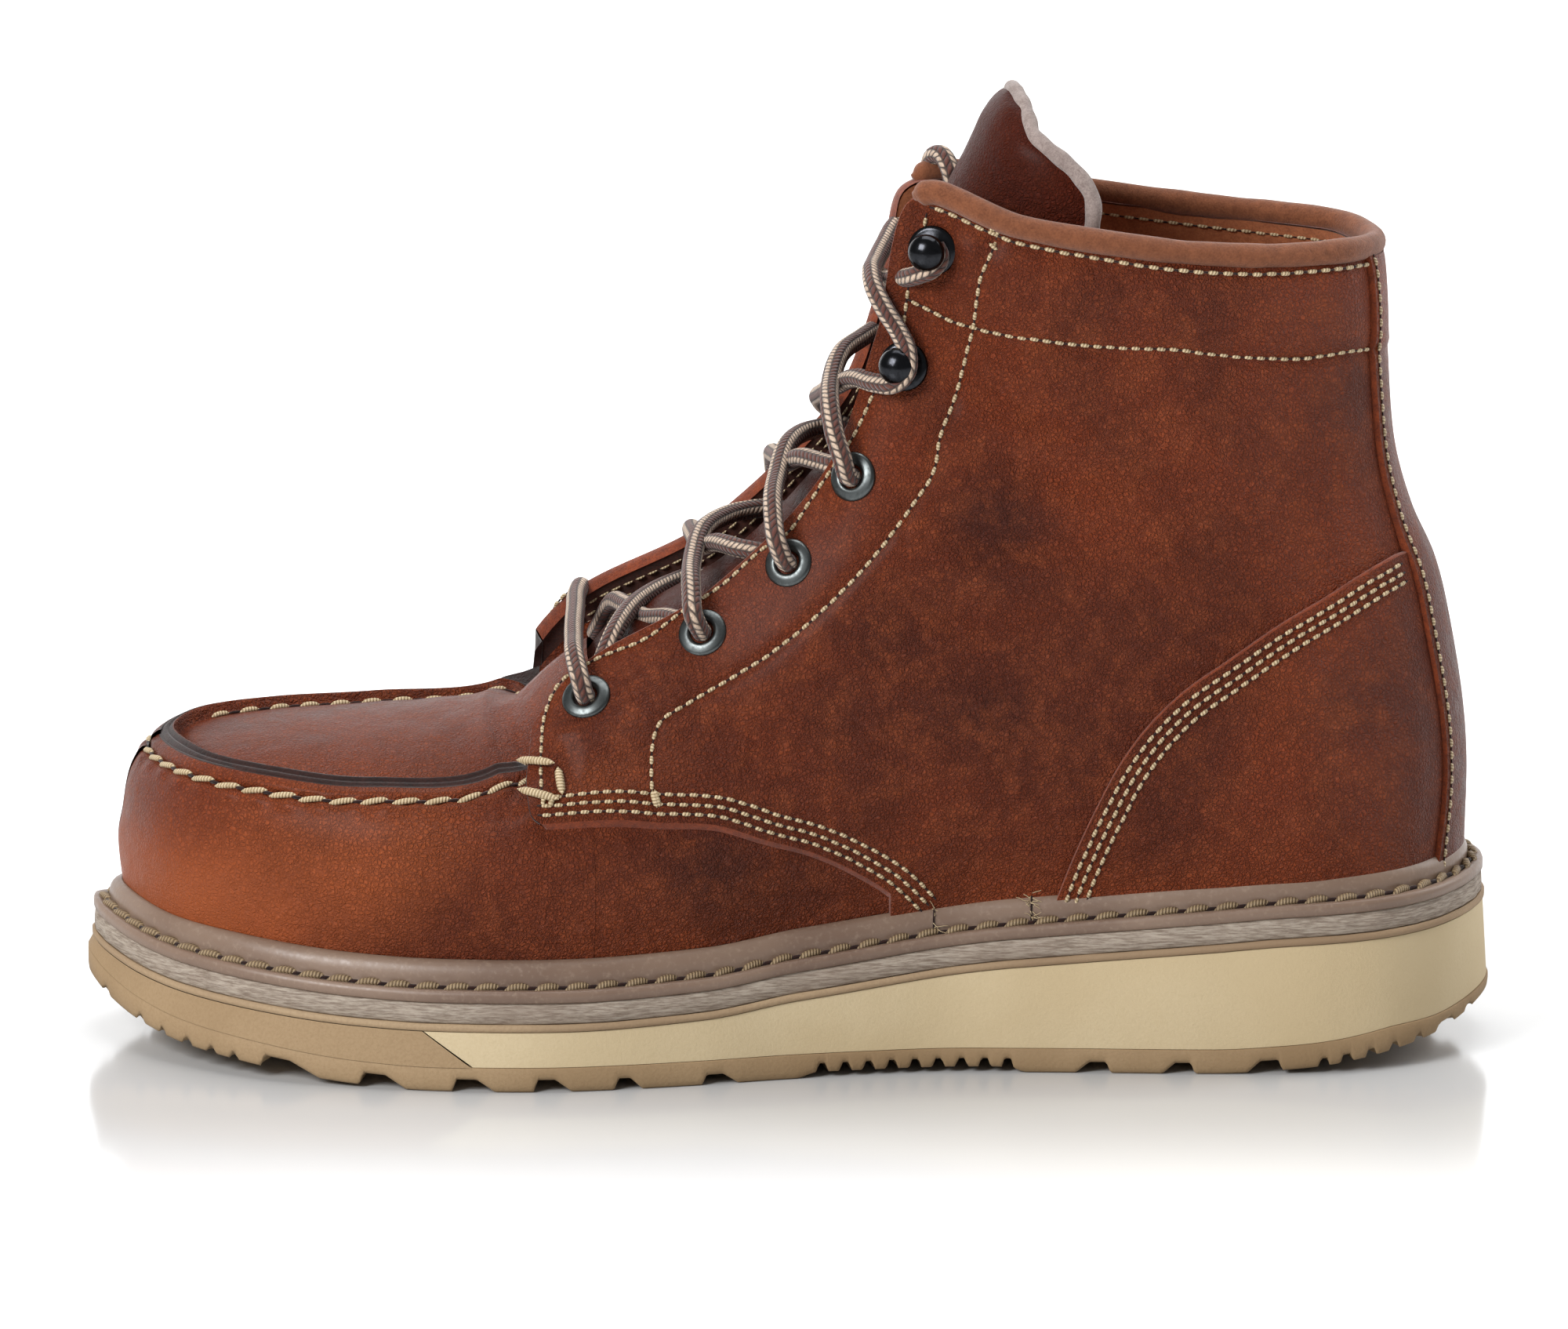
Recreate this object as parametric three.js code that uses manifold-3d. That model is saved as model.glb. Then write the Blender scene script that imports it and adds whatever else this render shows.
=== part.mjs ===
// A left lace-up work boot: moc toe, stitched storm welt and a one-piece wedge sole.
// Millimetres, +Z up. The sole stands on the floor, the toe points to -X, the outer side faces -Y.
import * as THREE from 'three';
import { mergeVertices } from 'three/addons/utils/BufferGeometryUtils.js';
import Module from 'manifold-3d';

const solids = await Module();
solids.setup();

// Driving sizes of the sole
const soleLength = 310;
const ballWidth = 113;
const foreHeight = 15;
const heelHeight = 30.4;
const toeSpring = 13;
const heelSpring = 11;
const treadThickness = 5.5;
const waistRise = 1.2;
const lipThickness = 1.8;
const midsoleThickness = 4.6;
const lugDepth = 3;
const lugGap = 8.2;
const lugSlope = 2;
const lugPitch = 18.6;
const lugReach = 17;
const toeBlockLength = 75;
const toeBlockSlant = 11;

// Driving sizes of the welt and of what stands on it
const weltThickness = 2.8;
const weltFlange = 3.2;
const ridgeHeight = 5.6;
const featherInset = 9;
const insoleThickness = 3.2;

// Driving sizes of the upper
const vampHeight = 66;
const shaftHeight = 181.5;
const bigToeLift = 5;
const upperWall = 2.2;
const quarterThickness = 1.4;
const cuffThickness = 2.8;
const counterThickness = 2;
const backstayThickness = 2.2;
const backstayWidth = 29;
const bindingThickness = 5.6;
const rimHeight = 3;
const rimWidth = 3.4;
const throatWidth = 55;

// Driving sizes of the tongue, the eyelets, the hooks and the lace
const tongueThickness = 4.5;
const tongueTip = 214;
const eyeletFlange = 10.5;
const eyeletHole = 5;
const eyeletBarrel = 6.6;
const eyeletLip = 1.1;
const hookBase = 11;
const hookNeck = 4.4;
const hookDome = 8.2;
const hookStand = 7.5;
const laceThickness = 4.3;

// Reach of a drill on each side of the leather
const drillReach = 15;

// Clearance between pieces that meet
const gap = 0.3;

const table = (names, rows) =>
  Object.fromEntries(names.map((name, column) => [name, rows.map((row) => row[column])]));

// The sole seen from below. at: share of soleLength from the heel; outer, inner: shares of ballWidth.
const soleOutline = table(['at', 'outer', 'inner'], [
  [0, 0, 0],
  [0.016, 0.168, 0.164],
  [0.04, 0.261, 0.255],
  [0.077, 0.332, 0.323],
  [0.113, 0.358, 0.345],
  [0.2, 0.367, 0.354],
  [0.335, 0.354, 0.287],
  [0.39, 0.354, 0.276],
  [0.445, 0.378, 0.294],
  [0.503, 0.412, 0.336],
  [0.558, 0.456, 0.389],
  [0.674, 0.516, 0.468],
  [0.748, 0.506, 0.474],
  [0.806, 0.473, 0.451],
  [0.887, 0.381, 0.389],
  [0.929, 0.29, 0.325],
  [0.961, 0.195, 0.25],
  [0.984, 0.09, 0.168],
  [1, -0.058, 0.058],
]);

// Heights along the sole. toe, heel: shares of toeSpring and heelSpring; rise: share of the way
// from foreHeight to heelHeight; tread: share of treadThickness; waist: share of waistRise.
const soleHeights = table(['at', 'toe', 'heel', 'rise', 'tread', 'waist'], [
  [0, 0, 1, 1, 0.5, 0],
  [0.039, 0, 0.59, 1, 0.75, 0],
  [0.077, 0, 0.355, 1, 1, 0],
  [0.113, 0, 0.17, 0.995, 1, 0],
  [0.145, 0, 0.08, 0.98, 1, 0],
  [0.2, 0, 0, 0.9, 1, 0],
  [0.33, 0, 0, 0.675, 1, 0],
  [0.345, 0, 0, 0.65, 1, 1],
  [0.478, 0, 0, 0.3, 1, 1],
  [0.495, 0, 0, 0.26, 1, 0],
  [0.558, 0, 0, 0.08, 1, 0],
  [0.66, 0, 0, 0, 1, 0],
  [0.748, 0, 0, 0, 1, 0],
  [0.806, 0.054, 0, 0, 1, 0],
  [0.887, 0.254, 0, 0, 1, 0],
  [0.929, 0.37, 0, 0, 1, 0],
  [0.961, 0.56, 0, 0, 1, 0],
  [0.984, 0.77, 0, 0, 1, 0],
  [1, 1, 0, 0, 1, 0],
]);

// Sections of the upper from the heel seam round to the toe tip, the same for both sides.
// foot: where the section stands on the sole outline, a share of soleLength; grow: its height, a share
// of the way from vampHeight to the collar; lift: share of bigToeLift; crown: share of ballWidth.
const sections = table(['foot', 'grow', 'lift', 'crown'], [
  [0, 1, 0, 0],
  [0.04, 1.002, 0, 0],
  [0.116, 1.004, 0, 0],
  [0.18, 1.012, 0, 0],
  [0.245, 1.028, 0, 0],
  [0.306, 1.068, 0, 0],
  [0.361, 1.123, 0, 0],
  [0.426, 0.885, 0, 0.018],
  [0.484, 0.602, 0, 0.044],
  [0.555, 0.36, 0, 0.06],
  [0.645, 0.2, 0.2, 0.055],
  [0.706, 0.008, 0.9, 0.075],
  [0.8, -0.019, 1.1, 0.06],
  [0.894, -0.009, 0.9, 0.044],
  [0.958, 0, 0.6, 0.02],
  [1, 0.002, 0.2, 0],
]);
const toeTip = sections.foot.length - 1;
const collarCorner = sections.grow.indexOf(Math.max(...sections.grow));
const throatEnd = collarCorner + 4.35;

// Rings of the upper, one row for each section. at: share of soleLength; up: share of the way from
// the sole to the section's top; outer, inner: shares of ballWidth.
const ringColumns = ['at', 'up', 'outer', 'inner'];
const bellyRing = table(ringColumns, [
  [0.028, 0.191, 0, 0],
  [0.055, 0.19, 0.208, 0.205],
  [0.116, 0.178, 0.297, 0.286],
  [0.179, 0.176, 0.31, 0.291],
  [0.242, 0.174, 0.309, 0.277],
  [0.303, 0.163, 0.303, 0.253],
  [0.358, 0.154, 0.3, 0.243],
  [0.424, 0.165, 0.318, 0.25],
  [0.484, 0.2, 0.348, 0.285],
  [0.555, 0.25, 0.406, 0.34],
  [0.648, 0.3, 0.451, 0.403],
  [0.706, 0.385, 0.456, 0.42],
  [0.795, 0.38, 0.42, 0.396],
  [0.881, 0.365, 0.321, 0.327],
  [0.945, 0.34, 0.177, 0.215],
  [0.977, 0.35, -0.053, 0.053],
]);
const ankleRing = table(ringColumns, [
  [0.044, 0.448, 0, 0],
  [0.068, 0.448, 0.173, 0.173],
  [0.132, 0.44, 0.261, 0.255],
  [0.187, 0.44, 0.288, 0.279],
  [0.242, 0.434, 0.304, 0.292],
  [0.297, 0.427, 0.317, 0.301],
  [0.352, 0.41, 0.326, 0.308],
  [0.418, 0.48, 0.335, 0.319],
  [0.481, 0.52, 0.358, 0.341],
  [0.555, 0.556, 0.389, 0.363],
  [0.65, 0.58, 0.425, 0.396],
  [0.708, 0.645, 0.441, 0.414],
  [0.796, 0.655, 0.407, 0.388],
  [0.882, 0.615, 0.315, 0.323],
  [0.946, 0.58, 0.173, 0.211],
  [0.974, 0.58, -0.053, 0.053],
]);
const shinRing = table(ringColumns, [
  [0.078, 0.711, 0, 0],
  [0.095, 0.711, 0.155, 0.155],
  [0.152, 0.717, 0.23, 0.23],
  [0.194, 0.72, 0.261, 0.261],
  [0.245, 0.721, 0.274, 0.274],
  [0.3, 0.71, 0.283, 0.283],
  [0.355, 0.693, 0.279, 0.279],
  [0.421, 0.79, 0.261, 0.261],
  [0.479, 0.775, 0.288, 0.283],
  [0.555, 0.815, 0.305, 0.296],
  [0.652, 0.8, 0.358, 0.345],
  [0.708, 0.86, 0.398, 0.381],
  [0.797, 0.875, 0.374, 0.357],
  [0.877, 0.85, 0.295, 0.299],
  [0.937, 0.84, 0.163, 0.192],
  [0.9655, 0.84, -0.051, 0.051],
]);
const edgeRing = table(ringColumns, [
  [0.086, 1, 0, 0],
  [0.105, 1, 0.15, 0.15],
  [0.152, 1, 0.226, 0.226],
  [0.197, 1, 0.255, 0.255],
  [0.248, 1, 0.268, 0.268],
  [0.335, 1, 0.255, 0.255],
  [0.413, 1, 0.181, 0.181],
  [0.434, 1, 0.186, 0.186],
  [0.471, 1, 0.199, 0.199],
  [0.552, 1, 0.217, 0.212],
  [0.645, 1, 0.243, 0.243],
  [0.706, 1, 0.327, 0.31],
  [0.795, 1, 0.321, 0.292],
  [0.866, 1, 0.265, 0.243],
  [0.921, 1, 0.15, 0.177],
  [0.947, 1, -0.049, 0.049],
]);
const ringLevels = [0, 0.2, 0.5, 0.78, 1];

// Pattern lines in the side view. at: share of soleLength; up: share of shaftHeight.
const counterLine = table(['at', 'up'], [
  [0.31, 0.1],
  [0.308, 0.207],
  [0.298, 0.251],
  [0.28, 0.321],
  [0.263, 0.374],
  [0.242, 0.423],
  [0.219, 0.46],
  [0.187, 0.496],
  [0.15, 0.539],
  [0.115, 0.572],
  [0.066, 0.608],
  [-0.05, 0.66],
]);
const quarterLine = table(['at', 'up'], [
  [0.404, 0.1],
  [0.41, 0.187],
  [0.427, 0.219],
  [0.449, 0.245],
  [0.483, 0.274],
  [0.516, 0.291],
  [0.548, 0.311],
  [0.615, 0.322],
  [0.668, 0.319],
  [0.681, 0.322],
  [0.686, 0.364],
  [0.682, 0.424],
  [0.678, 0.56],
]);
const cuffLine = table(['at', 'up'], [
  [0.34, 1.2],
  [0.349, 1.036],
  [0.366, 0.935],
  [0.36, 0.91],
  [0.343, 0.9],
  [0.294, 0.89],
  [0.224, 0.882],
  [0.159, 0.867],
  [0.08, 0.858],
  [-0.05, 0.858],
]);

// The tongue's sections from its tip down. at: share of soleLength; up: share of tongueTip; wide: half
// its width; deep: how far its edges bend back, both shares of ballWidth; flat: 1 for a level section.
const tongueRows = table(['at', 'up', 'wide', 'deep', 'flat'], [
  [0.345, 1, 0.03, 0.01, 1],
  [0.353, 0.987, 0.105, 0.065, 1],
  [0.363, 0.966, 0.15, 0.12, 1],
  [0.369, 0.947, 0.19, 0.18, 1],
  [0.376, 0.925, 0.213, 0.245, 1],
  [0.387, 0.893, 0.226, 0.305, 1],
  [0.399, 0.841, 0.23, 0.32, 0.9],
  [0.412, 0.794, 0.233, 0.31, 0.75],
  [0.43, 0.72, 0.236, 0.28, 0.5],
  [0.468, 0.618, 0.243, 0.23, 0.2],
  [0.542, 0.503, 0.253, 0.17, 0],
  [0.632, 0.424, 0.263, 0.12, 0],
  [0.684, 0.365, 0.268, 0.09, 0],
]);

// Places of the eyelets and hooks on the quarter. round: section number; high: share up the section.
const eyeletPlaces = [
  { round: 9.9, high: 0.89 },
  { round: 9.06, high: 0.89 },
  { round: 8.32, high: 0.89 },
  { round: 7.56, high: 0.88 },
];
const hookPlaces = [
  { round: 6.74, high: 0.9 },
  { round: 5.9, high: 0.96 },
];

/** Smooth curve through the values at the keys; a level one has no swell past its values. */
function curveThrough(keys, values, level = false) {
  const last = keys.length - 1;
  const steps = keys.slice(1).map((key, i) => key - keys[i]);
  const rises = steps.map((step, i) => (values[i + 1] - values[i]) / step);
  const slopes = keys.map((key, i) => {
    if (i === 0) return rises[0];
    if (i === last) return rises[last - 1];
    if (level && rises[i - 1] * rises[i] <= 0) return 0;
    if (level) return 2 / (1 / rises[i - 1] + 1 / rises[i]);
    return (rises[i - 1] * steps[i] + rises[i] * steps[i - 1]) / (steps[i - 1] + steps[i]);
  });
  return (key) => {
    let i = 0;
    while (i < last - 1 && key > keys[i + 1]) i += 1;
    const u = (key - keys[i]) / steps[i];
    const hermite = values[i] * (1 + 2 * u) * (1 - u) ** 2 + values[i + 1] * u * u * (3 - 2 * u)
      + steps[i] * (slopes[i] * u * (1 - u) ** 2 + slopes[i + 1] * u * u * (u - 1));
    return hermite;
  };
}

const smoothStep = (value) => {
  const share = Math.min(1, Math.max(0, value));
  return share * share * (3 - 2 * share);
};

// The sole's outline as a loop: 0 at the heel, PI at the toe tip, outer side first.
const turnAt = (at) => Math.acos(1 - 2 * at);
const outlineTurns = soleOutline.at.map(turnAt);
const outerEdge = curveThrough(outlineTurns, soleOutline.outer);
const innerEdge = curveThrough(outlineTurns, soleOutline.inner);

function outlinePoint(turn) {
  const loop = (turn + 2 * Math.PI) % (2 * Math.PI);
  const outer = loop <= Math.PI;
  const along = outer ? loop : 2 * Math.PI - loop;
  const x = soleLength * (Math.cos(along) / 2);
  const y = outer ? -ballWidth * outerEdge(along) : ballWidth * innerEdge(along);
  return new THREE.Vector2(x, y);
}

/** Point of the outline moved inwards, square to it. */
function insetPoint(turn, inset) {
  const step = 0.02;
  const point = outlinePoint(turn);
  const tangent = outlinePoint(turn + step).sub(outlinePoint(turn - step)).normalize();
  return new THREE.Vector2(point.x + tangent.y * inset, point.y - tangent.x * inset);
}

const shareAt = (x) => Math.min(1, Math.max(0, 0.5 - x / soleLength));
const levelCurve = (column) => curveThrough(soleHeights.at, soleHeights[column], true);
const toeLift = levelCurve('toe');
const heelLift = levelCurve('heel');
const seatRise = levelCurve('rise');
const treadShare = levelCurve('tread');
const waistShare = levelCurve('waist');
const groundHeight = (x) =>
  toeSpring * toeLift(shareAt(x)) + heelSpring * heelLift(shareAt(x)) + waistRise * waistShare(shareAt(x));
const toeSeatShare = 0.62;
const heelSeatShare = 0.24;
const seatHeight = (x) =>
  foreHeight + (heelHeight - foreHeight) * seatRise(shareAt(x))
  + toeSeatShare * toeSpring * toeLift(shareAt(x)) + heelSeatShare * heelSpring * heelLift(shareAt(x));
const treadTop = (x) =>
  toeSpring * toeLift(shareAt(x)) + heelSpring * heelLift(shareAt(x)) + treadThickness * treadShare(shareAt(x));
const wedgeTop = (x) => seatHeight(x) - lipThickness;
const midsoleTop = (x) => seatHeight(x) + midsoleThickness;
const weltTop = (x) => midsoleTop(x) + weltThickness;
const ridgeTop = (x) => weltTop(x) + ridgeHeight;
const featherHeight = (x) => midsoleTop(x) + gap;

const outlineCount = 48;
const outlineTurnsAround = Array.from({ length: outlineCount }, (_, i) => (2 * Math.PI * i) / outlineCount);

/** Geometry of a closed body, turned so that its faces point out. */
function closedBody(points, faces) {
  let volume = 0;
  for (const [a, b, c] of faces) volume += points[a].dot(points[b].clone().cross(points[c])) / 6;
  const kept = faces.filter(([a, b, c]) => a !== b && b !== c && c !== a);
  const turned = volume < 0 ? kept.map(([a, b, c]) => [a, c, b]) : kept;
  const geometry = new THREE.BufferGeometry();
  geometry.setAttribute('position', new THREE.Float32BufferAttribute(points.flatMap((p) => p.toArray()), 3));
  geometry.setIndex(turned.flat());
  return geometry;
}

/** Faces between two loops of the same count, given as lists of point numbers. */
function band(lower, upper) {
  return lower.flatMap((start, i) => {
    const next = (i + 1) % lower.length;
    return [[start, lower[next], upper[next]], [start, upper[next], upper[i]]];
  });
}

/** Faces that close a loop by strips from its outer side to its inner side. */
function strips(loop, flip) {
  const count = loop.length;
  const faces = [];
  for (let i = 0; i < count / 2; i += 1) {
    const a = loop[i];
    const b = loop[(i + 1) % count];
    const c = loop[(count - i - 1) % count];
    const d = loop[(count - i) % count];
    faces.push(flip ? [a, c, b] : [a, b, c], flip ? [a, d, c] : [a, c, d]);
  }
  return faces;
}

/** Ring round the sole outline at an inset, with its height taken from its place along the sole. */
const flatRing = (inset, height) => (turn) => {
  const spot = insetPoint(turn, inset);
  return new THREE.Vector3(spot.x, spot.y, height(spot.x));
};

/** Body round the sole outline through rings, each a function of the turn; a hollow one closes on itself. */
function soleBody(rings, hollow = false) {
  const points = rings.flatMap((ring) => outlineTurnsAround.map(ring));
  const loops = rings.map((ring, r) => outlineTurnsAround.map((turn, i) => r * outlineCount + i));
  const faces = loops.slice(1).flatMap((loop, r) => band(loops[r], loop));
  if (hollow) faces.push(...band(loops[loops.length - 1], loops[0]));
  else faces.push(...strips(loops[0], true), ...strips(loops[loops.length - 1], false));
  return closedBody(points, faces);
}

// Joining and cutting closed bodies
function toSolid(geometry) {
  const bare = geometry.clone();
  bare.deleteAttribute('normal');
  bare.deleteAttribute('uv');
  const merged = mergeVertices(bare, 1e-4);
  const vertProperties = new Float32Array(merged.attributes.position.array);
  const triVerts = new Uint32Array(merged.index.array);
  return new solids.Manifold(new solids.Mesh({ numProp: 3, vertProperties, triVerts }));
}

function toGeometry(solid) {
  const mesh = solid.getMesh();
  const geometry = new THREE.BufferGeometry();
  geometry.setAttribute('position', new THREE.BufferAttribute(new Float32Array(mesh.vertProperties), 3));
  geometry.setIndex(new THREE.BufferAttribute(new Uint32Array(mesh.triVerts), 1));
  return geometry;
}

// The upper's own function
const sectionNumbers = sections.foot.map((foot, i) => i);
const footTurn = curveThrough(sectionNumbers, sections.foot.map(turnAt));
const growCurve = curveThrough(sectionNumbers, sections.grow);
const liftCurve = curveThrough(sectionNumbers, sections.lift);
const crownCurve = curveThrough(sectionNumbers, sections.crown);
const rings = [bellyRing, ankleRing, shinRing, edgeRing].map((ring) => ({
  at: curveThrough(sectionNumbers, ring.at),
  up: curveThrough(sectionNumbers, ring.up),
  '-1': curveThrough(sectionNumbers, ring.outer),
  1: curveThrough(sectionNumbers, ring.inner),
}));
const collarHeight = shaftHeight - bindingThickness - 3 * gap;

/** Point on the smooth upper. round: section number; high: 0 at the sole, 1 at the edge; side: -1 or 1. */
function upperPoint(round, high, side) {
  const turn = footTurn(round);
  const foot = insetPoint(side < 0 ? turn : -turn, featherInset);
  const bottom = featherHeight(foot.x);
  const top = vampHeight + (collarHeight - vampHeight) * growCurve(round);
  const knots = [new THREE.Vector3(foot.x, foot.y, bottom)];
  for (const ring of rings) {
    const x = soleLength * (0.5 - ring.at(round));
    const y = side * ballWidth * ring[side](round);
    const up = ring.up(round);
    const lift = side > 0 ? bigToeLift * liftCurve(round) * up : 0;
    knots.push(new THREE.Vector3(x, y, bottom + up * (top - bottom) + lift));
  }
  const axis = (name) => curveThrough(ringLevels, knots.map((knot) => knot[name]))(high);
  return new THREE.Vector3(axis('x'), axis('y'), axis('z'));
}

/** Outward direction of the upper at a place on one side. */
function upperNormal(round, high, side) {
  const step = 0.02;
  const along = upperPoint(round + step, high, side).sub(upperPoint(round - step, high, side));
  const up = upperPoint(round, high + step, side).sub(upperPoint(round, high - step, side));
  const normal = along.cross(up).normalize();
  return side < 0 ? normal.negate() : normal;
}

/** Middle of the instep line and its outward direction in the plane of symmetry. */
function instepFrame(round) {
  const middle = (at) => upperPoint(at, 1, -1).add(upperPoint(at, 1, 1)).multiplyScalar(0.5);
  const step = 0.1;
  const after = middle(Math.min(toeTip, round + step));
  const before = middle(Math.max(collarCorner, round - step));
  const along = after.sub(before).normalize();
  return { centre: middle(round), out: new THREE.Vector3(along.z, 0, -along.x) };
}

const seamParts = 60;
const seamLine = Array.from({ length: seamParts + 1 }, (_, i) => {
  const round = throatEnd + ((toeTip - throatEnd) * i) / seamParts;
  return [upperPoint(round, 1, -1), upperPoint(round, 1, 1)];
}).flat();
const seamDistance = (point) => Math.min(...seamLine.map((spot) => Math.hypot(spot.x - point.x, spot.y - point.y)));

/** Point between the two edges over the instep and toe; across: 0 at the outer edge, 1 at the inner. */
function crownPoint(round, across, rim) {
  const { out } = instepFrame(round);
  const point = upperPoint(round, 1, -1).lerp(upperPoint(round, 1, 1), across);
  const swell = 1 - Math.abs(2 * across - 1) ** 2.4;
  point.addScaledVector(out, ballWidth * crownCurve(round) * swell);
  if (rim && round > throatEnd - 0.3) point.z -= rimHeight * smoothStep((seamDistance(point) - rimWidth) / 1.2);
  return point;
}

// Facets between one section and the next, and the levels of each section
const partsAfter = [2, 2, 1, 1, 1, 2, 2, 1, 1, 2, 2, 1, 2, 2, 3];
const stations = partsAfter.flatMap((parts, number) =>
  Array.from({ length: parts }, (_, i) => number + i / parts)).concat(toeTip);
const levels = [0, 0.16, 0.36, 0.58, 0.78, 0.9, 1];
const collarStation = stations.indexOf(collarCorner);
const crownShares = 7;

/** Shares across the crown at one section, with a pair of columns at each foot of the seam's rim. */
function crownColumns(round) {
  const width = upperPoint(round, 1, 1).y - upperPoint(round, 1, -1).y;
  const rimFoot = Math.min(0.12, rimWidth / (width + 1));
  const rimToe = Math.min(0.2, (rimWidth + 1.3) / (width + 1));
  return [0, rimFoot, rimToe, 0.5, 1 - rimToe, 1 - rimFoot, 1];
}

/** Closed form of the upper moved out by an offset; reach lengthens it below the sole and over the collar. */
function bootForm(offset, reach = 0, rim = false) {
  const points = [];
  const last = stations.length - 1;
  const top = levels.length - 1;
  const place = (point) => points.push(point) - 1;
  const outer = stations.map((round) => levels.map((high) => place(upperPoint(round, high, -1))));
  const inner = stations.map((round, j) => levels.map((high, k) =>
    (j === 0 || j === last ? outer[j][k] : place(upperPoint(round, high, 1)))));
  const crown = stations.map((round, j) => {
    if (j < collarStation) return null;
    if (j === last) return Array(crownShares).fill(outer[j][top]);
    return crownColumns(round).map((across, r) => {
      if (r === 0) return outer[j][top];
      if (r === crownShares - 1) return inner[j][top];
      return place(crownPoint(round, across, rim));
    });
  });
  const faces = [];
  const quad = (a, b, c, d) => faces.push([a, b, c], [a, c, d]);
  for (let j = 0; j < last; j += 1) {
    for (let k = 0; k < top; k += 1) {
      quad(outer[j][k], outer[j][k + 1], outer[j + 1][k + 1], outer[j + 1][k]);
      quad(inner[j][k], inner[j + 1][k], inner[j + 1][k + 1], inner[j][k + 1]);
    }
    if (j < collarStation) continue;
    for (let r = 0; r < crownShares - 1; r += 1) {
      quad(crown[j][r], crown[j][r + 1], crown[j + 1][r + 1], crown[j + 1][r]);
    }
  }
  const skin = faces.filter(([a, b, c]) => a !== b && b !== c && c !== a);
  const normals = points.map(() => new THREE.Vector3());
  for (const [a, b, c] of skin) {
    const normal = points[b].clone().sub(points[a]).cross(points[c].clone().sub(points[a]));
    for (const corner of [a, b, c]) normals[corner].add(normal);
  }
  const moved = points.map((point, i) => point.clone().addScaledVector(normals[i].normalize(), offset));
  const footLoop = [...stations.map((round, j) => outer[j][0]), ...stations.map((round, j) => inner[j][0]).slice(1, -1).reverse()];
  const collarLoop = [
    ...outer.slice(0, collarStation + 1).map((column) => column[top]),
    ...crown[collarStation].slice(1, -1),
    ...inner.slice(1, collarStation + 1).map((column) => column[top]).reverse(),
  ];
  const lengthen = (loop, rise) => loop.map((number) => {
    const point = moved[number].clone();
    point.z += rise;
    return moved.push(point) - 1;
  });
  const footEnd = reach > 0 ? lengthen(footLoop, -reach) : footLoop;
  const collarEnd = reach > 0 ? lengthen(collarLoop, reach) : collarLoop;
  if (reach > 0) skin.push(...band(footLoop, footEnd), ...band(collarEnd, collarLoop));
  const centre = new THREE.Vector3();
  for (const number of collarEnd) centre.addScaledVector(moved[number], 1 / collarEnd.length);
  const hub = moved.push(centre) - 1;
  collarEnd.forEach((number, i) => skin.push([collarEnd[(i + 1) % collarEnd.length], number, hub]));
  skin.push(...strips(footEnd, false));
  return toSolid(closedBody(moved, skin));
}

/** Block whose side view is a pattern line closed by far corners, between two places across the boot. */
function sideBlock(corners, from, to) {
  const shape = new THREE.Shape(corners);
  const block = new THREE.ExtrudeGeometry(shape, { depth: to - from, bevelEnabled: false, curveSegments: 1 });
  block.rotateX(Math.PI / 2);
  block.translate(0, to, 0);
  return toSolid(block);
}

/** Points of a pattern line in the side view, rounded through its rows. */
function patternLine(line, count) {
  const knots = line.at.map((at, i) => new THREE.Vector2(soleLength * (0.5 - at), shaftHeight * line.up[i]));
  return new THREE.SplineCurve(knots).getPoints(count);
}

const farX = soleLength;
const farUp = 1.5 * shaftHeight;
const farDown = -0.1 * shaftHeight;
const farY = ballWidth;

// Outsole: tread under the wedge, full height in the toe block, with lugs cut at both edges
const blockTopX = toeBlockLength - soleLength / 2;
const blockFootX = blockTopX + toeBlockSlant;
const treadBody = soleBody([
  flatRing(1.5, groundHeight),
  flatRing(0.2, (x) => groundHeight(x) + 1.6),
  flatRing(0, treadTop),
]);
const foreBody = soleBody([
  flatRing(1.5, groundHeight),
  flatRing(0.2, (x) => groundHeight(x) + 1.6),
  flatRing(1.2, wedgeTop),
]);
const slantCorners = (shift) => [
  new THREE.Vector2(-farX, farDown),
  new THREE.Vector2(blockFootX + shift, farDown),
  new THREE.Vector2(blockFootX + shift, treadTop(blockFootX)),
  new THREE.Vector2(blockTopX + shift, foreHeight - lipThickness),
  new THREE.Vector2(blockTopX + shift, farUp),
  new THREE.Vector2(-farX, farUp),
];
const toeBlock = toSolid(foreBody).intersect(sideBlock(slantCorners(0), -farY, farY));

function lugCutter(x, side) {
  const floor = groundHeight(x);
  const half = lugGap / 2;
  const shape = new THREE.Shape([
    new THREE.Vector2(-half - lugSlope, -lugDepth),
    new THREE.Vector2(half + lugSlope, -lugDepth),
    new THREE.Vector2(half - lugSlope / 2, lugDepth),
    new THREE.Vector2(-half + lugSlope / 2, lugDepth),
  ]);
  const edge = side < 0 ? outerEdge(turnAt(shareAt(x))) : innerEdge(turnAt(shareAt(x)));
  const block = new THREE.ExtrudeGeometry(shape, { depth: 2 * lugReach, bevelEnabled: false });
  block.rotateX(Math.PI / 2);
  block.translate(x, side * (ballWidth * edge) + lugReach, floor);
  return toSolid(block);
}

const foreLugStart = -0.049 * soleLength;
const foreLugCount = Math.floor((0.38 * soleLength) / lugPitch);
const heelLugStart = 0.3355 * soleLength;
const heelLugCount = Math.floor((0.19 * soleLength) / lugPitch);
let outsoleSolid = toSolid(treadBody).add(toeBlock);
for (const side of [-1, 1]) {
  for (let i = 0; i < foreLugCount; i += 1) {
    outsoleSolid = outsoleSolid.subtract(lugCutter(foreLugStart - i * lugPitch, side));
  }
  for (let i = 0; i < heelLugCount; i += 1) {
    outsoleSolid = outsoleSolid.subtract(lugCutter(heelLugStart - i * lugPitch, side));
  }
}

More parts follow.
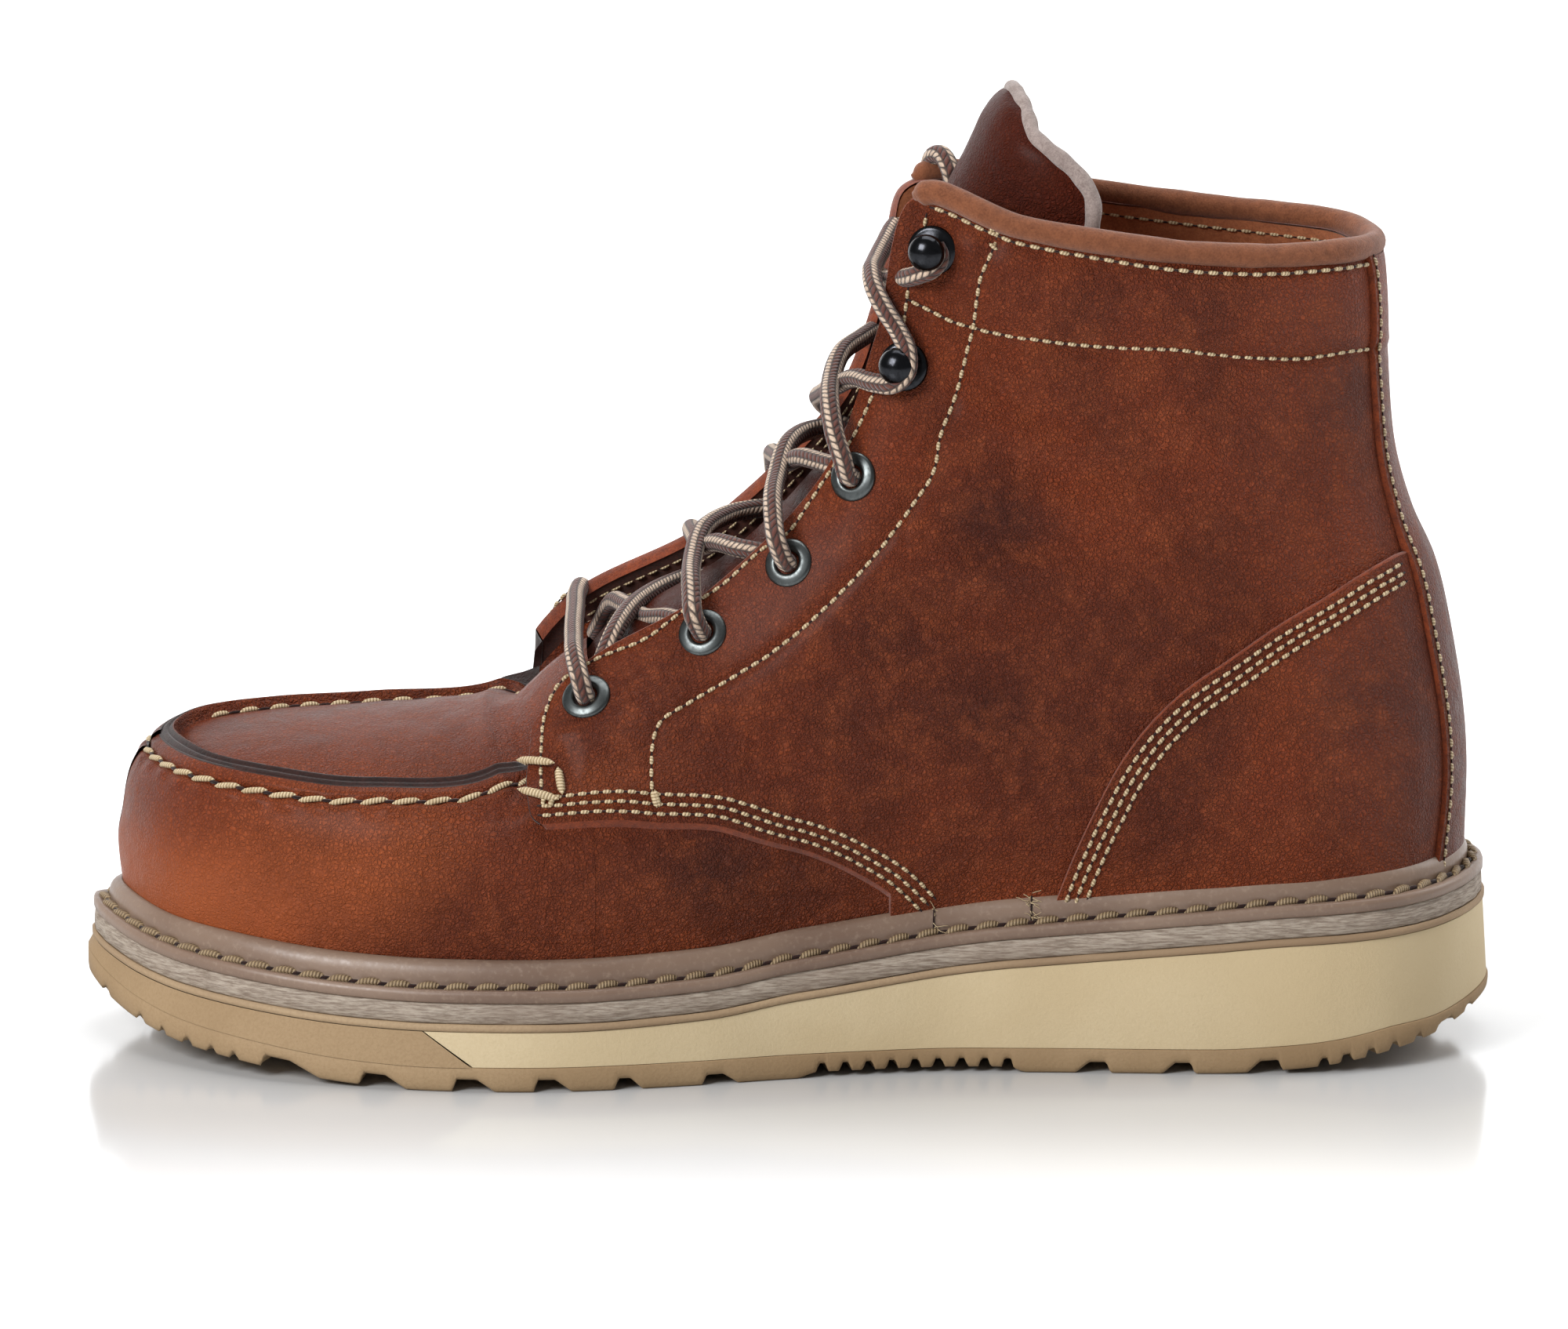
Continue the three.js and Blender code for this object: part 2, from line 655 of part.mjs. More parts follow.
const wedgeBody = soleBody([
  flatRing(0.5, (x) => treadTop(x) + gap),
  flatRing(1.4, (x) => Math.max(wedgeTop(x), treadTop(x) + gap + 0.4)),
]);
const wedgeSolid = toSolid(wedgeBody).subtract(sideBlock(slantCorners(gap), -farY, farY));
const lipBody = soleBody([
  flatRing(1, (x) => wedgeTop(x) + gap),
  flatRing(1, (x) => seatHeight(x) - gap / 2),
]);
const midsoleBody = soleBody([
  flatRing(1.7, (x) => seatHeight(x) + gap / 2),
  flatRing(1.9, midsoleTop),
]);

// Welt: a flange that shows on the midsole and a rounded ridge against the leather
const flangeInset = 1.5;
const ridgeFoot = flangeInset + weltFlange;

/** Ring on the leather at the ridge's height, moved out from it and down from the ridge's top. */
const leatherRing = (out, down) => (turn) => {
  const side = turn <= Math.PI ? -1 : 1;
  const target = side < 0 ? turn : 2 * Math.PI - turn;
  const halve = (low, high, below) => {
    const middle = (low + high) / 2;
    if (high - low < 0.002) return middle;
    return below(middle) ? halve(middle, high, below) : halve(low, middle, below);
  };
  const round = halve(0, toeTip, (number) => footTurn(number) < target);
  const high = halve(0, 0.5, (share) => {
    const spot = upperPoint(round, share, side);
    return spot.z < ridgeTop(spot.x);
  });
  const point = upperPoint(round, high, side);
  const step = insetPoint(turn, -out).sub(insetPoint(turn, 0));
  return new THREE.Vector3(point.x + step.x, point.y + step.y, point.z - down);
};
const weltBody = soleBody([
  flatRing(flangeInset, (x) => midsoleTop(x) + gap),
  flatRing(flangeInset - 0.2, (x) => weltTop(x) - 0.5),
  flatRing(flangeInset + 0.4, weltTop),
  flatRing(ridgeFoot, weltTop),
  flatRing(ridgeFoot + 0.4, (x) => weltTop(x) + 0.62 * ridgeHeight),
  leatherRing(1.8, 0),
  leatherRing(2.5 * gap, 0.5),
  flatRing(featherInset - 1.5 * gap, (x) => midsoleTop(x) + gap),
], true);

const insoleBody = soleBody([
  flatRing(featherInset + upperWall + 3 * gap, featherHeight),
  flatRing(featherInset + upperWall + 3 * gap, (x) => featherHeight(x) + insoleThickness),
]);

// Everything below the ridge's top, which the overlays stop above
const footBlock = toSolid(soleBody([
  flatRing(-2 * featherInset, () => farDown),
  flatRing(-2 * featherInset, (x) => ridgeTop(x) + gap),
]));

/** Slot over the instep between the two throat edges, down to a section number. */
function throatSlot(end, shrink = 0) {
  const count = 14;
  const over = 24;
  const under = 22;
  const rows = Array.from({ length: count + 1 }, (_, i) => collarCorner + ((end - collarCorner) * i) / count);
  const points = [];
  const limit = throatWidth / 2;
  const row = (round, shift) => {
    const { centre, out } = instepFrame(Math.min(toeTip, round));
    const left = Math.min(limit, -upperPoint(round, 1, -1).y) - shrink;
    const right = Math.min(limit, upperPoint(round, 1, 1).y) - shrink;
    for (const [height, y] of [[-under, -left], [-under, right], [over, right], [over, -left]]) {
      const corner = centre.clone().addScaledVector(out, height);
      points.push(new THREE.Vector3(corner.x, y, corner.z + shift));
    }
  };
  row(rows[0], farUp / 4);
  rows.forEach((round) => row(round, 0));
  const loops = Array.from({ length: rows.length + 1 }, (_, i) => [0, 1, 2, 3].map((corner) => 4 * i + corner));
  const faces = loops.slice(1).flatMap((loop, i) => band(loops[i], loop));
  const [first] = loops;
  const final = loops[loops.length - 1];
  faces.push([first[0], first[2], first[1]], [first[0], first[3], first[2]]);
  faces.push([final[0], final[1], final[2]], [final[0], final[2], final[3]]);
  return toSolid(closedBody(points, faces));
}

/** Closed tube of round section along points. */
function tube(points, radius, sides, steps) {
  const section = new THREE.Shape(Array.from({ length: sides }, (_, i) => {
    const angle = (2 * Math.PI * i) / sides;
    return new THREE.Vector2(radius * Math.cos(angle), radius * Math.sin(angle));
  }));
  const path = new THREE.CatmullRomCurve3(points, false, 'centripetal');
  return new THREE.ExtrudeGeometry(section, { steps, extrudePath: path, bevelEnabled: false });
}

/** Turned piece standing on the quarter at a place, its axis square to the leather. */
function placeOnQuarter(geometry, place, side, height) {
  const point = upperPoint(place.round, place.high, side);
  const normal = upperNormal(place.round, place.high, side);
  const turn = new THREE.Quaternion().setFromUnitVectors(new THREE.Vector3(0, 1, 0), normal);
  geometry.applyQuaternion(turn);
  const foot = point.addScaledVector(normal, height);
  geometry.translate(foot.x, foot.y, foot.z);
  return geometry;
}

const turnedSides = 8;
const turned = (profile) =>
  new THREE.LatheGeometry(profile.map(([radius, height]) => new THREE.Vector2(radius, height)), turnedSides);

// The upper's pieces
const outerSkin = bootForm(0, 0, true);
const innerSkin = bootForm(-upperWall, 2 * upperWall, true);
const slot = throatSlot(throatEnd);
const quarterSlot = throatSlot(throatEnd + 1.3);
const sides = { outer: -1, inner: 1 };
const seatLift = quarterThickness + 3 * gap + 0.3;

const drill = (diameter, place, side) => {
  const pin = new THREE.CylinderGeometry(diameter / 2, diameter / 2, 2 * drillReach, turnedSides);
  return toSolid(placeOnQuarter(pin, place, side, 0));
};
const holes = {};
for (const [name, side] of Object.entries(sides)) {
  holes[name] = eyeletPlaces
    .map((place) => drill(eyeletBarrel + 2 * gap, place, side))
    .reduce((all, one) => all.add(one));
}

const upperSolid = outerSkin.subtract(innerSkin).subtract(slot).subtract(holes.outer).subtract(holes.inner);

/** Layer of the upper between two offsets. */
const layer = (from, thickness) => bootForm(from + thickness).subtract(bootForm(from, 3 * gap));

const counterPoints = patternLine(counterLine, 14);
const counterCorners = (shift) => [
  ...counterPoints.map((point) => new THREE.Vector2(point.x - shift, point.y + shift)),
  new THREE.Vector2(farX, farUp / 2),
  new THREE.Vector2(farX, farDown),
];
const halfStay = backstayWidth / 2;
const sideSpan = (side) => (side < 0 ? [-farY, 0] : [0, farY]);
const stayBlock = (half) => {
  const shape = new THREE.Shape([
    new THREE.Vector2(-0.86 * half, collarHeight + 5),
    new THREE.Vector2(-half, shaftHeight / 2),
    new THREE.Vector2(-1.15 * half, 0),
    new THREE.Vector2(1.15 * half, 0),
    new THREE.Vector2(half, shaftHeight / 2),
    new THREE.Vector2(0.86 * half, collarHeight + 5),
  ]);
  const block = new THREE.ExtrudeGeometry(shape, { depth: soleLength / 2, bevelEnabled: false });
  block.rotateX(Math.PI / 2);
  block.rotateZ(Math.PI / 2);
  block.translate(0.26 * soleLength, 0, 0);
  return toSolid(block);
};
const counterSolid = (side) => layer(gap, counterThickness)
  .intersect(sideBlock(counterCorners(0), ...sideSpan(side)))
  .subtract(footBlock)
  .subtract(stayBlock(halfStay + gap));
const backstaySolid = layer(gap, backstayThickness).intersect(stayBlock(halfStay)).subtract(footBlock);

const quarterCorners = [
  ...patternLine(quarterLine, 22),
  new THREE.Vector2(soleLength * (0.5 - 0.678), farUp),
  new THREE.Vector2(farX, farUp),
  new THREE.Vector2(farX, farDown),
  new THREE.Vector2(soleLength * (0.5 - 0.404), farDown),
];
const cuffCorners = [
  ...patternLine(cuffLine, 12),
  new THREE.Vector2(farX, farUp),
];
const plainLayer = layer(gap, quarterThickness);
const cuffLayer = layer(gap, cuffThickness).intersect(sideBlock(cuffCorners, -farY, farY));

function quarterSolid(name) {
  const pattern = sideBlock(quarterCorners, ...sideSpan(sides[name]));
  return plainLayer.add(cuffLayer).intersect(pattern)
    .subtract(sideBlock(counterCorners(gap), -farY, farY))
    .subtract(stayBlock(halfStay + gap))
    .subtract(quarterSlot)
    .subtract(footBlock)
    .subtract(holes[name]);
}

// Binding roll round the collar, from one throat corner to the other
function bindingBody() {
  const height = bindingThickness / 2 + 3 * gap;
  const lean = (cuffThickness - upperWall) / 2;
  const spot = (round, side) => {
    const point = upperPoint(round, 1, side);
    const out = upperNormal(Math.max(0.05, round), 0.99, side);
    out.z = 0;
    point.addScaledVector(out.normalize(), lean);
    point.z += height;
    return point;
  };
  const rounds = [5.75, 5.3, 4.7, 4, 3, 2, 1.3, 0.6];
  const path = [
    ...rounds.map((round) => spot(round, -1)),
    spot(0, -1),
    ...rounds.map((round) => spot(round, 1)).reverse(),
  ];
  return tube(path, bindingThickness / 2, 6, 28);
}

// Tongue: a padded sheet bent round the instep
function tongueSolid() {
  const count = 8;
  const rows = 13;
  const rowNumbers = tongueRows.at.map((at, i) => i);
  const curve = (column) => curveThrough(rowNumbers, tongueRows[column]);
  const [at, up, wide, deep, flat] = ['at', 'up', 'wide', 'deep', 'flat'].map(curve);
  const centre = (row) => new THREE.Vector3(soleLength * (0.5 - at(row)), 0, tongueTip * up(row));
  const level = new THREE.Vector3(1, 0, 0);
  const points = [];
  const face = (depth) => {
    for (let i = 0; i <= rows; i += 1) {
      const row = ((rowNumbers.length - 1) * i) / rows;
      const along = centre(row + 0.05).sub(centre(row - 0.05)).normalize();
      const back = new THREE.Vector3(-along.z, 0, along.x).lerp(level, flat(row)).normalize();
      const thickness = depth * tongueThickness * Math.min(1, 0.45 + row);
      for (let k = 0; k <= count; k += 1) {
        const angle = (Math.PI / 2) * ((2 * k) / count - 1);
        const edge = 1 - 0.4 * Math.abs((2 * k) / count - 1) ** 6;
        const half = ballWidth * wide(row) - thickness * edge;
        const reach = ballWidth * deep(row) - thickness * edge;
        const point = centre(row).addScaledVector(back, ballWidth * deep(row) - reach * Math.cos(angle));
        point.y = half * Math.sin(angle);
        points.push(point);
      }
    }
  };
  face(0);
  face(1);
  const number = (layerNumber, i, k) => layerNumber * (rows + 1) * (count + 1) + i * (count + 1) + k;
  const faces = [];
  const quad = (a, b, c, d) => faces.push([a, b, c], [a, c, d]);
  for (let i = 0; i < rows; i += 1) {
    for (let k = 0; k < count; k += 1) {
      quad(number(0, i, k), number(0, i, k + 1), number(0, i + 1, k + 1), number(0, i + 1, k));
      quad(number(1, i, k), number(1, i + 1, k), number(1, i + 1, k + 1), number(1, i, k + 1));
    }
    quad(number(0, i, 0), number(0, i + 1, 0), number(1, i + 1, 0), number(1, i, 0));
    quad(number(0, i, count), number(1, i, count), number(1, i + 1, count), number(0, i + 1, count));
  }
  for (let k = 0; k < count; k += 1) {
    quad(number(0, 0, k), number(1, 0, k), number(1, 0, k + 1), number(0, 0, k + 1));
    quad(number(0, rows, k), number(0, rows, k + 1), number(1, rows, k + 1), number(1, rows, k));
  }
  const shaftSpace = bootForm(-upperWall - gap, tongueTip / 3, true);
  return toSolid(closedBody(points, faces)).intersect(shaftSpace);
}

// Eyelets and hooks
function eyeletBody() {
  const barrel = eyeletBarrel / 2;
  const hole = eyeletHole / 2;
  return turned([
    [hole, -3.4],
    [barrel, -3.4],
    [barrel, 0],
    [eyeletFlange / 2, 0],
    [eyeletFlange / 2 - 0.6, 0.7 * eyeletLip],
    [barrel - 0.2, eyeletLip],
    [hole, 0.5 * eyeletLip],
    [hole, -3.4],
  ]);
}

function hookBody() {
  const neck = hookNeck / 2;
  const dome = hookDome / 2;
  const domeFoot = hookStand - dome;
  return turned([
    [0, 0],
    [hookBase / 2, 0],
    [hookBase / 2 - 0.4, 1],
    [neck, 1.2],
    [neck, domeFoot],
    [dome, domeFoot + 0.8],
    [0.75 * dome, domeFoot + 0.7 * dome],
    [0, hookStand],
  ]);
}

// Lace: a bar at the lowest eyelets and a crossing above each pair of eyelets
const lacePlaces = [...eyeletPlaces, ...hookPlaces];
const laceLift = seatLift + eyeletLip + 2 * gap + laceThickness / 2;
const lacePause = (place) => (eyeletPlaces.includes(place) ? 0.13 : 0.34);

function laceOver(round, high, side, lift) {
  return upperPoint(round, high, side).addScaledVector(upperNormal(round, high, side), lift);
}

function laceStrand(from, to, side) {
  const start = from.round - lacePause(from);
  const end = to.round + lacePause(to);
  const span = end - start;
  const middle = instepFrame(start + span / 2);
  const lift = ballWidth * crownCurve(start + span / 2) + laceThickness;
  return toSolid(tube([
    laceOver(start, 0.92, side, laceLift),
    laceOver(start + 0.2 * span, 1, side, laceLift + 3 * gap),
    middle.centre.addScaledVector(middle.out, lift),
    laceOver(end - 0.2 * span, 1, -side, laceLift + 3 * gap),
    laceOver(end, 0.92, -side, laceLift),
  ], laceThickness / 2, 6, 5));
}

function laceBar() {
  const round = lacePlaces[0].round + lacePause(lacePlaces[0]);
  const middle = instepFrame(round);
  const lift = ballWidth * crownCurve(round) + laceThickness;
  return tube([
    laceOver(round, 0.92, -1, laceLift),
    laceOver(round, 1, -1, laceLift),
    middle.centre.addScaledVector(middle.out, lift),
    laceOver(round, 1, 1, laceLift),
    laceOver(round, 0.92, 1, laceLift),
  ], laceThickness / 2, 6, 5);
}

// Finishes
const finish = (color, roughness, metalness = 0) => new THREE.MeshStandardMaterial({ color, roughness, metalness });
const leather = finish(0x8a3a1c, 0.5);
const bindingLeather = finish(0x6a3a22, 0.85);
const lining = finish(0x5a3424, 0.9);
const treadRubber = finish(0xa58a68, 0.8);
const wedgeRubber = finish(0xd8c594, 0.75);
const lipRubber = finish(0xb09a76, 0.8);
const midsoleRubber = finish(0x9a8f80, 0.9);
const weltRubber = finish(0x8a7666, 0.6);
const blackMetal = finish(0x1c1d1f, 0.3, 1);
const laceCord = finish(0x7a5a48, 0.9);

const boot = new THREE.Group();
function addPiece(name, geometry, material) {
  const mesh = new THREE.Mesh(geometry, material);
  mesh.name = name;
  boot.add(mesh);
}

addPiece('outsole', toGeometry(outsoleSolid), treadRubber);
addPiece('wedge', toGeometry(wedgeSolid), wedgeRubber);
addPiece('wedge_lip', lipBody, lipRubber);
addPiece('midsole', midsoleBody, midsoleRubber);
addPiece('welt', weltBody, weltRubber);
addPiece('insole', insoleBody, lining);
addPiece('upper', toGeometry(upperSolid), leather);
addPiece('backstay', toGeometry(backstaySolid), leather);
addPiece('collar_binding', bindingBody(), bindingLeather);
addPiece('tongue', toGeometry(tongueSolid()), leather);
for (const [name, side] of Object.entries(sides)) {
  addPiece(`quarter_${name}`, toGeometry(quarterSolid(name)), leather);
  addPiece(`counter_${name}`, toGeometry(counterSolid(side)), leather);
  eyeletPlaces.forEach((place, i) => {
    addPiece(`eyelet_${name}_${i + 1}`, placeOnQuarter(eyeletBody(), place, side, seatLift), blackMetal);
  });
  hookPlaces.forEach((place, i) => {
    addPiece(`hook_${name}_${i + 1}`, placeOnQuarter(hookBody(), place, side, seatLift), blackMetal);
  });
}
addPiece('lace_bar', laceBar(), laceCord);
lacePlaces.slice(1).forEach((place, i) => {
  const crossing = laceStrand(lacePlaces[i], place, -1).add(laceStrand(lacePlaces[i], place, 1));
  addPiece(`lace_cross_${i + 1}`, toGeometry(crossing), laceCord);
});

// The origin is the middle of the footprint, on the floor
const middle = new THREE.Box3().setFromObject(boot).getCenter(new THREE.Vector3());
boot.position.set(-middle.x, -middle.y, 0);

export default boot;
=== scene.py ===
"""Left work boot with a moc toe, a stitched storm welt and a wedge sole.

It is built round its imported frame.

Shapes are worked out in millimetres from the same sizes and tables as the solid model: toe to -X,
heel to +X, outer side to -Y, floor at Z 0. Meshes are written in metres.
"""

from __future__ import annotations

import logging
import math
from dataclasses import dataclass, field
from typing import Callable, Sequence

import bpy
import mathutils
import numpy as np
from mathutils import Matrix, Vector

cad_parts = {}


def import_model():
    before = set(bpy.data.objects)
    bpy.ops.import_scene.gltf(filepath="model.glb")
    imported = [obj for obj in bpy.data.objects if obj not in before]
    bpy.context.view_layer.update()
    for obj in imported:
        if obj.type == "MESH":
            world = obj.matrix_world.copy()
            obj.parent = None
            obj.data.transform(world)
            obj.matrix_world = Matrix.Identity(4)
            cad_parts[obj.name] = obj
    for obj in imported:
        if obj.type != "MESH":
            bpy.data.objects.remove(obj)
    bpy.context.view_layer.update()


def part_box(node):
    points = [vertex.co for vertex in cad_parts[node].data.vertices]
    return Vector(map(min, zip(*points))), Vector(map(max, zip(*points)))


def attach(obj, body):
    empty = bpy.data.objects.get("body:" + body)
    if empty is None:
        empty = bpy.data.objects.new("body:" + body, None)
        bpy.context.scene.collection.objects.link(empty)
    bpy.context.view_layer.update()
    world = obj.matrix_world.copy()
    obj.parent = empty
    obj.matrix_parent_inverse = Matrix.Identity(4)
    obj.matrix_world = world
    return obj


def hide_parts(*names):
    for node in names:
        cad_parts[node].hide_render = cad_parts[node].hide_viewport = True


LOG = logging.getLogger("boot")
Colour = Sequence[float]
Feed = "bpy.types.NodeSocket | float | Sequence[float]"
MM = 0.001

SOLE_LENGTH = 310.0
BALL_WIDTH = 113.0
FORE_HEIGHT = 15.0
HEEL_HEIGHT = 30.4
TOE_SPRING = 13.0
HEEL_SPRING = 11.0
TREAD = 5.5
WAIST_RISE = 1.2
LIP = 1.8
MIDSOLE = 4.6
WELT = 2.8
RIDGE = 5.6
FLANGE_INSET = 1.5
WELT_FLANGE = 3.2
FEATHER_INSET = 9.0
TOE_BLOCK_LENGTH = 75.0
TOE_BLOCK_SLANT = 11.0

VAMP_HEIGHT = 66.0
SHAFT_HEIGHT = 181.5
BIG_TOE_LIFT = 5.0
WALL = 2.2
BINDING = 5.6
RIM_HEIGHT = 3.0
GAP = 0.3
TONGUE_TIP = 214.0
TONGUE_THICKNESS = 4.5
COLLAR_HEIGHT = SHAFT_HEIGHT - BINDING - 3 * GAP
COLLAR_CORNER = 6.0
THROAT_END = 10.35
TOE_TIP = 15.0

QUARTER_TOP = 1.4
COUNTER_TOP = 2.5
STAY_TOP = 2.6
LACE_RADIUS = 2.15


def table(names: Sequence[str], rows: Sequence[Sequence[float]]) -> dict[str, np.ndarray]:
    """Name the columns of a short table."""
    return {name: np.array([row[i] for row in rows], float) for i, name in enumerate(names)}


# The sole seen from below. at: share of the length from the heel; outer, inner: shares of
# BALL_WIDTH.
SOLE_OUTLINE = table(
    ("at", "outer", "inner"),
    (
        (0, 0, 0),
        (0.016, 0.168, 0.164),
        (0.04, 0.261, 0.255),
        (0.077, 0.332, 0.323),
        (0.113, 0.358, 0.345),
        (0.2, 0.367, 0.354),
        (0.335, 0.354, 0.287),
        (0.39, 0.354, 0.276),
        (0.445, 0.378, 0.294),
        (0.503, 0.412, 0.336),
        (0.558, 0.456, 0.389),
        (0.674, 0.516, 0.468),
        (0.748, 0.506, 0.474),
        (0.806, 0.473, 0.451),
        (0.887, 0.381, 0.389),
        (0.929, 0.29, 0.325),
        (0.961, 0.195, 0.25),
        (0.984, 0.09, 0.168),
        (1, -0.058, 0.058),
    ),
)
# Heights along the sole. toe, heel: shares of the springs; rise: share of the way from FORE_HEIGHT
# to HEEL_HEIGHT; tread: share of TREAD; waist: share of WAIST_RISE.
SOLE_HEIGHTS = table(
    ("at", "toe", "heel", "rise", "tread", "waist"),
    (
        (0, 0, 1, 1, 0.5, 0),
        (0.039, 0, 0.59, 1, 0.75, 0),
        (0.077, 0, 0.355, 1, 1, 0),
        (0.113, 0, 0.17, 0.995, 1, 0),
        (0.145, 0, 0.08, 0.98, 1, 0),
        (0.2, 0, 0, 0.9, 1, 0),
        (0.33, 0, 0, 0.675, 1, 0),
        (0.345, 0, 0, 0.65, 1, 1),
        (0.478, 0, 0, 0.3, 1, 1),
        (0.495, 0, 0, 0.26, 1, 0),
        (0.558, 0, 0, 0.08, 1, 0),
        (0.66, 0, 0, 0, 1, 0),
        (0.748, 0, 0, 0, 1, 0),
        (0.806, 0.054, 0, 0, 1, 0),
        (0.887, 0.254, 0, 0, 1, 0),
        (0.929, 0.37, 0, 0, 1, 0),
        (0.961, 0.56, 0, 0, 1, 0),
        (0.984, 0.77, 0, 0, 1, 0),
        (1, 1, 0, 0, 1, 0),
    ),
)
TOE_SEAT_SHARE = 0.62
HEEL_SEAT_SHARE = 0.24

# Sections of the upper from the heel seam (row 0) round to the toe tip (row 15), for both sides.
# foot: share of the sole's length; grow: share of the way from VAMP_HEIGHT to the collar; lift:
# share of BIG_TOE_LIFT; crown: share of BALL_WIDTH.
SECTIONS = table(
    ("foot", "grow", "lift", "crown"),
    (
        (0, 1, 0, 0),
        (0.04, 1.002, 0, 0),
        (0.116, 1.004, 0, 0),
        (0.18, 1.012, 0, 0),
        (0.245, 1.028, 0, 0),
        (0.306, 1.068, 0, 0),
        (0.361, 1.123, 0, 0),
        (0.426, 0.885, 0, 0.018),
        (0.484, 0.602, 0, 0.044),
        (0.555, 0.36, 0, 0.06),
        (0.645, 0.2, 0.2, 0.055),
        (0.706, 0.008, 0.9, 0.075),
        (0.8, -0.019, 1.1, 0.06),
        (0.894, -0.009, 0.9, 0.044),
        (0.958, 0, 0.6, 0.02),
        (1, 0.002, 0.2, 0),
    ),
)
# Rings of the upper, one row for each section. at: share of the length; up: share of the way from
# the sole to the section's top; outer, inner: shares of BALL_WIDTH.
RING_COLUMNS = ("at", "up", "outer", "inner")
RINGS = (
    table(
        RING_COLUMNS,
        (
            (0.028, 0.191, 0, 0),
            (0.055, 0.19, 0.208, 0.205),
            (0.116, 0.178, 0.297, 0.286),
            (0.179, 0.176, 0.31, 0.291),
            (0.242, 0.174, 0.309, 0.277),
            (0.303, 0.163, 0.303, 0.253),
            (0.358, 0.154, 0.3, 0.243),
            (0.424, 0.165, 0.318, 0.25),
            (0.484, 0.2, 0.348, 0.285),
            (0.555, 0.25, 0.406, 0.34),
            (0.648, 0.3, 0.451, 0.403),
            (0.706, 0.385, 0.456, 0.42),
            (0.795, 0.38, 0.42, 0.396),
            (0.881, 0.365, 0.321, 0.327),
            (0.945, 0.34, 0.177, 0.215),
            (0.977, 0.35, -0.053, 0.053),
        ),
    ),
    table(
        RING_COLUMNS,
        (
            (0.044, 0.448, 0, 0),
            (0.068, 0.448, 0.173, 0.173),
            (0.132, 0.44, 0.261, 0.255),
            (0.187, 0.44, 0.288, 0.279),
            (0.242, 0.434, 0.304, 0.292),
            (0.297, 0.427, 0.317, 0.301),
            (0.352, 0.41, 0.326, 0.308),
            (0.418, 0.48, 0.335, 0.319),
            (0.481, 0.52, 0.358, 0.341),
            (0.555, 0.556, 0.389, 0.363),
            (0.65, 0.58, 0.425, 0.396),
            (0.708, 0.645, 0.441, 0.414),
            (0.796, 0.655, 0.407, 0.388),
            (0.882, 0.615, 0.315, 0.323),
            (0.946, 0.58, 0.173, 0.211),
            (0.974, 0.58, -0.053, 0.053),
        ),
    ),
    table(
        RING_COLUMNS,
        (
            (0.078, 0.711, 0, 0),
            (0.095, 0.711, 0.155, 0.155),
            (0.152, 0.717, 0.23, 0.23),
            (0.194, 0.72, 0.261, 0.261),
            (0.245, 0.721, 0.274, 0.274),
            (0.3, 0.71, 0.283, 0.283),
            (0.355, 0.693, 0.279, 0.279),
            (0.421, 0.79, 0.261, 0.261),
            (0.479, 0.775, 0.288, 0.283),
            (0.555, 0.815, 0.305, 0.296),
            (0.652, 0.8, 0.358, 0.345),
            (0.708, 0.86, 0.398, 0.381),
            (0.797, 0.875, 0.374, 0.357),
            (0.877, 0.85, 0.295, 0.299),
            (0.937, 0.84, 0.163, 0.192),
            (0.9655, 0.84, -0.051, 0.051),
        ),
    ),
    table(
        RING_COLUMNS,
        (
            (0.086, 1, 0, 0),
            (0.105, 1, 0.15, 0.15),
            (0.152, 1, 0.226, 0.226),
            (0.197, 1, 0.255, 0.255),
            (0.248, 1, 0.268, 0.268),
            (0.335, 1, 0.255, 0.255),
            (0.413, 1, 0.181, 0.181),
            (0.434, 1, 0.186, 0.186),
            (0.471, 1, 0.199, 0.199),
            (0.552, 1, 0.217, 0.212),
            (0.645, 1, 0.243, 0.243),
            (0.706, 1, 0.327, 0.31),
            (0.795, 1, 0.321, 0.292),
            (0.866, 1, 0.265, 0.243),
            (0.921, 1, 0.15, 0.177),
            (0.947, 1, -0.049, 0.049),
        ),
    ),
)
RING_LEVELS = np.array([0, 0.2, 0.5, 0.78, 1])

# The tongue's sections from its tip down. at: share of SOLE_LENGTH; up: share of TONGUE_TIP; wide,
# deep: shares of BALL_WIDTH; flat: 1 for a level section.
TONGUE_ROWS = table(
    ("at", "up", "wide", "deep", "flat"),
    (
        (0.345, 1, 0.03, 0.01, 1),
        (0.353, 0.987, 0.105, 0.065, 1),
        (0.363, 0.966, 0.15, 0.12, 1),
        (0.369, 0.947, 0.19, 0.18, 1),
        (0.376, 0.925, 0.213, 0.245, 1),
        (0.387, 0.893, 0.226, 0.305, 1),
        (0.399, 0.841, 0.23, 0.32, 0.9),
        (0.412, 0.794, 0.233, 0.31, 0.75),
        (0.43, 0.72, 0.236, 0.28, 0.5),
        (0.468, 0.618, 0.243, 0.23, 0.2),
        (0.542, 0.503, 0.253, 0.17, 0),
        (0.632, 0.424, 0.263, 0.12, 0),
        (0.684, 0.365, 0.268, 0.09, 0),
    ),
)

# Places of the eyelets and hooks on both quarters: section number and share up the section.
EYELETS = ((9.9, 0.89), (9.06, 0.89), (8.32, 0.89), (7.56, 0.88))
HOOKS = ((6.74, 0.9), (5.9, 0.96))


# Curves and small vector helpers


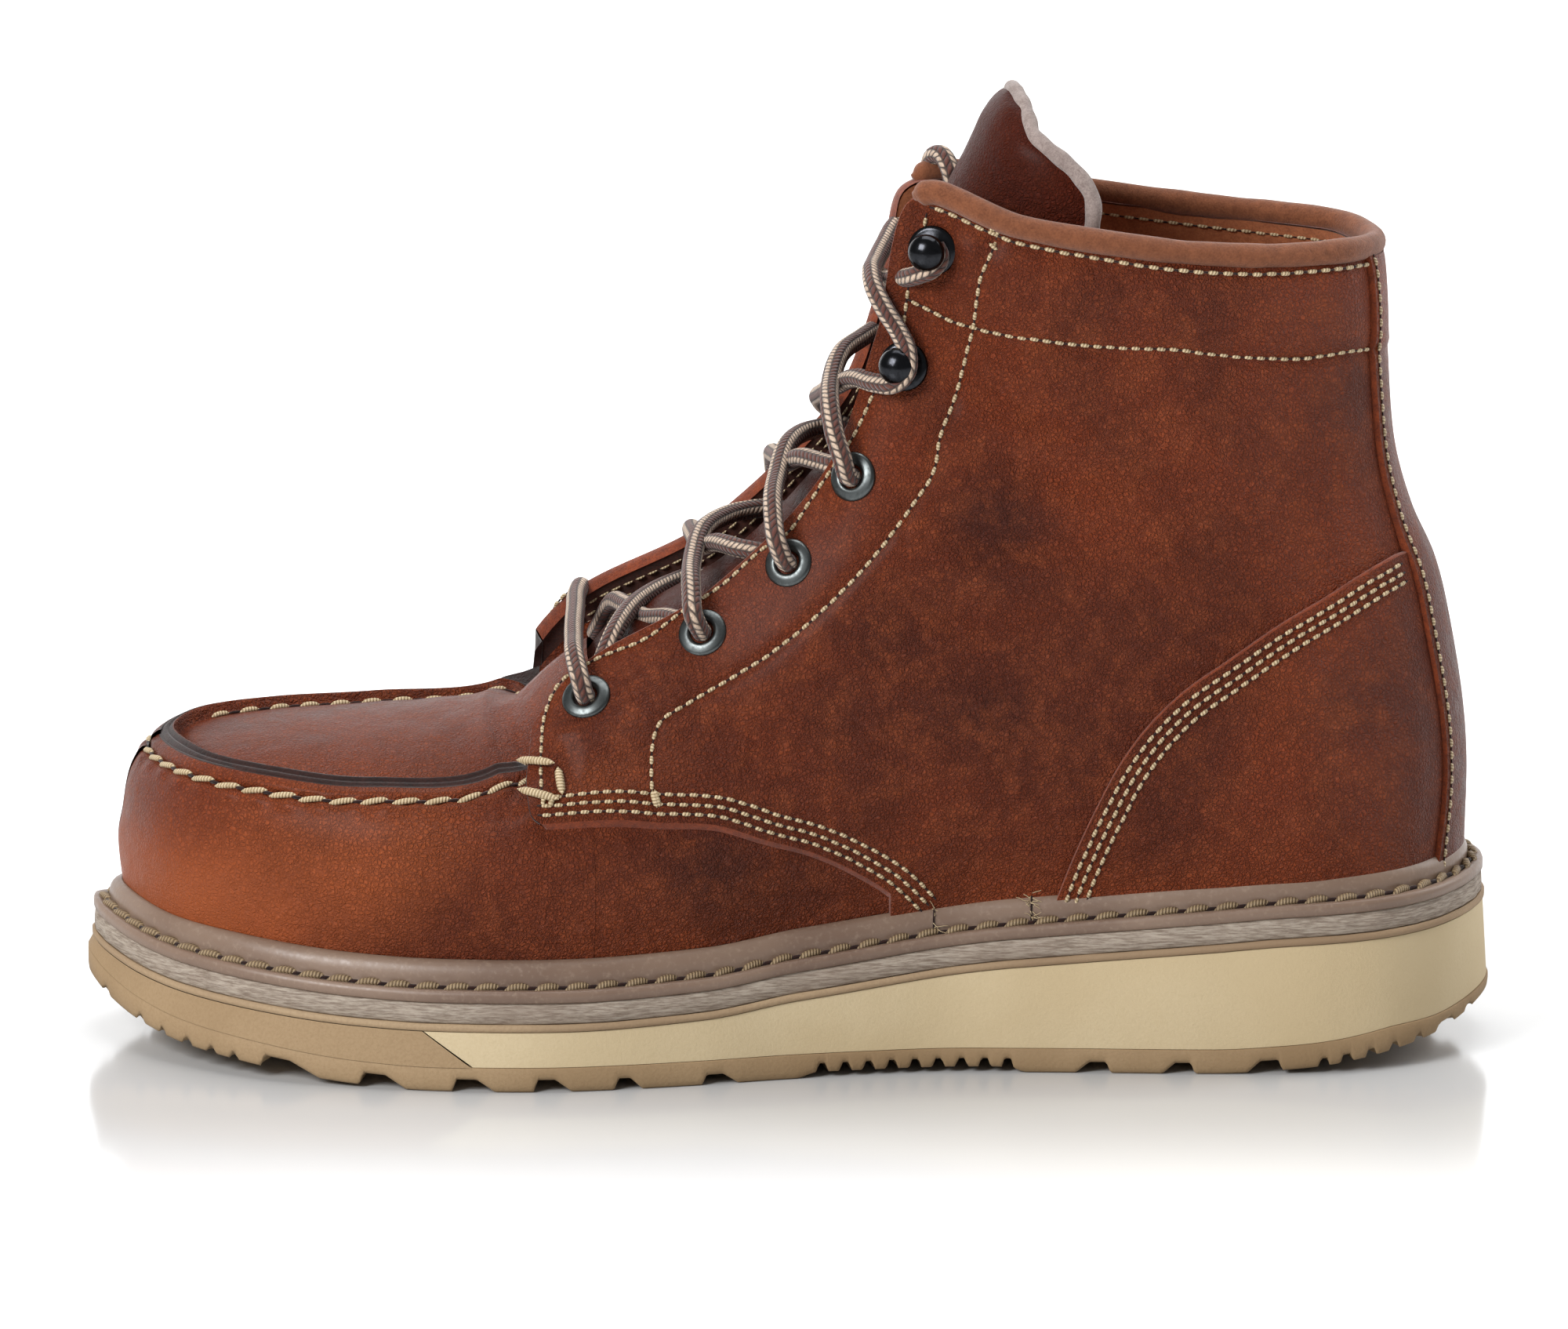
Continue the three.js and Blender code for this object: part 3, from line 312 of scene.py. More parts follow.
class Curve:
    """Smooth curve through values at keys; a level one has no swell past its values."""

    def __init__(self, keys: Sequence[float], values: Sequence[float], level: bool = False) -> None:
        """Keep the keys, the values and the slopes between them.

        Args:
            keys: Rising keys.
            values: Values at the keys.
            level: Whether the curve keeps from swelling past its values.
        """
        self.keys = np.asarray(keys, float)
        self.values = np.asarray(values, float)
        self.steps = np.diff(self.keys)
        rises = np.diff(self.values) / self.steps
        before, after = rises[:-1], rises[1:]
        if level:
            turning = before * after <= 0
            safe = np.where(turning, 1, before + after)
            inner = np.where(turning, 0, 2 * before * after / safe)
        else:
            inner = (
                before * self.steps[1:] + after * self.steps[:-1]
            ) / (self.steps[1:] + self.steps[:-1])
        self.slopes = np.concatenate([rises[:1], inner, rises[-1:]])

    def __call__(self, key: np.ndarray | float) -> np.ndarray:
        """Smooth value at each key.

        Args:
            key: Keys to read at.

        Returns:
            Value at each key.
        """
        key = np.asarray(key, float)
        i = np.clip(np.searchsorted(self.keys, key) - 1, 0, len(self.steps) - 1)
        step = self.steps[i]
        u = (key - self.keys[i]) / step
        return hermite(
            u, step, self.values[i], self.values[i + 1], self.slopes[i], self.slopes[i + 1]
        )


def hermite(
    u: np.ndarray,
    step: np.ndarray,
    low: np.ndarray,
    high: np.ndarray,
    slope_low: np.ndarray,
    slope_high: np.ndarray,
) -> np.ndarray:
    """Cubic between two values with given slopes, at share u of the step.

    Args:
        u: Share of the step.
        step: Length of the step.
        low: Value at the start of the step.
        high: Value at the end of the step.
        slope_low: Slope at the start.
        slope_high: Slope at the end.

    Returns:
        Value at the share.
    """
    v = 1 - u
    swell = step * u * v * (slope_low * v - slope_high * u)
    return low * (1 + 2 * u) * v * v + high * u * u * (3 - 2 * u) + swell


def smooth_step(value: np.ndarray) -> np.ndarray:
    """Soft step from 0 to 1."""
    share = np.clip(value, 0, 1)
    return share * share * (3 - 2 * share)


def bump(distance: np.ndarray, width: float) -> np.ndarray:
    """Soft bell of height 1, down to 0.37 at one width away."""
    return np.exp(-((distance / width) ** 2))


def unit(vectors: np.ndarray) -> np.ndarray:
    """Vectors of length 1."""
    return vectors / np.maximum(np.linalg.norm(vectors, axis=-1, keepdims=True), 1e-9)


def smooth_path(points: Sequence[Sequence[float]], count: int) -> np.ndarray:
    """Evenly spaced points on a smooth line through the given ones.

    Args:
        points: Points, three numbers each.
        count: How many points.

    Returns:
        The points, count of them.
    """
    knots = np.asarray(points, float)
    run = np.concatenate([[0], np.cumsum(np.linalg.norm(np.diff(knots, axis=0), axis=1))])
    curves = [Curve(run, knots[:, axis]) for axis in range(knots.shape[1])]
    fine = np.linspace(0, run[-1], 12 * len(knots))
    dense = np.stack([curve(fine) for curve in curves], -1)
    length = np.concatenate([[0], np.cumsum(np.linalg.norm(np.diff(dense, axis=0), axis=1))])
    even = np.linspace(0, length[-1], count)
    return np.stack([np.interp(even, length, dense[:, axis]) for axis in range(knots.shape[1])], -1)


def path_length(points: np.ndarray) -> float:
    """Length of a line of points."""
    return float(np.linalg.norm(np.diff(points, axis=0), axis=1).sum())


def line_distance(spots: np.ndarray, line: np.ndarray) -> tuple[np.ndarray, np.ndarray]:
    """Signed distance from plane spots to a line, and the share along the line of the nearest
    place.

    Args:
        spots: Places of the bodies or points.
        line: Points of a line.

    Returns:
        Distances and shares, one of each for a spot.
    """
    starts, ends = line[:-1], line[1:]
    steps = ends - starts
    squared = np.maximum((steps**2).sum(-1), 1e-9)
    best = np.full(len(spots), np.inf)
    sign = np.ones(len(spots))
    share = np.zeros(len(spots))
    for i in range(len(steps)):
        offset = spots - starts[i]
        along = np.clip((offset @ steps[i]) / squared[i], 0, 1)
        off = offset - along[:, None] * steps[i]
        distance = np.hypot(off[:, 0], off[:, 1])
        nearer = distance < best
        best = np.where(nearer, distance, best)
        cross = steps[i, 0] * offset[:, 1] - steps[i, 1] * offset[:, 0]
        sign = np.where(nearer, np.sign(cross), sign)
        share = np.where(nearer, (i + along) / len(steps), share)
    return best * sign, share


# The sole's own form


def turn_at(share: np.ndarray) -> np.ndarray:
    """Turn round the outline at a share of the length, 0 at the heel and pi at the toe tip."""
    return np.arccos(1 - 2 * np.asarray(share, float))


class SoleForm:
    """Outline and heights of the sole."""

    def __init__(self) -> None:
        """Keep what the class works with."""
        turns = turn_at(SOLE_OUTLINE["at"])
        self.outer = Curve(turns, SOLE_OUTLINE["outer"])
        self.inner = Curve(turns, SOLE_OUTLINE["inner"])
        keys = SOLE_HEIGHTS["at"]
        self.columns = {
            name: Curve(keys, SOLE_HEIGHTS[name], level=True) for name in (
                "toe", "heel", "rise", "tread", "waist"
            )
        }

    def column(self, name: str, x: np.ndarray) -> np.ndarray:
        """Value of a column of the height table at x."""
        return self.columns[name](np.clip(0.5 - np.asarray(x) / SOLE_LENGTH, 0, 1))

    def outline(self, turn: np.ndarray) -> np.ndarray:
        """Point of the outline at a turn, outer side first.

        Args:
            turn: Turn round the outline.

        Returns:
            Points, two numbers each.
        """
        loop = np.mod(turn, 2 * np.pi)
        outer = loop <= np.pi
        along = np.where(outer, loop, 2 * np.pi - loop)
        x = SOLE_LENGTH / 2 * np.cos(along)
        y = np.where(outer, -BALL_WIDTH * self.outer(along), BALL_WIDTH * self.inner(along))
        return np.stack([x, y], -1)

    def inset(self, turn: np.ndarray, inset: np.ndarray | float) -> np.ndarray:
        """Point of the outline moved inwards, square to it.

        Args:
            turn: Turn round the outline.
            inset: Millimetres inwards.

        Returns:
            Points, two numbers each.
        """
        step = 0.02
        tangent = unit(self.outline(turn + step) - self.outline(turn - step))
        point = self.outline(turn)
        return np.stack(
            [point[..., 0] + tangent[..., 1] * inset, point[..., 1] - tangent[..., 0] * inset], -1
        )

    def even_turns(self, count: int) -> np.ndarray:
        """Turns that are evenly spaced round the outline.

        Args:
            count: How many points.

        Returns:
            The turns.
        """
        turns = np.linspace(0, 2 * np.pi, 4001)
        steps = np.linalg.norm(np.diff(self.outline(turns), axis=0), axis=1)
        run = np.concatenate([[0], np.cumsum(steps)])
        return np.interp(np.linspace(0, run[-1], count, endpoint=False), run, turns)

    def ground(self, x: np.ndarray) -> np.ndarray:
        """Height of the sole's underside."""
        springs = TOE_SPRING * self.column("toe", x) + HEEL_SPRING * self.column("heel", x)
        return springs + WAIST_RISE * self.column("waist", x)

    def tread_top(self, x: np.ndarray) -> np.ndarray:
        """Height of the joint between tread and wedge."""
        springs = TOE_SPRING * self.column("toe", x) + HEEL_SPRING * self.column("heel", x)
        return springs + TREAD * self.column("tread", x)

    def seat(self, x: np.ndarray) -> np.ndarray:
        """Height of the joint between lip and midsole.

        Args:
            x: Place along the sole.

        Returns:
            Height in millimetres.
        """
        springs = TOE_SEAT_SHARE * TOE_SPRING * self.column("toe", x)
        springs = springs + HEEL_SEAT_SHARE * HEEL_SPRING * self.column("heel", x)
        return FORE_HEIGHT + (HEEL_HEIGHT - FORE_HEIGHT) * self.column("rise", x) + springs

    def wedge_top(self, x: np.ndarray) -> np.ndarray:
        """Height of the joint between wedge and lip."""
        return self.seat(x) - LIP

    def midsole_top(self, x: np.ndarray) -> np.ndarray:
        """Height of the midsole's top."""
        return self.seat(x) + MIDSOLE

    def welt_top(self, x: np.ndarray) -> np.ndarray:
        """Height of the welt's flange."""
        return self.midsole_top(x) + WELT

    def ridge_top(self, x: np.ndarray) -> np.ndarray:
        """Height of the welt's ridge."""
        return self.welt_top(x) + RIDGE

    def ring(self, turn: np.ndarray, inset: np.ndarray | float, height: Callable) -> np.ndarray:
        """Ring round the outline at an inset, with its height taken from its place along the sole.
        """
        spot = self.inset(turn, inset)
        return np.stack([spot[..., 0], spot[..., 1], height(spot[..., 0]) + 0 * spot[..., 0]], -1)


# The upper's own form


class UpperForm:
    """Smooth form of the upper.

    Turn t runs from -15 to 15, below 0 on the outer side, 0 at the heel.
    """

    def __init__(self, sole: SoleForm) -> None:
        """Keep the sole's form and make the section curves.

        Args:
            sole: Form of the sole.
        """
        self.sole = sole
        numbers = np.arange(len(SECTIONS["foot"]))
        self.foot_turn = Curve(numbers, turn_at(SECTIONS["foot"]))
        loops = {name: self.even(SECTIONS[name]) for name in ("grow", "lift", "crown")}
        self.loops = loops
        self.rings = [
            {
                "at": self.even(ring["at"]),
                "up": self.even(ring["up"]),
                "y": self.sided(ring["outer"], ring["inner"]),
            }
            for ring in RINGS
        ]
        self.relief: Callable[[np.ndarray, np.ndarray], np.ndarray] | None = None

    @staticmethod
    def even(column: np.ndarray) -> Curve:
        """Curve over the whole loop that is the same on both sides."""
        values = np.concatenate([column[::-1], column[1:]])
        return UpperForm.looped(values)

    @staticmethod
    def sided(outer: np.ndarray, inner: np.ndarray) -> Curve:
        """Curve over the whole loop of a sideways place, outer side negative."""
        values = np.concatenate([-outer[::-1], inner[1:]])
        return UpperForm.looped(values)

    @staticmethod
    def looped(values: np.ndarray) -> Curve:
        """Curve over -15..15 whose two ends join smoothly at the toe tip.

        Args:
            values: Values from the back seam round.

        Returns:
            The curve.
        """
        count = len(values)
        keys = np.arange(count) - count // 2
        keys = np.concatenate([[keys[0] - 1], keys, [keys[-1] + 1]])
        values = np.concatenate([[values[-2]], values, [values[1]]])
        return Curve(keys, values)

    def top(self, t: np.ndarray) -> np.ndarray:
        """Height of the section's top edge."""
        return VAMP_HEIGHT + (COLLAR_HEIGHT - VAMP_HEIGHT) * self.loops["grow"](t)

    def point(self, t: np.ndarray, high: np.ndarray) -> np.ndarray:
        """Point of the smooth form; high is 0 at the sole and 1 at the edge.

        Args:
            t: Turn round the upper, 0 at the back seam.
            high: Share up the section, 0 at the sole and 1 at the edge.

        Returns:
            Points in millimetres.
        """
        t, high = np.broadcast_arrays(np.asarray(t, float), np.asarray(high, float))
        turn = self.foot_turn(np.abs(t))
        foot = self.sole.inset(np.where(t < 0, turn, -turn), FEATHER_INSET)
        bottom = self.sole.midsole_top(foot[..., 0]) + GAP
        top = self.top(t)
        knots = [np.stack([foot[..., 0], foot[..., 1], bottom], -1)]
        for ring in self.rings:
            up = ring["up"](t)
            lift = np.where(t > 0, BIG_TOE_LIFT * self.loops["lift"](t) * up, 0)
            spot = (
                SOLE_LENGTH * (0.5 - ring["at"](t)), BALL_WIDTH * ring["y"](t),
                bottom + up * (top - bottom) + lift
            )
            knots.append(np.stack(spot, -1))
        knots = np.stack(knots)
        steps = np.diff(RING_LEVELS)
        rises = np.diff(knots, axis=0) / steps.reshape(-1, *([1] * (knots.ndim - 1)))
        weights = steps.reshape(-1, *([1] * (knots.ndim - 1)))
        inner = (rises[:-1] * weights[1:] + rises[1:] * weights[:-1]) / (weights[1:] + weights[:-1])
        slopes = np.concatenate([rises[:1], inner, rises[-1:]])
        i = np.clip(np.searchsorted(RING_LEVELS, high) - 1, 0, len(steps) - 1)
        pick = lambda rows, shift=0: np.take_along_axis(rows, (i + shift)[None, ..., None], 0)[0]
        step = steps[i][..., None]
        u = (high - RING_LEVELS[i])[..., None] / step
        spot = hermite(u, step, pick(knots), pick(knots, 1), pick(slopes), pick(slopes, 1))
        spot[..., 2] += self.rim_lift(t) * smooth_step((high - 0.93) / 0.07)
        return spot

    @staticmethod
    def rim_lift(t: np.ndarray) -> np.ndarray:
        """Rise of the collar's edge under its binding: more on the outer side, none past the front
        corners.

        Args:
            t: Turn round the upper, 0 at the back seam.

        Returns:
            Rise in millimetres.
        """
        outer = smooth_step(0.5 - t / 1.2)
        inner_rise = 1.9 - 3.4 * smooth_step((t - 4.9) / 1.0)
        rise = 3.0 * outer + inner_rise * (1 - outer)
        rise = rise * (1 - 0.45 * np.exp(-((t / 0.8) ** 2)))
        return rise * smooth_step((6.35 - np.abs(t)) / 0.4)

    @staticmethod
    def sink(number: np.ndarray, across: np.ndarray | float = 0.0) -> np.ndarray:
        """Fall of the plug where it runs under the eyestays, less in its middle.

        Args:
            number: Number along the instep line.
            across: Share across the plug, 0 outer and 1 inner.

        Returns:
            Fall in millimetres.
        """
        past = np.maximum(0.0, 11.0 - number)
        fall = np.minimum(8.0, 20.0 * past**2 / (past + 0.1))
        return fall * (0.55 + 0.45 * np.abs(2 * across - 1))

    def normal(self, t: np.ndarray, high: np.ndarray) -> np.ndarray:
        """Outward direction of the smooth form.

        Args:
            t: Turn round the upper, 0 at the back seam.
            high: Share up the section, 0 at the sole and 1 at the edge.

        Returns:
            Directions of length 1.
        """
        step = 0.02
        along = self.point(t + step, high) - self.point(t - step, high)
        up = self.point(t, high + step) - self.point(t, high - step)
        return unit(np.cross(along, up))

    def surface(
        self, t: np.ndarray, high: np.ndarray, lift: np.ndarray | float = 0.0
    ) -> np.ndarray:
        """Point lifted off the form, with the leather's folds and swells.

        Args:
            t: Turn round the upper, 0 at the back seam.
            high: Share up the section, 0 at the sole and 1 at the edge.
            lift: Millimetres outwards.

        Returns:
            Points in millimetres.
        """
        t, high = np.broadcast_arrays(np.asarray(t, float), np.asarray(high, float))
        point = self.point(t, high)
        height = np.zeros(t.shape) + lift
        if self.relief is not None:
            height = height + self.relief(point, t, high)
        point = point + self.normal(t, high) * height[..., None]
        return point + self.flap(t, high)

    @staticmethod
    def flap(t: np.ndarray, high: np.ndarray) -> np.ndarray:
        """Shift of the inner eyestay, which stands up a little at the bottom of the throat.

        Args:
            t: Turn round the upper, 0 at the back seam.
            high: Share up the section, 0 at the sole and 1 at the edge.

        Returns:
            Shift in millimetres.
        """
        along = smooth_step((t - 7.2) / 1.2) * smooth_step((11.2 - t) / 0.8)
        lifted = along * smooth_step((high - 0.78) / 0.22) ** 1.3
        return np.stack([0 * lifted, 1.5 * lifted, 4.6 * lifted], -1)

    def crown(
        self, number: np.ndarray, across: np.ndarray, lift: np.ndarray | float = 0.0
    ) -> np.ndarray:
        """Point between the two edges; across is 0 at the outer edge and 1 at the inner.

        Args:
            number: Number along the instep line.
            across: Share across the plug, 0 outer and 1 inner.
            lift: Millimetres outwards.

        Returns:
            Points in millimetres.
        """
        number, across = np.broadcast_arrays(np.asarray(number, float), np.asarray(across, float))
        low, high = self.point(-number, 1.0), self.point(number, 1.0)
        swell = 1 - np.abs(2 * across - 1) ** 2.4
        point = low + (high - low) * across[..., None]
        out = self.instep_out(number)
        height = BALL_WIDTH * self.loops["crown"](number) * swell + lift
        return point + out * height[..., None]

    def instep_out(self, number: np.ndarray) -> np.ndarray:
        """Outward direction of the instep line in the plane of symmetry.

        Args:
            number: Number along the instep line.

        Returns:
            Directions of length 1.
        """
        step = 0.1
        after = np.minimum(TOE_TIP, number + step)
        before = np.maximum(COLLAR_CORNER, number - step)
        along = unit(self.edge_middle(after) - self.edge_middle(before))
        return np.stack([along[..., 2], 0 * along[..., 0], -along[..., 0]], -1)

    def edge_middle(self, number: np.ndarray) -> np.ndarray:
        """Middle between the two edges at a section."""
        return (self.point(-number, 1.0) + self.point(number, 1.0)) / 2


# The camera, and places read off the photograph


@dataclass
class Sight:
    """Camera of the photograph: a long lens at the boot's outer side, slightly from above."""

    elevation: float = 12.7
    roll: float = 0.0
    distance: float = 4500.0
    scale: float = 5.78
    target: tuple[float, float, float] = (-0.8, 0.0, 83.0)
    frame: tuple[float, float] = (2000.0, 1695.0)

    def axes(self) -> tuple[np.ndarray, np.ndarray, np.ndarray, np.ndarray]:
        """Camera place and its right, up and forward directions.

        Returns:
            The place and three directions.
        """
        tilt = math.radians(self.elevation)
        forward = np.array([0, math.cos(tilt), -math.sin(tilt)])
        up = np.array([0, math.sin(tilt), math.cos(tilt)])
        right = np.array([1.0, 0, 0])
        turn = math.radians(self.roll)
        cosine, sine = math.cos(turn), math.sin(turn)
        right, up = right * cosine + up * sine, up * cosine - right * sine
        return np.array(self.target) - forward * self.distance, right, up, forward

    def project(self, points: np.ndarray) -> np.ndarray:
        """Pixels of points.

        Args:
            points: Points, three numbers each.

        Returns:
            Two numbers for each point.
        """
        place, right, up, forward = self.axes()
        offset = np.asarray(points) - place
        scale = self.scale * self.distance / (offset @ forward)
        x = self.frame[0] / 2 + (offset @ right) * scale
        y = self.frame[1] / 2 - (offset @ up) * scale
        return np.stack([x, y], -1)

    def at_depth(self, pixels: np.ndarray, depth: np.ndarray) -> np.ndarray:
        """Points behind pixels at given places across the boot.

        Args:
            pixels: Places in the photograph's frame.
            depth: Place across the boot.

        Returns:
            Points in millimetres.
        """
        place, right, up, forward = self.axes()
        pixels = np.asarray(pixels, float)
        focal = self.scale * self.distance
        ray = (
            right * ((pixels[:, :1] - self.frame[0] / 2) / focal)
            - up * ((pixels[:, 1:2] - self.frame[1] / 2) / focal)
            + forward
        )
        reach = (np.asarray(depth, float) - place[1]) / ray[:, 1]
        return place + ray * reach[:, None]

    def on_upper(
        self, form: UpperForm, pixels: Sequence[Sequence[float]], count: int,
        lift: float = QUARTER_TOP
    ) -> np.ndarray:
        """Places (t, high) on the upper's outer side behind a smooth line of pixels.

        Args:
            form: Form of the upper.
            pixels: Pixels that the line passes through.
            count: How many points.
            lift: Millimetres outwards.

        Returns:
            Rows of t and high.
        """
        goal = smooth_path(pixels, count)
        turns, highs = np.meshgrid(np.linspace(-14.8, -0.15, 148), np.linspace(0.02, 1, 50))
        lifted = form.point(turns, highs) + form.normal(turns, highs) * lift
        seen = self.project(lifted).reshape(-1, 2)
        nearest = np.argmin(((goal[:, None] - seen[None]) ** 2).sum(-1), axis=1)
        place = np.stack([turns.ravel()[nearest], highs.ravel()[nearest]], -1)
        step = 0.01
        for _ in range(6):
            here = self.pixel(form, place, lift)
            by_turn = (self.pixel(form, place + [step, 0], lift) - here) / step
            by_high = (self.pixel(form, place + [0, step], lift) - here) / step
            miss = goal - here
            whole = by_turn[:, 0] * by_high[:, 1] - by_turn[:, 1] * by_high[:, 0]
            whole = np.where(np.abs(whole) < 1, 1, whole)
            turn = (miss[:, 0] * by_high[:, 1] - miss[:, 1] * by_high[:, 0]) / whole
            high = (by_turn[:, 0] * miss[:, 1] - by_turn[:, 1] * miss[:, 0]) / whole
            place = place + np.clip(np.stack([turn, high], -1), -0.15, 0.15)
            place[:, 1] = np.clip(place[:, 1], 0.0, 1.02)
            place[:, 0] = np.clip(place[:, 0], -14.95, -0.02)
        return place

    def pixel(self, form: UpperForm, place: np.ndarray, lift: float) -> np.ndarray:
        """Pixels of places on the upper."""
        turns, highs = place[:, 0], place[:, 1]
        return self.project(form.point(turns, highs) + form.normal(turns, highs) * lift)


# Meshes


@dataclass
class MeshMaker:
    """Collects grids in millimetres and writes them as one object in metres."""

    name: str
    shift: float
    points: list[np.ndarray] = field(default_factory=list)
    faces: list[np.ndarray] = field(default_factory=list)
    slots: list[np.ndarray] = field(default_factory=list)
    maps: list[np.ndarray] = field(default_factory=list)
    count: int = 0

    def add(
        self, points: np.ndarray, faces: np.ndarray, slot: int = 0, uv: np.ndarray | None = None
    ) -> None:
        """Add points and four-cornered faces that number them from 0.

        Args:
            points: Points, three numbers each.
            faces: Four numbers for each face.
            slot: Number of the material slot.
            uv: Flat coordinates of each point.
        """
        self.points.append(points.reshape(-1, 3))
        self.faces.append(faces + self.count)
        self.slots.append(np.full(len(faces), slot))
        flat = np.zeros((len(points.reshape(-1, 3)), 2)) if uv is None else uv.reshape(-1, 2)
        self.maps.append(flat)
        self.count += len(points.reshape(-1, 3))

    def grid(
        self,
        points: np.ndarray,
        slot: int = 0,
        outward: np.ndarray | None = None,
        close_rows: bool = False,
        close_columns: bool = False,
        uv: np.ndarray | None = None,
    ) -> None:
        """Add a grid of rows and columns, turned so that its faces look along the outward
        directions.

        Args:
            points: Points, three numbers each.
            slot: Number of the material slot.
            outward: Outward direction of each point.
            close_rows: Whether the last row joins the first.
            close_columns: Whether the last column joins the first.
            uv: Flat coordinates of each point.
        """
        rows, columns = points.shape[:2]
        faces = grid_faces(rows, columns, close_rows, close_columns)
        flat = points.reshape(-1, 3)
        if outward is not None:
            corners = flat[faces]
            facing = np.cross(corners[:, 2] - corners[:, 0], corners[:, 3] - corners[:, 1])
            wanted = np.broadcast_to(outward, points.shape).reshape(-1, 3)[faces].mean(1)
            if (facing * wanted).sum() < 0:
                faces = faces[:, ::-1]
        self.add(points, faces, slot, uv)

    def build(
        self, materials: Sequence[bpy.types.Material], merge: float = 0.0
    ) -> bpy.types.Object:
        """Write the object; points closer than merge millimetres become one.

        Args:
            materials: Materials in the order of their slots.
            merge: Distance under which points are one, in millimetres.

        Returns:
            The object.
        """
        points = np.concatenate(self.points) + [0, self.shift, 0]
        faces = np.concatenate(self.faces)
        slots = np.concatenate(self.slots)
        maps = np.concatenate(self.maps)
        if merge > 0:
            cells = np.round(points / merge).astype(np.int64)
            _, first, number = np.unique(cells, axis=0, return_index=True, return_inverse=True)
            number = number.ravel()
            corner_maps = maps[faces]
            points, faces = points[first], number[faces]
        else:
            corner_maps = maps[faces]
        mesh = bpy.data.meshes.new(self.name)
        kept, kept_slots, kept_maps = [], [], []
        for face, slot, uv in zip(faces.tolist(), slots.tolist(), corner_maps.tolist()):
            corners = [i for i in range(4) if face[i] != face[i - 1]]
            if len(corners) < 3 or len({face[i] for i in corners}) < 3:
                continue
            kept.append([face[i] for i in corners])
            kept_slots.append(slot)
            kept_maps.extend(uv[i] for i in corners)
        mesh.from_pydata((points * MM).tolist(), [], kept)
        layer = mesh.uv_layers.new(name="run")
        layer.data.foreach_set("uv", np.array(kept_maps, np.float32).ravel())
        mesh.polygons.foreach_set("material_index", np.array(kept_slots, np.int32))
        mesh.polygons.foreach_set("use_smooth", np.ones(len(kept), bool))
        for material in materials:
            mesh.materials.append(material)
        mesh.validate()
        mesh.update()
        LOG.info("built %s: %d faces", self.name, len(kept))
        thing = bpy.data.objects.new(self.name, mesh)
        bpy.context.scene.collection.objects.link(thing)
        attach(thing, "root")
        return thing


def grid_faces(
    rows: int, columns: int, close_rows: bool = False, close_columns: bool = False
) -> np.ndarray:
    """Four-cornered faces of a grid, wrapped round in one or both ways.

    Args:
        rows: How many rows the grid has.
        columns: How many columns.
        close_rows: Whether the last row joins the first.
        close_columns: Whether the last column joins the first.

    Returns:
        Four point numbers for each face.
    """
    i, j = np.meshgrid(
        np.arange(rows if close_rows else rows - 1),
        np.arange(columns if close_columns else columns - 1), indexing="ij"
    )
    after, beside = (i + 1) % rows, (j + 1) % columns
    faces = np.stack(
        [i * columns + j, after * columns + j, after * columns + beside, i * columns + beside], -1
    )
    return faces.reshape(-1, 4)


def path_frames(points: np.ndarray, hint: np.ndarray) -> tuple[np.ndarray, np.ndarray, np.ndarray]:
    """Direction, first and second cross direction along a path, carried along without twisting.

    Args:
        points: Points, three numbers each.
        hint: Direction that the first cross direction starts from.

    Returns:
        Three directions at each point.
    """
    along = unit(np.gradient(points, axis=0))
    first = np.empty_like(points)
    current = hint - along[0] * (hint @ along[0])
    for i, direction in enumerate(along):
        current = current - direction * (current @ direction)
        current = current / max(np.linalg.norm(current), 1e-9)
        first[i] = current
    return along, first, np.cross(along, first)


def tube_grid(
    points: np.ndarray,
    radii: np.ndarray | float,
    sides: int,
    hint: Sequence[float] = (0.0, 0.0, 1.0),
    flat: float = 1.0,
) -> tuple[np.ndarray, np.ndarray]:
    """Round grid along a path, with the outward direction of each point; closed ends.

    Args:
        points: Points, three numbers each.
        radii: Radius at each point of the path.
        sides: How many faces round.
        hint: Direction that the first cross direction starts from.
        flat: Squash of the round section along its second cross direction.

    Returns:
        Grid of points and their outward directions.
    """
    along, first, second = path_frames(points, np.array(hint, float))
    angles = np.linspace(0, 2 * np.pi, sides, endpoint=False)
    round_way = np.cos(angles)[
        None, :, None
    ] * first[:, None] + flat * np.sin(angles)[None, :, None] * second[:, None]
    radii = np.broadcast_to(
        np.asarray(radii, float).reshape(-1, *([1] * 2)) if np.ndim(radii) else radii,
        (len(points), 1, 1)
    )
    grid = points[:, None] + round_way * radii
    start, end = points[:1, None] + 0 * grid[:1], points[-1:, None] + 0 * grid[:1]
    grid = np.concatenate([start, grid, end])
    outward = np.concatenate(
        [-along[:1, None] + 0 * round_way[:1], round_way, along[-1:, None] + 0 * round_way[:1]]
    )
    return grid, outward


def lathe_grid(
    profile: Sequence[Sequence[float]], sides: int, foot: np.ndarray, axis: np.ndarray
) -> np.ndarray:
    """Turned form of radius and height rows, standing at foot along axis.

    Args:
        profile: Rows of radius and height.
        sides: How many faces round.
        foot: Place of the lower end.
        axis: Direction that it stands along.

    Returns:
        Grid of points.
    """
    axis = axis / np.linalg.norm(axis)
    first = unit(np.cross(axis, [0.3, 0.1, 1.0]))
    second = np.cross(axis, first)
    angles = np.linspace(0, 2 * np.pi, sides, endpoint=False)
    ring = np.cos(angles)[:, None] * first + np.sin(angles)[:, None] * second
    return np.stack([foot + ring * radius + axis * height for radius, height in profile])


# Materials


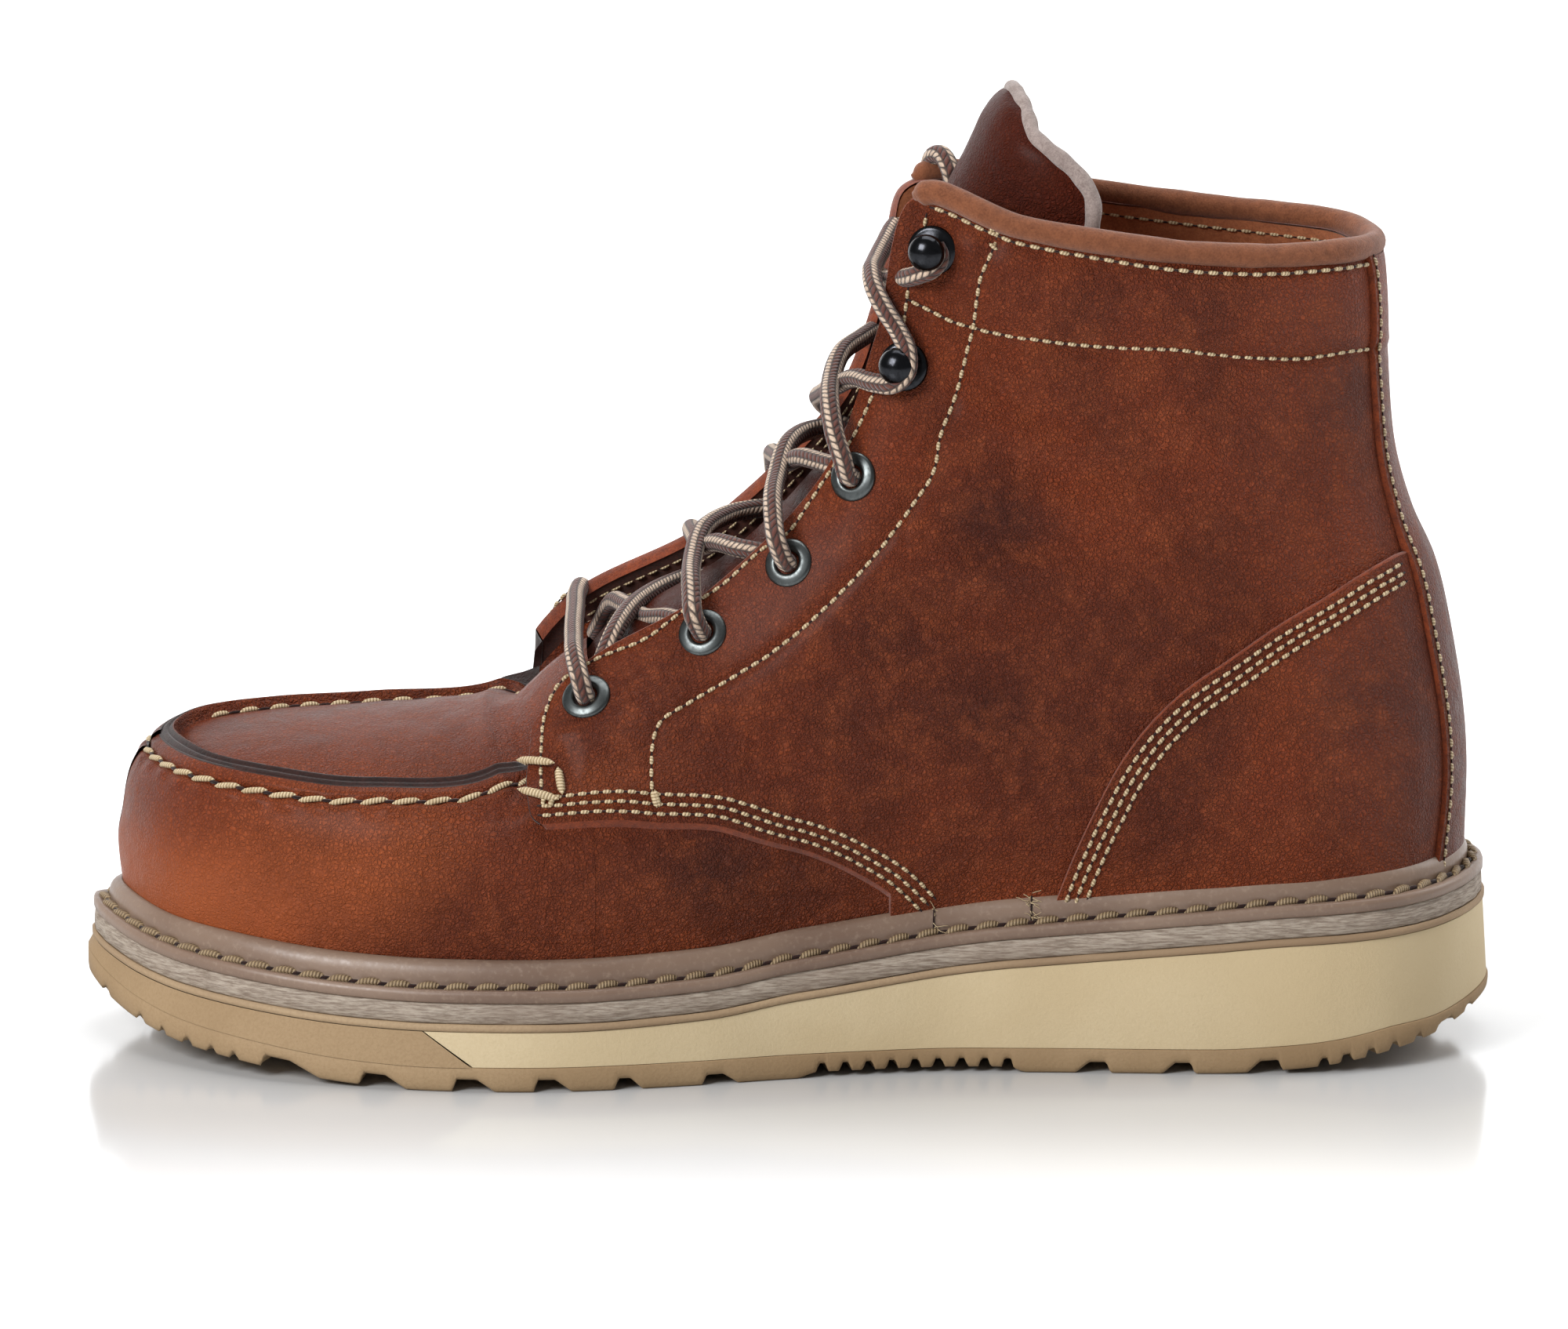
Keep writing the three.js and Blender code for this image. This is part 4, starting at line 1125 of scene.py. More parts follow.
class Shader:
    """Small helper that writes a node tree."""

    def __init__(self, tree: bpy.types.NodeTree) -> None:
        """Keep what the class works with."""
        self.tree = tree

    def node(self, kind: str, **settings: object) -> bpy.types.ShaderNode:
        """Add a node; settings are attributes, or inputs where the name is an input's.

        Args:
            kind: Kind of node or operation.

        Returns:
            The node.
        """
        made = self.tree.nodes.new(kind)
        for name, value in settings.items():
            if hasattr(made, name):
                setattr(made, name, value)
            else:
                self.feed(made.inputs[name.replace("_", " ")], value)
        return made

    def feed(self, socket: bpy.types.NodeSocket, value: Feed) -> None:
        """Link a socket to an output, or set its value.

        Args:
            socket: Input socket.
            value: Value or output socket.
        """
        if isinstance(value, bpy.types.NodeSocket):
            self.tree.links.new(value, socket)
        else:
            socket.default_value = value

    def math(self, kind: str, *values: Feed) -> bpy.types.NodeSocket:
        """Value of a math operation.

        Args:
            kind: Kind of node or operation.

        Returns:
            Output socket.
        """
        made = self.node("ShaderNodeMath", operation=kind)
        for socket, value in zip(made.inputs, values):
            self.feed(socket, value)
        return made.outputs[0]

    def ramp(
        self, value: Feed, low: float, high: float, start: float = 0.0, end: float = 1.0
    ) -> bpy.types.NodeSocket:
        """Value mapped from low..high to start..end.

        Args:
            value: Value that is mapped.
            low: Value that gives start.
            high: Value that gives end.
            start: Value given at low.
            end: Value given at high.

        Returns:
            Output socket.
        """
        made = self.node("ShaderNodeMapRange")
        made.interpolation_type = "SMOOTHSTEP"
        for name, entry in (
            ("Value", value), ("From Min", low), ("From Max", high), ("To Min", start),
            ("To Max", end)
        ):
            self.feed(made.inputs[name], entry)
        return made.outputs[0]

    def mix(self, share: Feed, low: Feed, high: Feed, blend: str = "MIX") -> bpy.types.NodeSocket:
        """Colour between two colours.

        Args:
            share: Share from 0 to 1.
            low: Colour at share 0.
            high: Colour at share 1.
            blend: How the colours mix.

        Returns:
            Output socket.
        """
        made = self.node("ShaderNodeMix", data_type="RGBA", blend_type=blend)
        self.feed(made.inputs[0], share)
        self.feed(made.inputs[6], low)
        self.feed(made.inputs[7], high)
        return made.outputs[2]

    def noise(
        self,
        place: bpy.types.NodeSocket,
        scale: float,
        detail: float = 4.0,
        rough: float = 0.55,
        warp: float = 0.0,
    ) -> bpy.types.NodeSocket:
        """Noise value at a place.

        Args:
            place: Place that the pattern is read at.
            scale: Cells or waves a metre.
            detail: Finer waves.
            rough: Weight of the finer waves.
            warp: Bend of the pattern.

        Returns:
            Output socket.
        """
        made = self.node("ShaderNodeTexNoise")
        for name, entry in (
            ("Vector", place), ("Scale", scale), ("Detail", detail), ("Roughness", rough),
            ("Distortion", warp)
        ):
            self.feed(made.inputs[name], entry)
        return made.outputs["Fac"]

    def cells(
        self, place: bpy.types.NodeSocket, scale: float, feature: str = "F1", random: float = 1.0
    ) -> bpy.types.NodeSocket:
        """Distance of a Voronoi pattern.

        Args:
            place: Place that the pattern is read at.
            scale: Cells or waves a metre.
            feature: Distance that is read.
            random: How uneven the cells are.

        Returns:
            Output socket.
        """
        made = self.node("ShaderNodeTexVoronoi", feature=feature)
        for name, entry in (("Vector", place), ("Scale", scale), ("Randomness", random)):
            self.feed(made.inputs[name], entry)
        return made.outputs["Distance"]

    def bump(
        self,
        height: bpy.types.NodeSocket,
        depth: float,
        strength: float = 1.0,
        normal: bpy.types.NodeSocket | None = None,
    ) -> bpy.types.NodeSocket:
        """Normal bent by a height, in metres at full height.

        Args:
            height: Height that is read.
            depth: Metres at full height.
            strength: Strength of the bump.
            normal: Normal that is bent further.

        Returns:
            Output socket.
        """
        made = self.node("ShaderNodeBump")
        self.feed(made.inputs["Strength"], strength)
        self.feed(made.inputs["Distance"], depth)
        self.feed(made.inputs["Height"], height)
        if normal is not None:
            self.feed(made.inputs["Normal"], normal)
        return made.outputs[0]


def colour(red: float, green: float, blue: float) -> tuple[float, float, float, float]:
    """Linear colour of a screen colour given in 0..255."""
    linear = [
        (
            (value / 255 + 0.055) / 1.055
        ) ** 2.4 if value > 10 else value / 255 / 12.92 for value in (red, green, blue)
    ]
    return (*linear, 1.0)


def value_group(
    name: str, inputs: Sequence[tuple[str, float]], outputs: Sequence[str], fill: Callable
) -> bpy.types.NodeTree:
    """Shader node group with a Vector input, number inputs and number outputs.

    Args:
        name: Name of the group.
        inputs: Number inputs and their values.
        outputs: Names of the outputs.
        fill: Builds the nodes and returns what feeds each output.

    Returns:
        The group.
    """
    tree = bpy.data.node_groups.new(name, "ShaderNodeTree")
    tree.interface.new_socket("Vector", in_out="INPUT", socket_type="NodeSocketVector")
    for label, start in inputs:
        tree.interface.new_socket(
            label, in_out="INPUT", socket_type="NodeSocketFloat"
        ).default_value = start
    for label in outputs:
        tree.interface.new_socket(label, in_out="OUTPUT", socket_type="NodeSocketFloat")
    shader = Shader(tree)
    entry, leave = shader.node("NodeGroupInput"), shader.node("NodeGroupOutput")
    for label, value in fill(shader, entry).items():
        shader.feed(leave.inputs[label], value)
    return tree


class Finishes:
    """The boot's materials and the effects that they share."""

    def __init__(self) -> None:
        """Keep what the class works with."""
        self.grain = value_group(
            "pebble_grain", (("Scale", 700.0), ("Crease", 0.5)), ("Height", "Cells"),
            self.fill_grain
        )
        self.patches = value_group(
            "colour_patches", (("Scale", 20.0),), ("Broad", "Fine"), self.fill_patches
        )
        self.nap = value_group("nap", (("Scale", 1500.0),), ("Height",), self.fill_nap)
        self.leather = self.make_leather("leather", 0.0)
        self.tongue_leather = self.make_leather("tongue_leather", 0.8)
        self.raw_edge = self.make_suede("raw_edge", colour(136, 60, 26), colour(78, 31, 14), 2500)
        # One dark material for burnished edges and dark joints, and for painted shade at stitch
        # punctures and inside the eyelets.
        self.dark_edge_and_shade = self.make_suede(
            "burnished_edge_and_painted_shade", colour(46, 20, 14), colour(20, 9, 7), 1500
        )
        self.lining = self.make_suede(
            "brown_lining", colour(172, 104, 66), colour(132, 74, 44), 1800
        )
        # Darker copy of the lining: painted shade for the inside of the throat.
        self.throat_shade_lining = self.make_suede("lining_in_painted_shade", colour(92, 42, 27), colour(44, 20, 13), 1400)
        self.binding = self.make_suede(
            "nubuck_binding", colour(132, 80, 52), colour(96, 54, 33), 2200
        )
        self.suede = self.make_suede(
            "grey_suede", colour(156, 142, 136), colour(116, 101, 96), 2400
        )
        self.thread = self.make_thread("tan_thread", colour(206, 186, 152), colour(150, 128, 94))
        self.thick_thread = self.make_thread(
            "welt_thread", colour(158, 136, 104), colour(104, 84, 60)
        )
        self.tread = self.make_rubber(
            "tread_rubber", colour(158, 133, 101), colour(138, 113, 82), 0.72, 0.00012
        )
        self.wedge = self.make_rubber(
            "wedge_rubber", colour(200, 182, 148), colour(190, 170, 134), 0.68, 0.0001
        )
        self.lip = self.make_rubber(
            "lip_rubber", colour(166, 142, 112), colour(140, 116, 90), 0.7, 0.00008
        )
        self.midsole = self.make_midsole("midsole_edge")
        self.welt = self.make_welt("welt_rubber")
        self.gunmetal = self.make_metal("gunmetal", colour(86, 90, 90), 0.3)
        self.black_metal = self.make_metal("black_nickel", colour(44, 45, 48), 0.14)
        self.lace = self.make_lace("braided_lace")
        self.insole = self.make_suede("insole_cloth", colour(92, 66, 48), colour(66, 46, 34), 1600)

    @staticmethod
    def fill_grain(shader: Shader, entry: bpy.types.ShaderNode) -> dict:
        """Pebbled leather: cells of two sizes, with creases that join them.

        Args:
            shader: Node maker of the group.
            entry: The group's input node.

        Returns:
            Socket for each output.
        """
        place, scale = entry.outputs["Vector"], entry.outputs["Scale"]
        warped = shader.node("ShaderNodeTexNoise")
        shader.feed(warped.inputs["Vector"], place)
        shader.feed(warped.inputs["Scale"], shader.math("MULTIPLY", scale, 0.35))
        bent = shader.node("ShaderNodeVectorMath", operation="MULTIPLY_ADD")
        shader.feed(bent.inputs[0], warped.outputs["Color"])
        bent.inputs[1].default_value = (0.0016, 0.0016, 0.0016)
        shader.feed(bent.inputs[2], place)
        spot = bent.outputs[0]
        edges = shader.cells(spot, scale, "DISTANCE_TO_EDGE")
        small = shader.cells(spot, shader.math("MULTIPLY", scale, 2.1), "DISTANCE_TO_EDGE")
        groove = shader.ramp(edges, 0.0, 0.3)
        fine = shader.ramp(small, 0.0, 0.3)
        wrinkle = shader.noise(place, shader.math("MULTIPLY", scale, 0.12), 5.0, 0.6, 1.2)
        folds = shader.math(
            "MULTIPLY", shader.math("SUBTRACT", wrinkle, 0.5), entry.outputs["Crease"]
        )
        cells = shader.math(
            "ADD", shader.math("MULTIPLY", groove, 0.62), shader.math("MULTIPLY", fine, 0.38)
        )
        return {
            "Height": shader.math("ADD", cells, shader.math("MULTIPLY", folds, 3.0)), "Cells": cells
        }

    @staticmethod
    def fill_patches(shader: Shader, entry: bpy.types.ShaderNode) -> dict:
        """Cloudy shading of oiled leather.

        Args:
            shader: Node maker of the group.
            entry: The group's input node.

        Returns:
            Socket for each output.
        """
        place, scale = entry.outputs["Vector"], entry.outputs["Scale"]
        broad = shader.noise(place, scale, 3.0, 0.5, 0.6)
        fine = shader.noise(place, shader.math("MULTIPLY", scale, 9.0), 5.0, 0.65, 0.4)
        return {"Broad": broad, "Fine": fine}

    @staticmethod
    def fill_nap(shader: Shader, entry: bpy.types.ShaderNode) -> dict:
        """Short nap of suede and cloth.

        Args:
            shader: Node maker of the group.
            entry: The group's input node.

        Returns:
            Socket for each output.
        """
        place, scale = entry.outputs["Vector"], entry.outputs["Scale"]
        rough = shader.noise(place, scale, 4.0, 0.7)
        clumps = shader.noise(place, shader.math("MULTIPLY", scale, 0.22), 3.0, 0.6)
        return {
            "Height": shader.math(
                "ADD", shader.math("MULTIPLY", rough, 0.6), shader.math("MULTIPLY", clumps, 0.4)
            )
        }

    @staticmethod
    def start(name: str) -> tuple[
        bpy.types.Material, Shader, bpy.types.ShaderNode, bpy.types.NodeSocket
    ]:
        """New material with its shader and the object's own coordinates.

        Args:
            name: Name of the piece or of its material.

        Returns:
            Material, node maker, its shader and the coordinates.
        """
        material = bpy.data.materials.new(name)
        material.use_nodes = True
        shader = Shader(material.node_tree)
        principled = material.node_tree.nodes["Principled BSDF"]
        place = shader.node("ShaderNodeTexCoord").outputs["Object"]
        return material, shader, principled, place

    def call(
        self, shader: Shader, tree: bpy.types.NodeTree, place: bpy.types.NodeSocket, **numbers: Feed
    ) -> bpy.types.ShaderNode:
        """Use a shared effect.

        Args:
            shader: Node maker of the material.
            tree: The shared effect.
            place: Coordinates for the effect.

        Returns:
            The group node.
        """
        made = shader.node("ShaderNodeGroup", node_tree=tree)
        shader.feed(made.inputs["Vector"], place)
        for label, value in numbers.items():
            made.inputs[label].default_value = value
        return made.outputs

    def make_leather(self, name: str, deep: float) -> bpy.types.Material:
        """Oiled reddish brown leather with pebbles; paler low down and most at the toe, where
        a highlight is painted in, with painted shade in its grain's grooves and folds.

        Args:
            name: Name of the piece or of its material.
            deep: How dark it is.

        Returns:
            The material.
        """
        material, shader, principled, place = self.start(name)
        grain = self.call(shader, self.grain, place, Scale=1050.0, Crease=1.0)
        patches = self.call(shader, self.patches, place, Scale=17.0)
        parts = shader.node("ShaderNodeSeparateXYZ")
        shader.feed(parts.inputs[0], place)
        # Paler towards the bottom of the upper and most at the lower toe; at the toe this is a
        # painted highlight.
        toe = shader.ramp(parts.outputs["X"], -0.055, -0.135)
        low = shader.ramp(parts.outputs["Z"], 0.062, 0.035)
        lighter = shader.math(
            "MAXIMUM", shader.math("MULTIPLY", toe, low), shader.math("MULTIPLY", low, 0.25)
        )
        lighter = shader.math(
            "MULTIPLY", lighter, shader.ramp(patches["Broad"], 0.3, 0.65, 0.45, 1.0)
        )
        base = shader.mix(
            shader.ramp(patches["Broad"], 0.36, 0.66), colour(98, 41, 19), colour(128, 55, 25)
        )
        base = shader.mix(shader.math("MULTIPLY", lighter, 0.6), base, colour(158, 82, 38))
        # Stored spots lift or darken the colour: partly the leather's own colour, partly painted
        # highlights and painted shade in folds.
        tone_and_shade = shader.node("ShaderNodeAttribute", attribute_name="tone_and_shade").outputs["Fac"]
        base = shader.mix(shader.ramp(tone_and_shade, 0.5, 1.0, 0.0, 0.9), base, colour(162, 82, 40))
        base = shader.mix(shader.ramp(tone_and_shade, 0.5, 0.0, 0.0, 0.85), base, colour(62, 24, 14))
        base = shader.mix(
            shader.ramp(patches["Fine"], 0.42, 0.72, 0.0, 0.5), base, colour(150, 74, 38)
        )
        base = shader.mix(deep, base, colour(58, 13, 5))
        smooth = shader.math(
            "SUBTRACT", 1.0, shader.math("MULTIPLY", shader.math("MULTIPLY", toe, low), 0.7)
        )
        # Painted shade: the grain's grooves are darkened, less at the lower toe.
        groove_shade = shader.ramp(grain["Cells"], 0.15, 0.8, 1.0, 0.0)
        base = shader.mix(
            shader.math("MULTIPLY", shader.math("MULTIPLY", groove_shade, 0.42), smooth), base,
            colour(50, 18, 10)
        )
        shader.feed(principled.inputs["Base Color"], base)
        gloss = shader.ramp(patches["Fine"], 0.25, 0.75, 0.4, 0.54)
        shader.feed(principled.inputs["Roughness"], gloss)
        principled.inputs["Specular IOR Level"].default_value = 0.16 if deep == 0 else 0.08
        principled.inputs["Coat Weight"].default_value = 0.05
        principled.inputs["Coat Roughness"].default_value = 0.3
        height = shader.math("MULTIPLY", grain["Height"], smooth)
        pores = shader.noise(place, 2600.0, 3.0, 0.7)
        height = shader.math("ADD", height, shader.math("MULTIPLY", pores, 0.35))
        lumps = shader.noise(place, 130.0, 3.0, 0.55, 0.8)
        height = shader.math(
            "ADD", height, shader.math("MULTIPLY", lumps, shader.math("MULTIPLY", smooth, 3.2))
        )
        shader.feed(principled.inputs["Normal"], shader.bump(height, 0.0005, 1.0))
        return material

    def make_suede(
        self, name: str, light: Colour, dark: Colour, scale: float
    ) -> bpy.types.Material:
        """Napped leather or cloth.

        Args:
            name: Name of the piece or of its material.
            light: Lighter colour.
            dark: Darker colour.
            scale: Cells or waves a metre.

        Returns:
            The material.
        """
        material, shader, principled, place = self.start(name)
        nap = self.call(shader, self.nap, place, Scale=scale)["Height"]
        patches = self.call(shader, self.patches, place, Scale=45.0)
        base = shader.mix(shader.ramp(nap, 0.3, 0.68), dark, light)
        base = shader.mix(shader.ramp(patches["Broad"], 0.45, 0.75, 0.0, 0.35), base, dark)
        shader.feed(principled.inputs["Base Color"], base)
        principled.inputs["Roughness"].default_value = 0.92
        principled.inputs["Specular IOR Level"].default_value = 0.2
        principled.inputs["Sheen Weight"].default_value = 0.25
        principled.inputs["Sheen Roughness"].default_value = 0.5
        shader.feed(principled.inputs["Normal"], shader.bump(nap, 0.00035, 0.8))
        return material

    def make_thread(self, name: str, light: Colour, dark: Colour) -> bpy.types.Material:
        """Waxed thread, twisted along its run.

        Args:
            name: Name of the piece or of its material.
            light: Lighter colour.
            dark: Darker colour.

        Returns:
            The material.
        """
        material, shader, principled, place = self.start(name)
        run = shader.node("ShaderNodeUVMap", uv_map="run").outputs[0]
        parts = shader.node("ShaderNodeSeparateXYZ")
        shader.feed(parts.inputs[0], run)
        twist = shader.math(
            "ADD", shader.math("MULTIPLY", parts.outputs["X"], 6.2832),
            shader.math("MULTIPLY", parts.outputs["Y"], 9.0)
        )
        wave = shader.math("SINE", shader.math("MULTIPLY", twist, 1.0))
        dirt = shader.noise(place, 500.0, 3.0)
        # Painted shade along the twist: darker in its grooves, paler on its ridges; the same wave
        # drives the bump.
        base = shader.mix(shader.ramp(wave, -1.0, 1.0), dark, light)
        base = shader.mix(shader.ramp(dirt, 0.45, 0.75, 0.0, 0.5), base, dark)
        shader.feed(principled.inputs["Base Color"], base)
        principled.inputs["Roughness"].default_value = 0.6
        shader.feed(principled.inputs["Normal"], shader.bump(wave, 0.0001, 0.8))
        return material

    def make_rubber(
        self, name: str, light: Colour, dark: Colour, gloss: float, depth: float
    ) -> bpy.types.Material:
        """Matt rubber with a fine pebble and a few scuffs.

        Args:
            name: Name of the piece or of its material.
            light: Lighter colour.
            dark: Darker colour.
            gloss: Roughness of the finish.
            depth: Depth of the pebble, in metres.

        Returns:
            The material.
        """
        material, shader, principled, place = self.start(name)
        pebble = shader.noise(place, 1500.0, 3.0, 0.6)
        swell = shader.noise(place, 330.0, 3.0, 0.5)
        patches = self.call(shader, self.patches, place, Scale=14.0)
        base = shader.mix(shader.ramp(patches["Broad"], 0.35, 0.7), light, dark)
        base = shader.mix(shader.ramp(pebble, 0.35, 0.72, 0.0, 0.4), base, dark)
        shader.feed(principled.inputs["Base Color"], base)
        principled.inputs["Roughness"].default_value = gloss
        principled.inputs["Specular IOR Level"].default_value = 0.3
        height = shader.math("ADD", pebble, shader.math("MULTIPLY", swell, 0.8))
        shader.feed(principled.inputs["Normal"], shader.bump(height, depth, 0.9))
        return material

    def make_midsole(self, name: str) -> bpy.types.Material:
        """Ground edge of the midsole: grey, with slanted scratches.

        Args:
            name: Name of the piece or of its material.

        Returns:
            The material.
        """
        material, shader, principled, place = self.start(name)
        mapping = shader.node("ShaderNodeMapping")
        shader.feed(mapping.inputs["Vector"], place)
        mapping.inputs["Rotation"].default_value = (0.0, math.radians(28), 0.0)
        mapping.inputs["Scale"].default_value = (260.0, 260.0, 2600.0)
        scratches = shader.noise(mapping.outputs[0], 1.0, 5.0, 0.7)
        second = shader.node("ShaderNodeMapping")
        shader.feed(second.inputs["Vector"], place)
        second.inputs["Rotation"].default_value = (0.0, math.radians(-16), 0.0)
        second.inputs["Scale"].default_value = (180.0, 180.0, 3400.0)
        strokes = shader.noise(second.outputs[0], 1.0, 4.0, 0.7)
        patches = self.call(shader, self.patches, place, Scale=30.0)
        base = shader.mix(
            shader.ramp(scratches, 0.36, 0.66), colour(122, 106, 92), colour(170, 157, 142)
        )
        base = shader.mix(shader.ramp(strokes, 0.5, 0.72, 0.0, 0.7), base, colour(176, 165, 152))
        base = shader.mix(
            shader.ramp(patches["Broad"], 0.5, 0.75, 0.0, 0.5), base, colour(128, 110, 96)
        )
        shader.feed(principled.inputs["Base Color"], base)
        principled.inputs["Roughness"].default_value = 0.7
        height = shader.math("ADD", scratches, strokes)
        shader.feed(principled.inputs["Normal"], shader.bump(height, 0.00018, 0.8))
        return material

    def make_welt(self, name: str) -> bpy.types.Material:
        """Satin taupe rubber of the storm welt.

        Args:
            name: Name of the piece or of its material.

        Returns:
            The material.
        """
        material, shader, principled, place = self.start(name)
        patches = self.call(shader, self.patches, place, Scale=26.0)
        fine = shader.noise(place, 900.0, 4.0)
        base = shader.mix(
            shader.ramp(patches["Broad"], 0.35, 0.7), colour(128, 106, 90), colour(110, 88, 74)
        )
        base = shader.mix(shader.ramp(fine, 0.5, 0.8, 0.0, 0.4), base, colour(156, 136, 118))
        shader.feed(principled.inputs["Base Color"], base)
        shader.feed(principled.inputs["Roughness"], shader.ramp(fine, 0.3, 0.7, 0.36, 0.5))
        shader.feed(principled.inputs["Normal"], shader.bump(fine, 0.00008, 0.6))
        return material

    def make_metal(self, name: str, base: Colour, gloss: float) -> bpy.types.Material:
        """Dark plated metal with light wear.

        Args:
            name: Name of the piece or of its material.
            base: Base colour.
            gloss: Roughness of the finish.

        Returns:
            The material.
        """
        material, shader, principled, place = self.start(name)
        marks = shader.noise(place, 900.0, 4.0, 0.6)
        shade = tuple(0.62 * value for value in base[:3]) + (1.0,)
        shader.feed(
            principled.inputs["Base Color"], shader.mix(shader.ramp(marks, 0.4, 0.75), base, shade)
        )
        principled.inputs["Metallic"].default_value = 1.0
        shader.feed(
            principled.inputs["Roughness"], shader.ramp(marks, 0.3, 0.75, gloss, gloss + 0.12)
        )
        shader.feed(principled.inputs["Normal"], shader.bump(marks, 0.00003, 0.4))
        return material

    def make_lace(self, name: str) -> bpy.types.Material:
        """Round braid of brown and beige yarn; u runs round the lace, v along it in lace widths.

        Args:
            name: Name of the piece or of its material.

        Returns:
            The material.
        """
        material, shader, principled, place = self.start(name)
        run = shader.node("ShaderNodeUVMap", uv_map="run").outputs[0]
        parts = shader.node("ShaderNodeSeparateXYZ")
        shader.feed(parts.inputs[0], run)
        around = shader.math("MULTIPLY", parts.outputs["X"], 8.0)
        share, column = shader.math("FRACT", around), shader.math("FLOOR", around)
        beige = shader.math(
            "MULTIPLY", shader.math("FRACT", shader.math("MULTIPLY", column, 0.5)), 2.0
        )
        lean = shader.math(
            "MULTIPLY", shader.math("SUBTRACT", beige, 0.5), shader.math("SUBTRACT", share, 0.5)
        )
        along = shader.math(
            "ADD", shader.math("MULTIPLY", parts.outputs["Y"], 2.9),
            shader.math("MULTIPLY", lean, 1.5)
        )
        stitch = shader.math("SINE", shader.math("MULTIPLY", shader.math("FRACT", along), math.pi))
        ridge = shader.math("SINE", shader.math("MULTIPLY", share, math.pi))
        tops = shader.math(
            "MULTIPLY", shader.math("POWER", stitch, 0.6), shader.math("POWER", ridge, 0.5)
        )
        yarn = shader.noise(place, 3800.0, 2.0)
        fade = shader.noise(place, 900.0, 2.0)
        base = shader.mix(beige, colour(88, 42, 30), colour(206, 182, 160))
        base = shader.mix(shader.ramp(fade, 0.5, 0.7, 0.0, 0.45), base, colour(120, 82, 64))
        # Painted shade between the braid's raised stitches, where the tops are low.
        base = shader.mix(shader.ramp(tops, 0.3, 0.8, 0.9, 0.0), base, colour(34, 17, 12))
        base = shader.mix(shader.ramp(yarn, 0.35, 0.7, 0.0, 0.3), base, colour(70, 44, 34))
        shader.feed(principled.inputs["Base Color"], base)
        principled.inputs["Roughness"].default_value = 0.8
        principled.inputs["Sheen Weight"].default_value = 0.2
        height = shader.math("ADD", tops, shader.math("MULTIPLY", yarn, 0.25))
        shader.feed(principled.inputs["Normal"], shader.bump(height, 0.0005, 0.9))
        return material


# The sole's pieces

# Gaps between the lugs at the sole's edge, read off the photograph: first and last pixel, depth in
# millimetres, and the width in millimetres of the slope at the toe side and at the heel side.
LUG_GAPS = table(
    ("first", "last", "depth", "fore", "aft"),
    (
        (129, 139, 1.6, 0.5, 0.6),
        (175, 185, 1.7, 0.5, 0.6),
        (205, 213, 1.6, 0.4, 0.5),
        (235, 247, 1.6, 0.5, 0.6),
        (267, 278, 1.5, 0.5, 0.6),
        (296, 307, 1.5, 0.5, 0.6),
        (336, 411, 2.6, 0.9, 6.5),
        (462, 521, 2.7, 0.9, 4.5),
        (580, 634, 2.7, 0.9, 4.0),
        (683, 731, 2.7, 0.9, 3.6),
        (785, 820, 2.5, 0.9, 2.6),
        (896, 941, 2.2, 1.0, 3.2),
        (1370, 1414, 2.4, 3.0, 0.9),
        (1480, 1521, 2.4, 2.8, 0.9),
        (1588, 1632, 2.4, 2.8, 0.9),
        (1678, 1692, 1.7, 0.6, 0.5),
        (1706, 1722, 1.7, 0.6, 0.5),
        (1738, 1752, 1.6, 0.6, 0.5),
        (1769, 1781, 1.6, 0.6, 0.5),
        (1801, 1812, 1.5, 0.5, 0.5),
        (1829, 1853, 1.5, 0.8, 0.6),
        (1867, 1877, 1.2, 0.5, 0.5),
    ),
)
WAIST_RIBS = (1048.0, 1284.0, 9)
WAIST_RIB_DEPTH = 1.9
PIXELS_PER_MM = 5.78
HEEL_PIXEL = 1900.0
LUG_REACH = 15.0


def pixel_x(pixel: np.ndarray | float) -> np.ndarray:
    """Place along the sole of a pixel column of the photograph."""
    return SOLE_LENGTH / 2 - (HEEL_PIXEL - np.asarray(pixel)) / PIXELS_PER_MM


def lug_recess(x: np.ndarray) -> np.ndarray:
    """Depth of the gaps between the lugs at a place along the sole.

    Args:
        x: Place along the sole.

    Returns:
        Depth in millimetres.
    """
    depth = np.zeros_like(x)
    for first, last, deep, fore, aft in zip(
        *(LUG_GAPS[name] for name in ("first", "last", "depth", "fore", "aft"))
    ):
        rise = np.clip((x - pixel_x(first)) / fore, 0, 1)
        fall = np.clip((pixel_x(last) - x) / aft, 0, 1)
        depth = np.maximum(depth, deep * np.minimum(rise, fall))
    start, end, count = WAIST_RIBS
    for middle in np.linspace(start, end, count):
        side = np.clip((1.25 - np.abs(x - pixel_x(middle))) / 0.45, 0, 1)
        depth = np.maximum(depth, WAIST_RIB_DEPTH * side)
    return depth


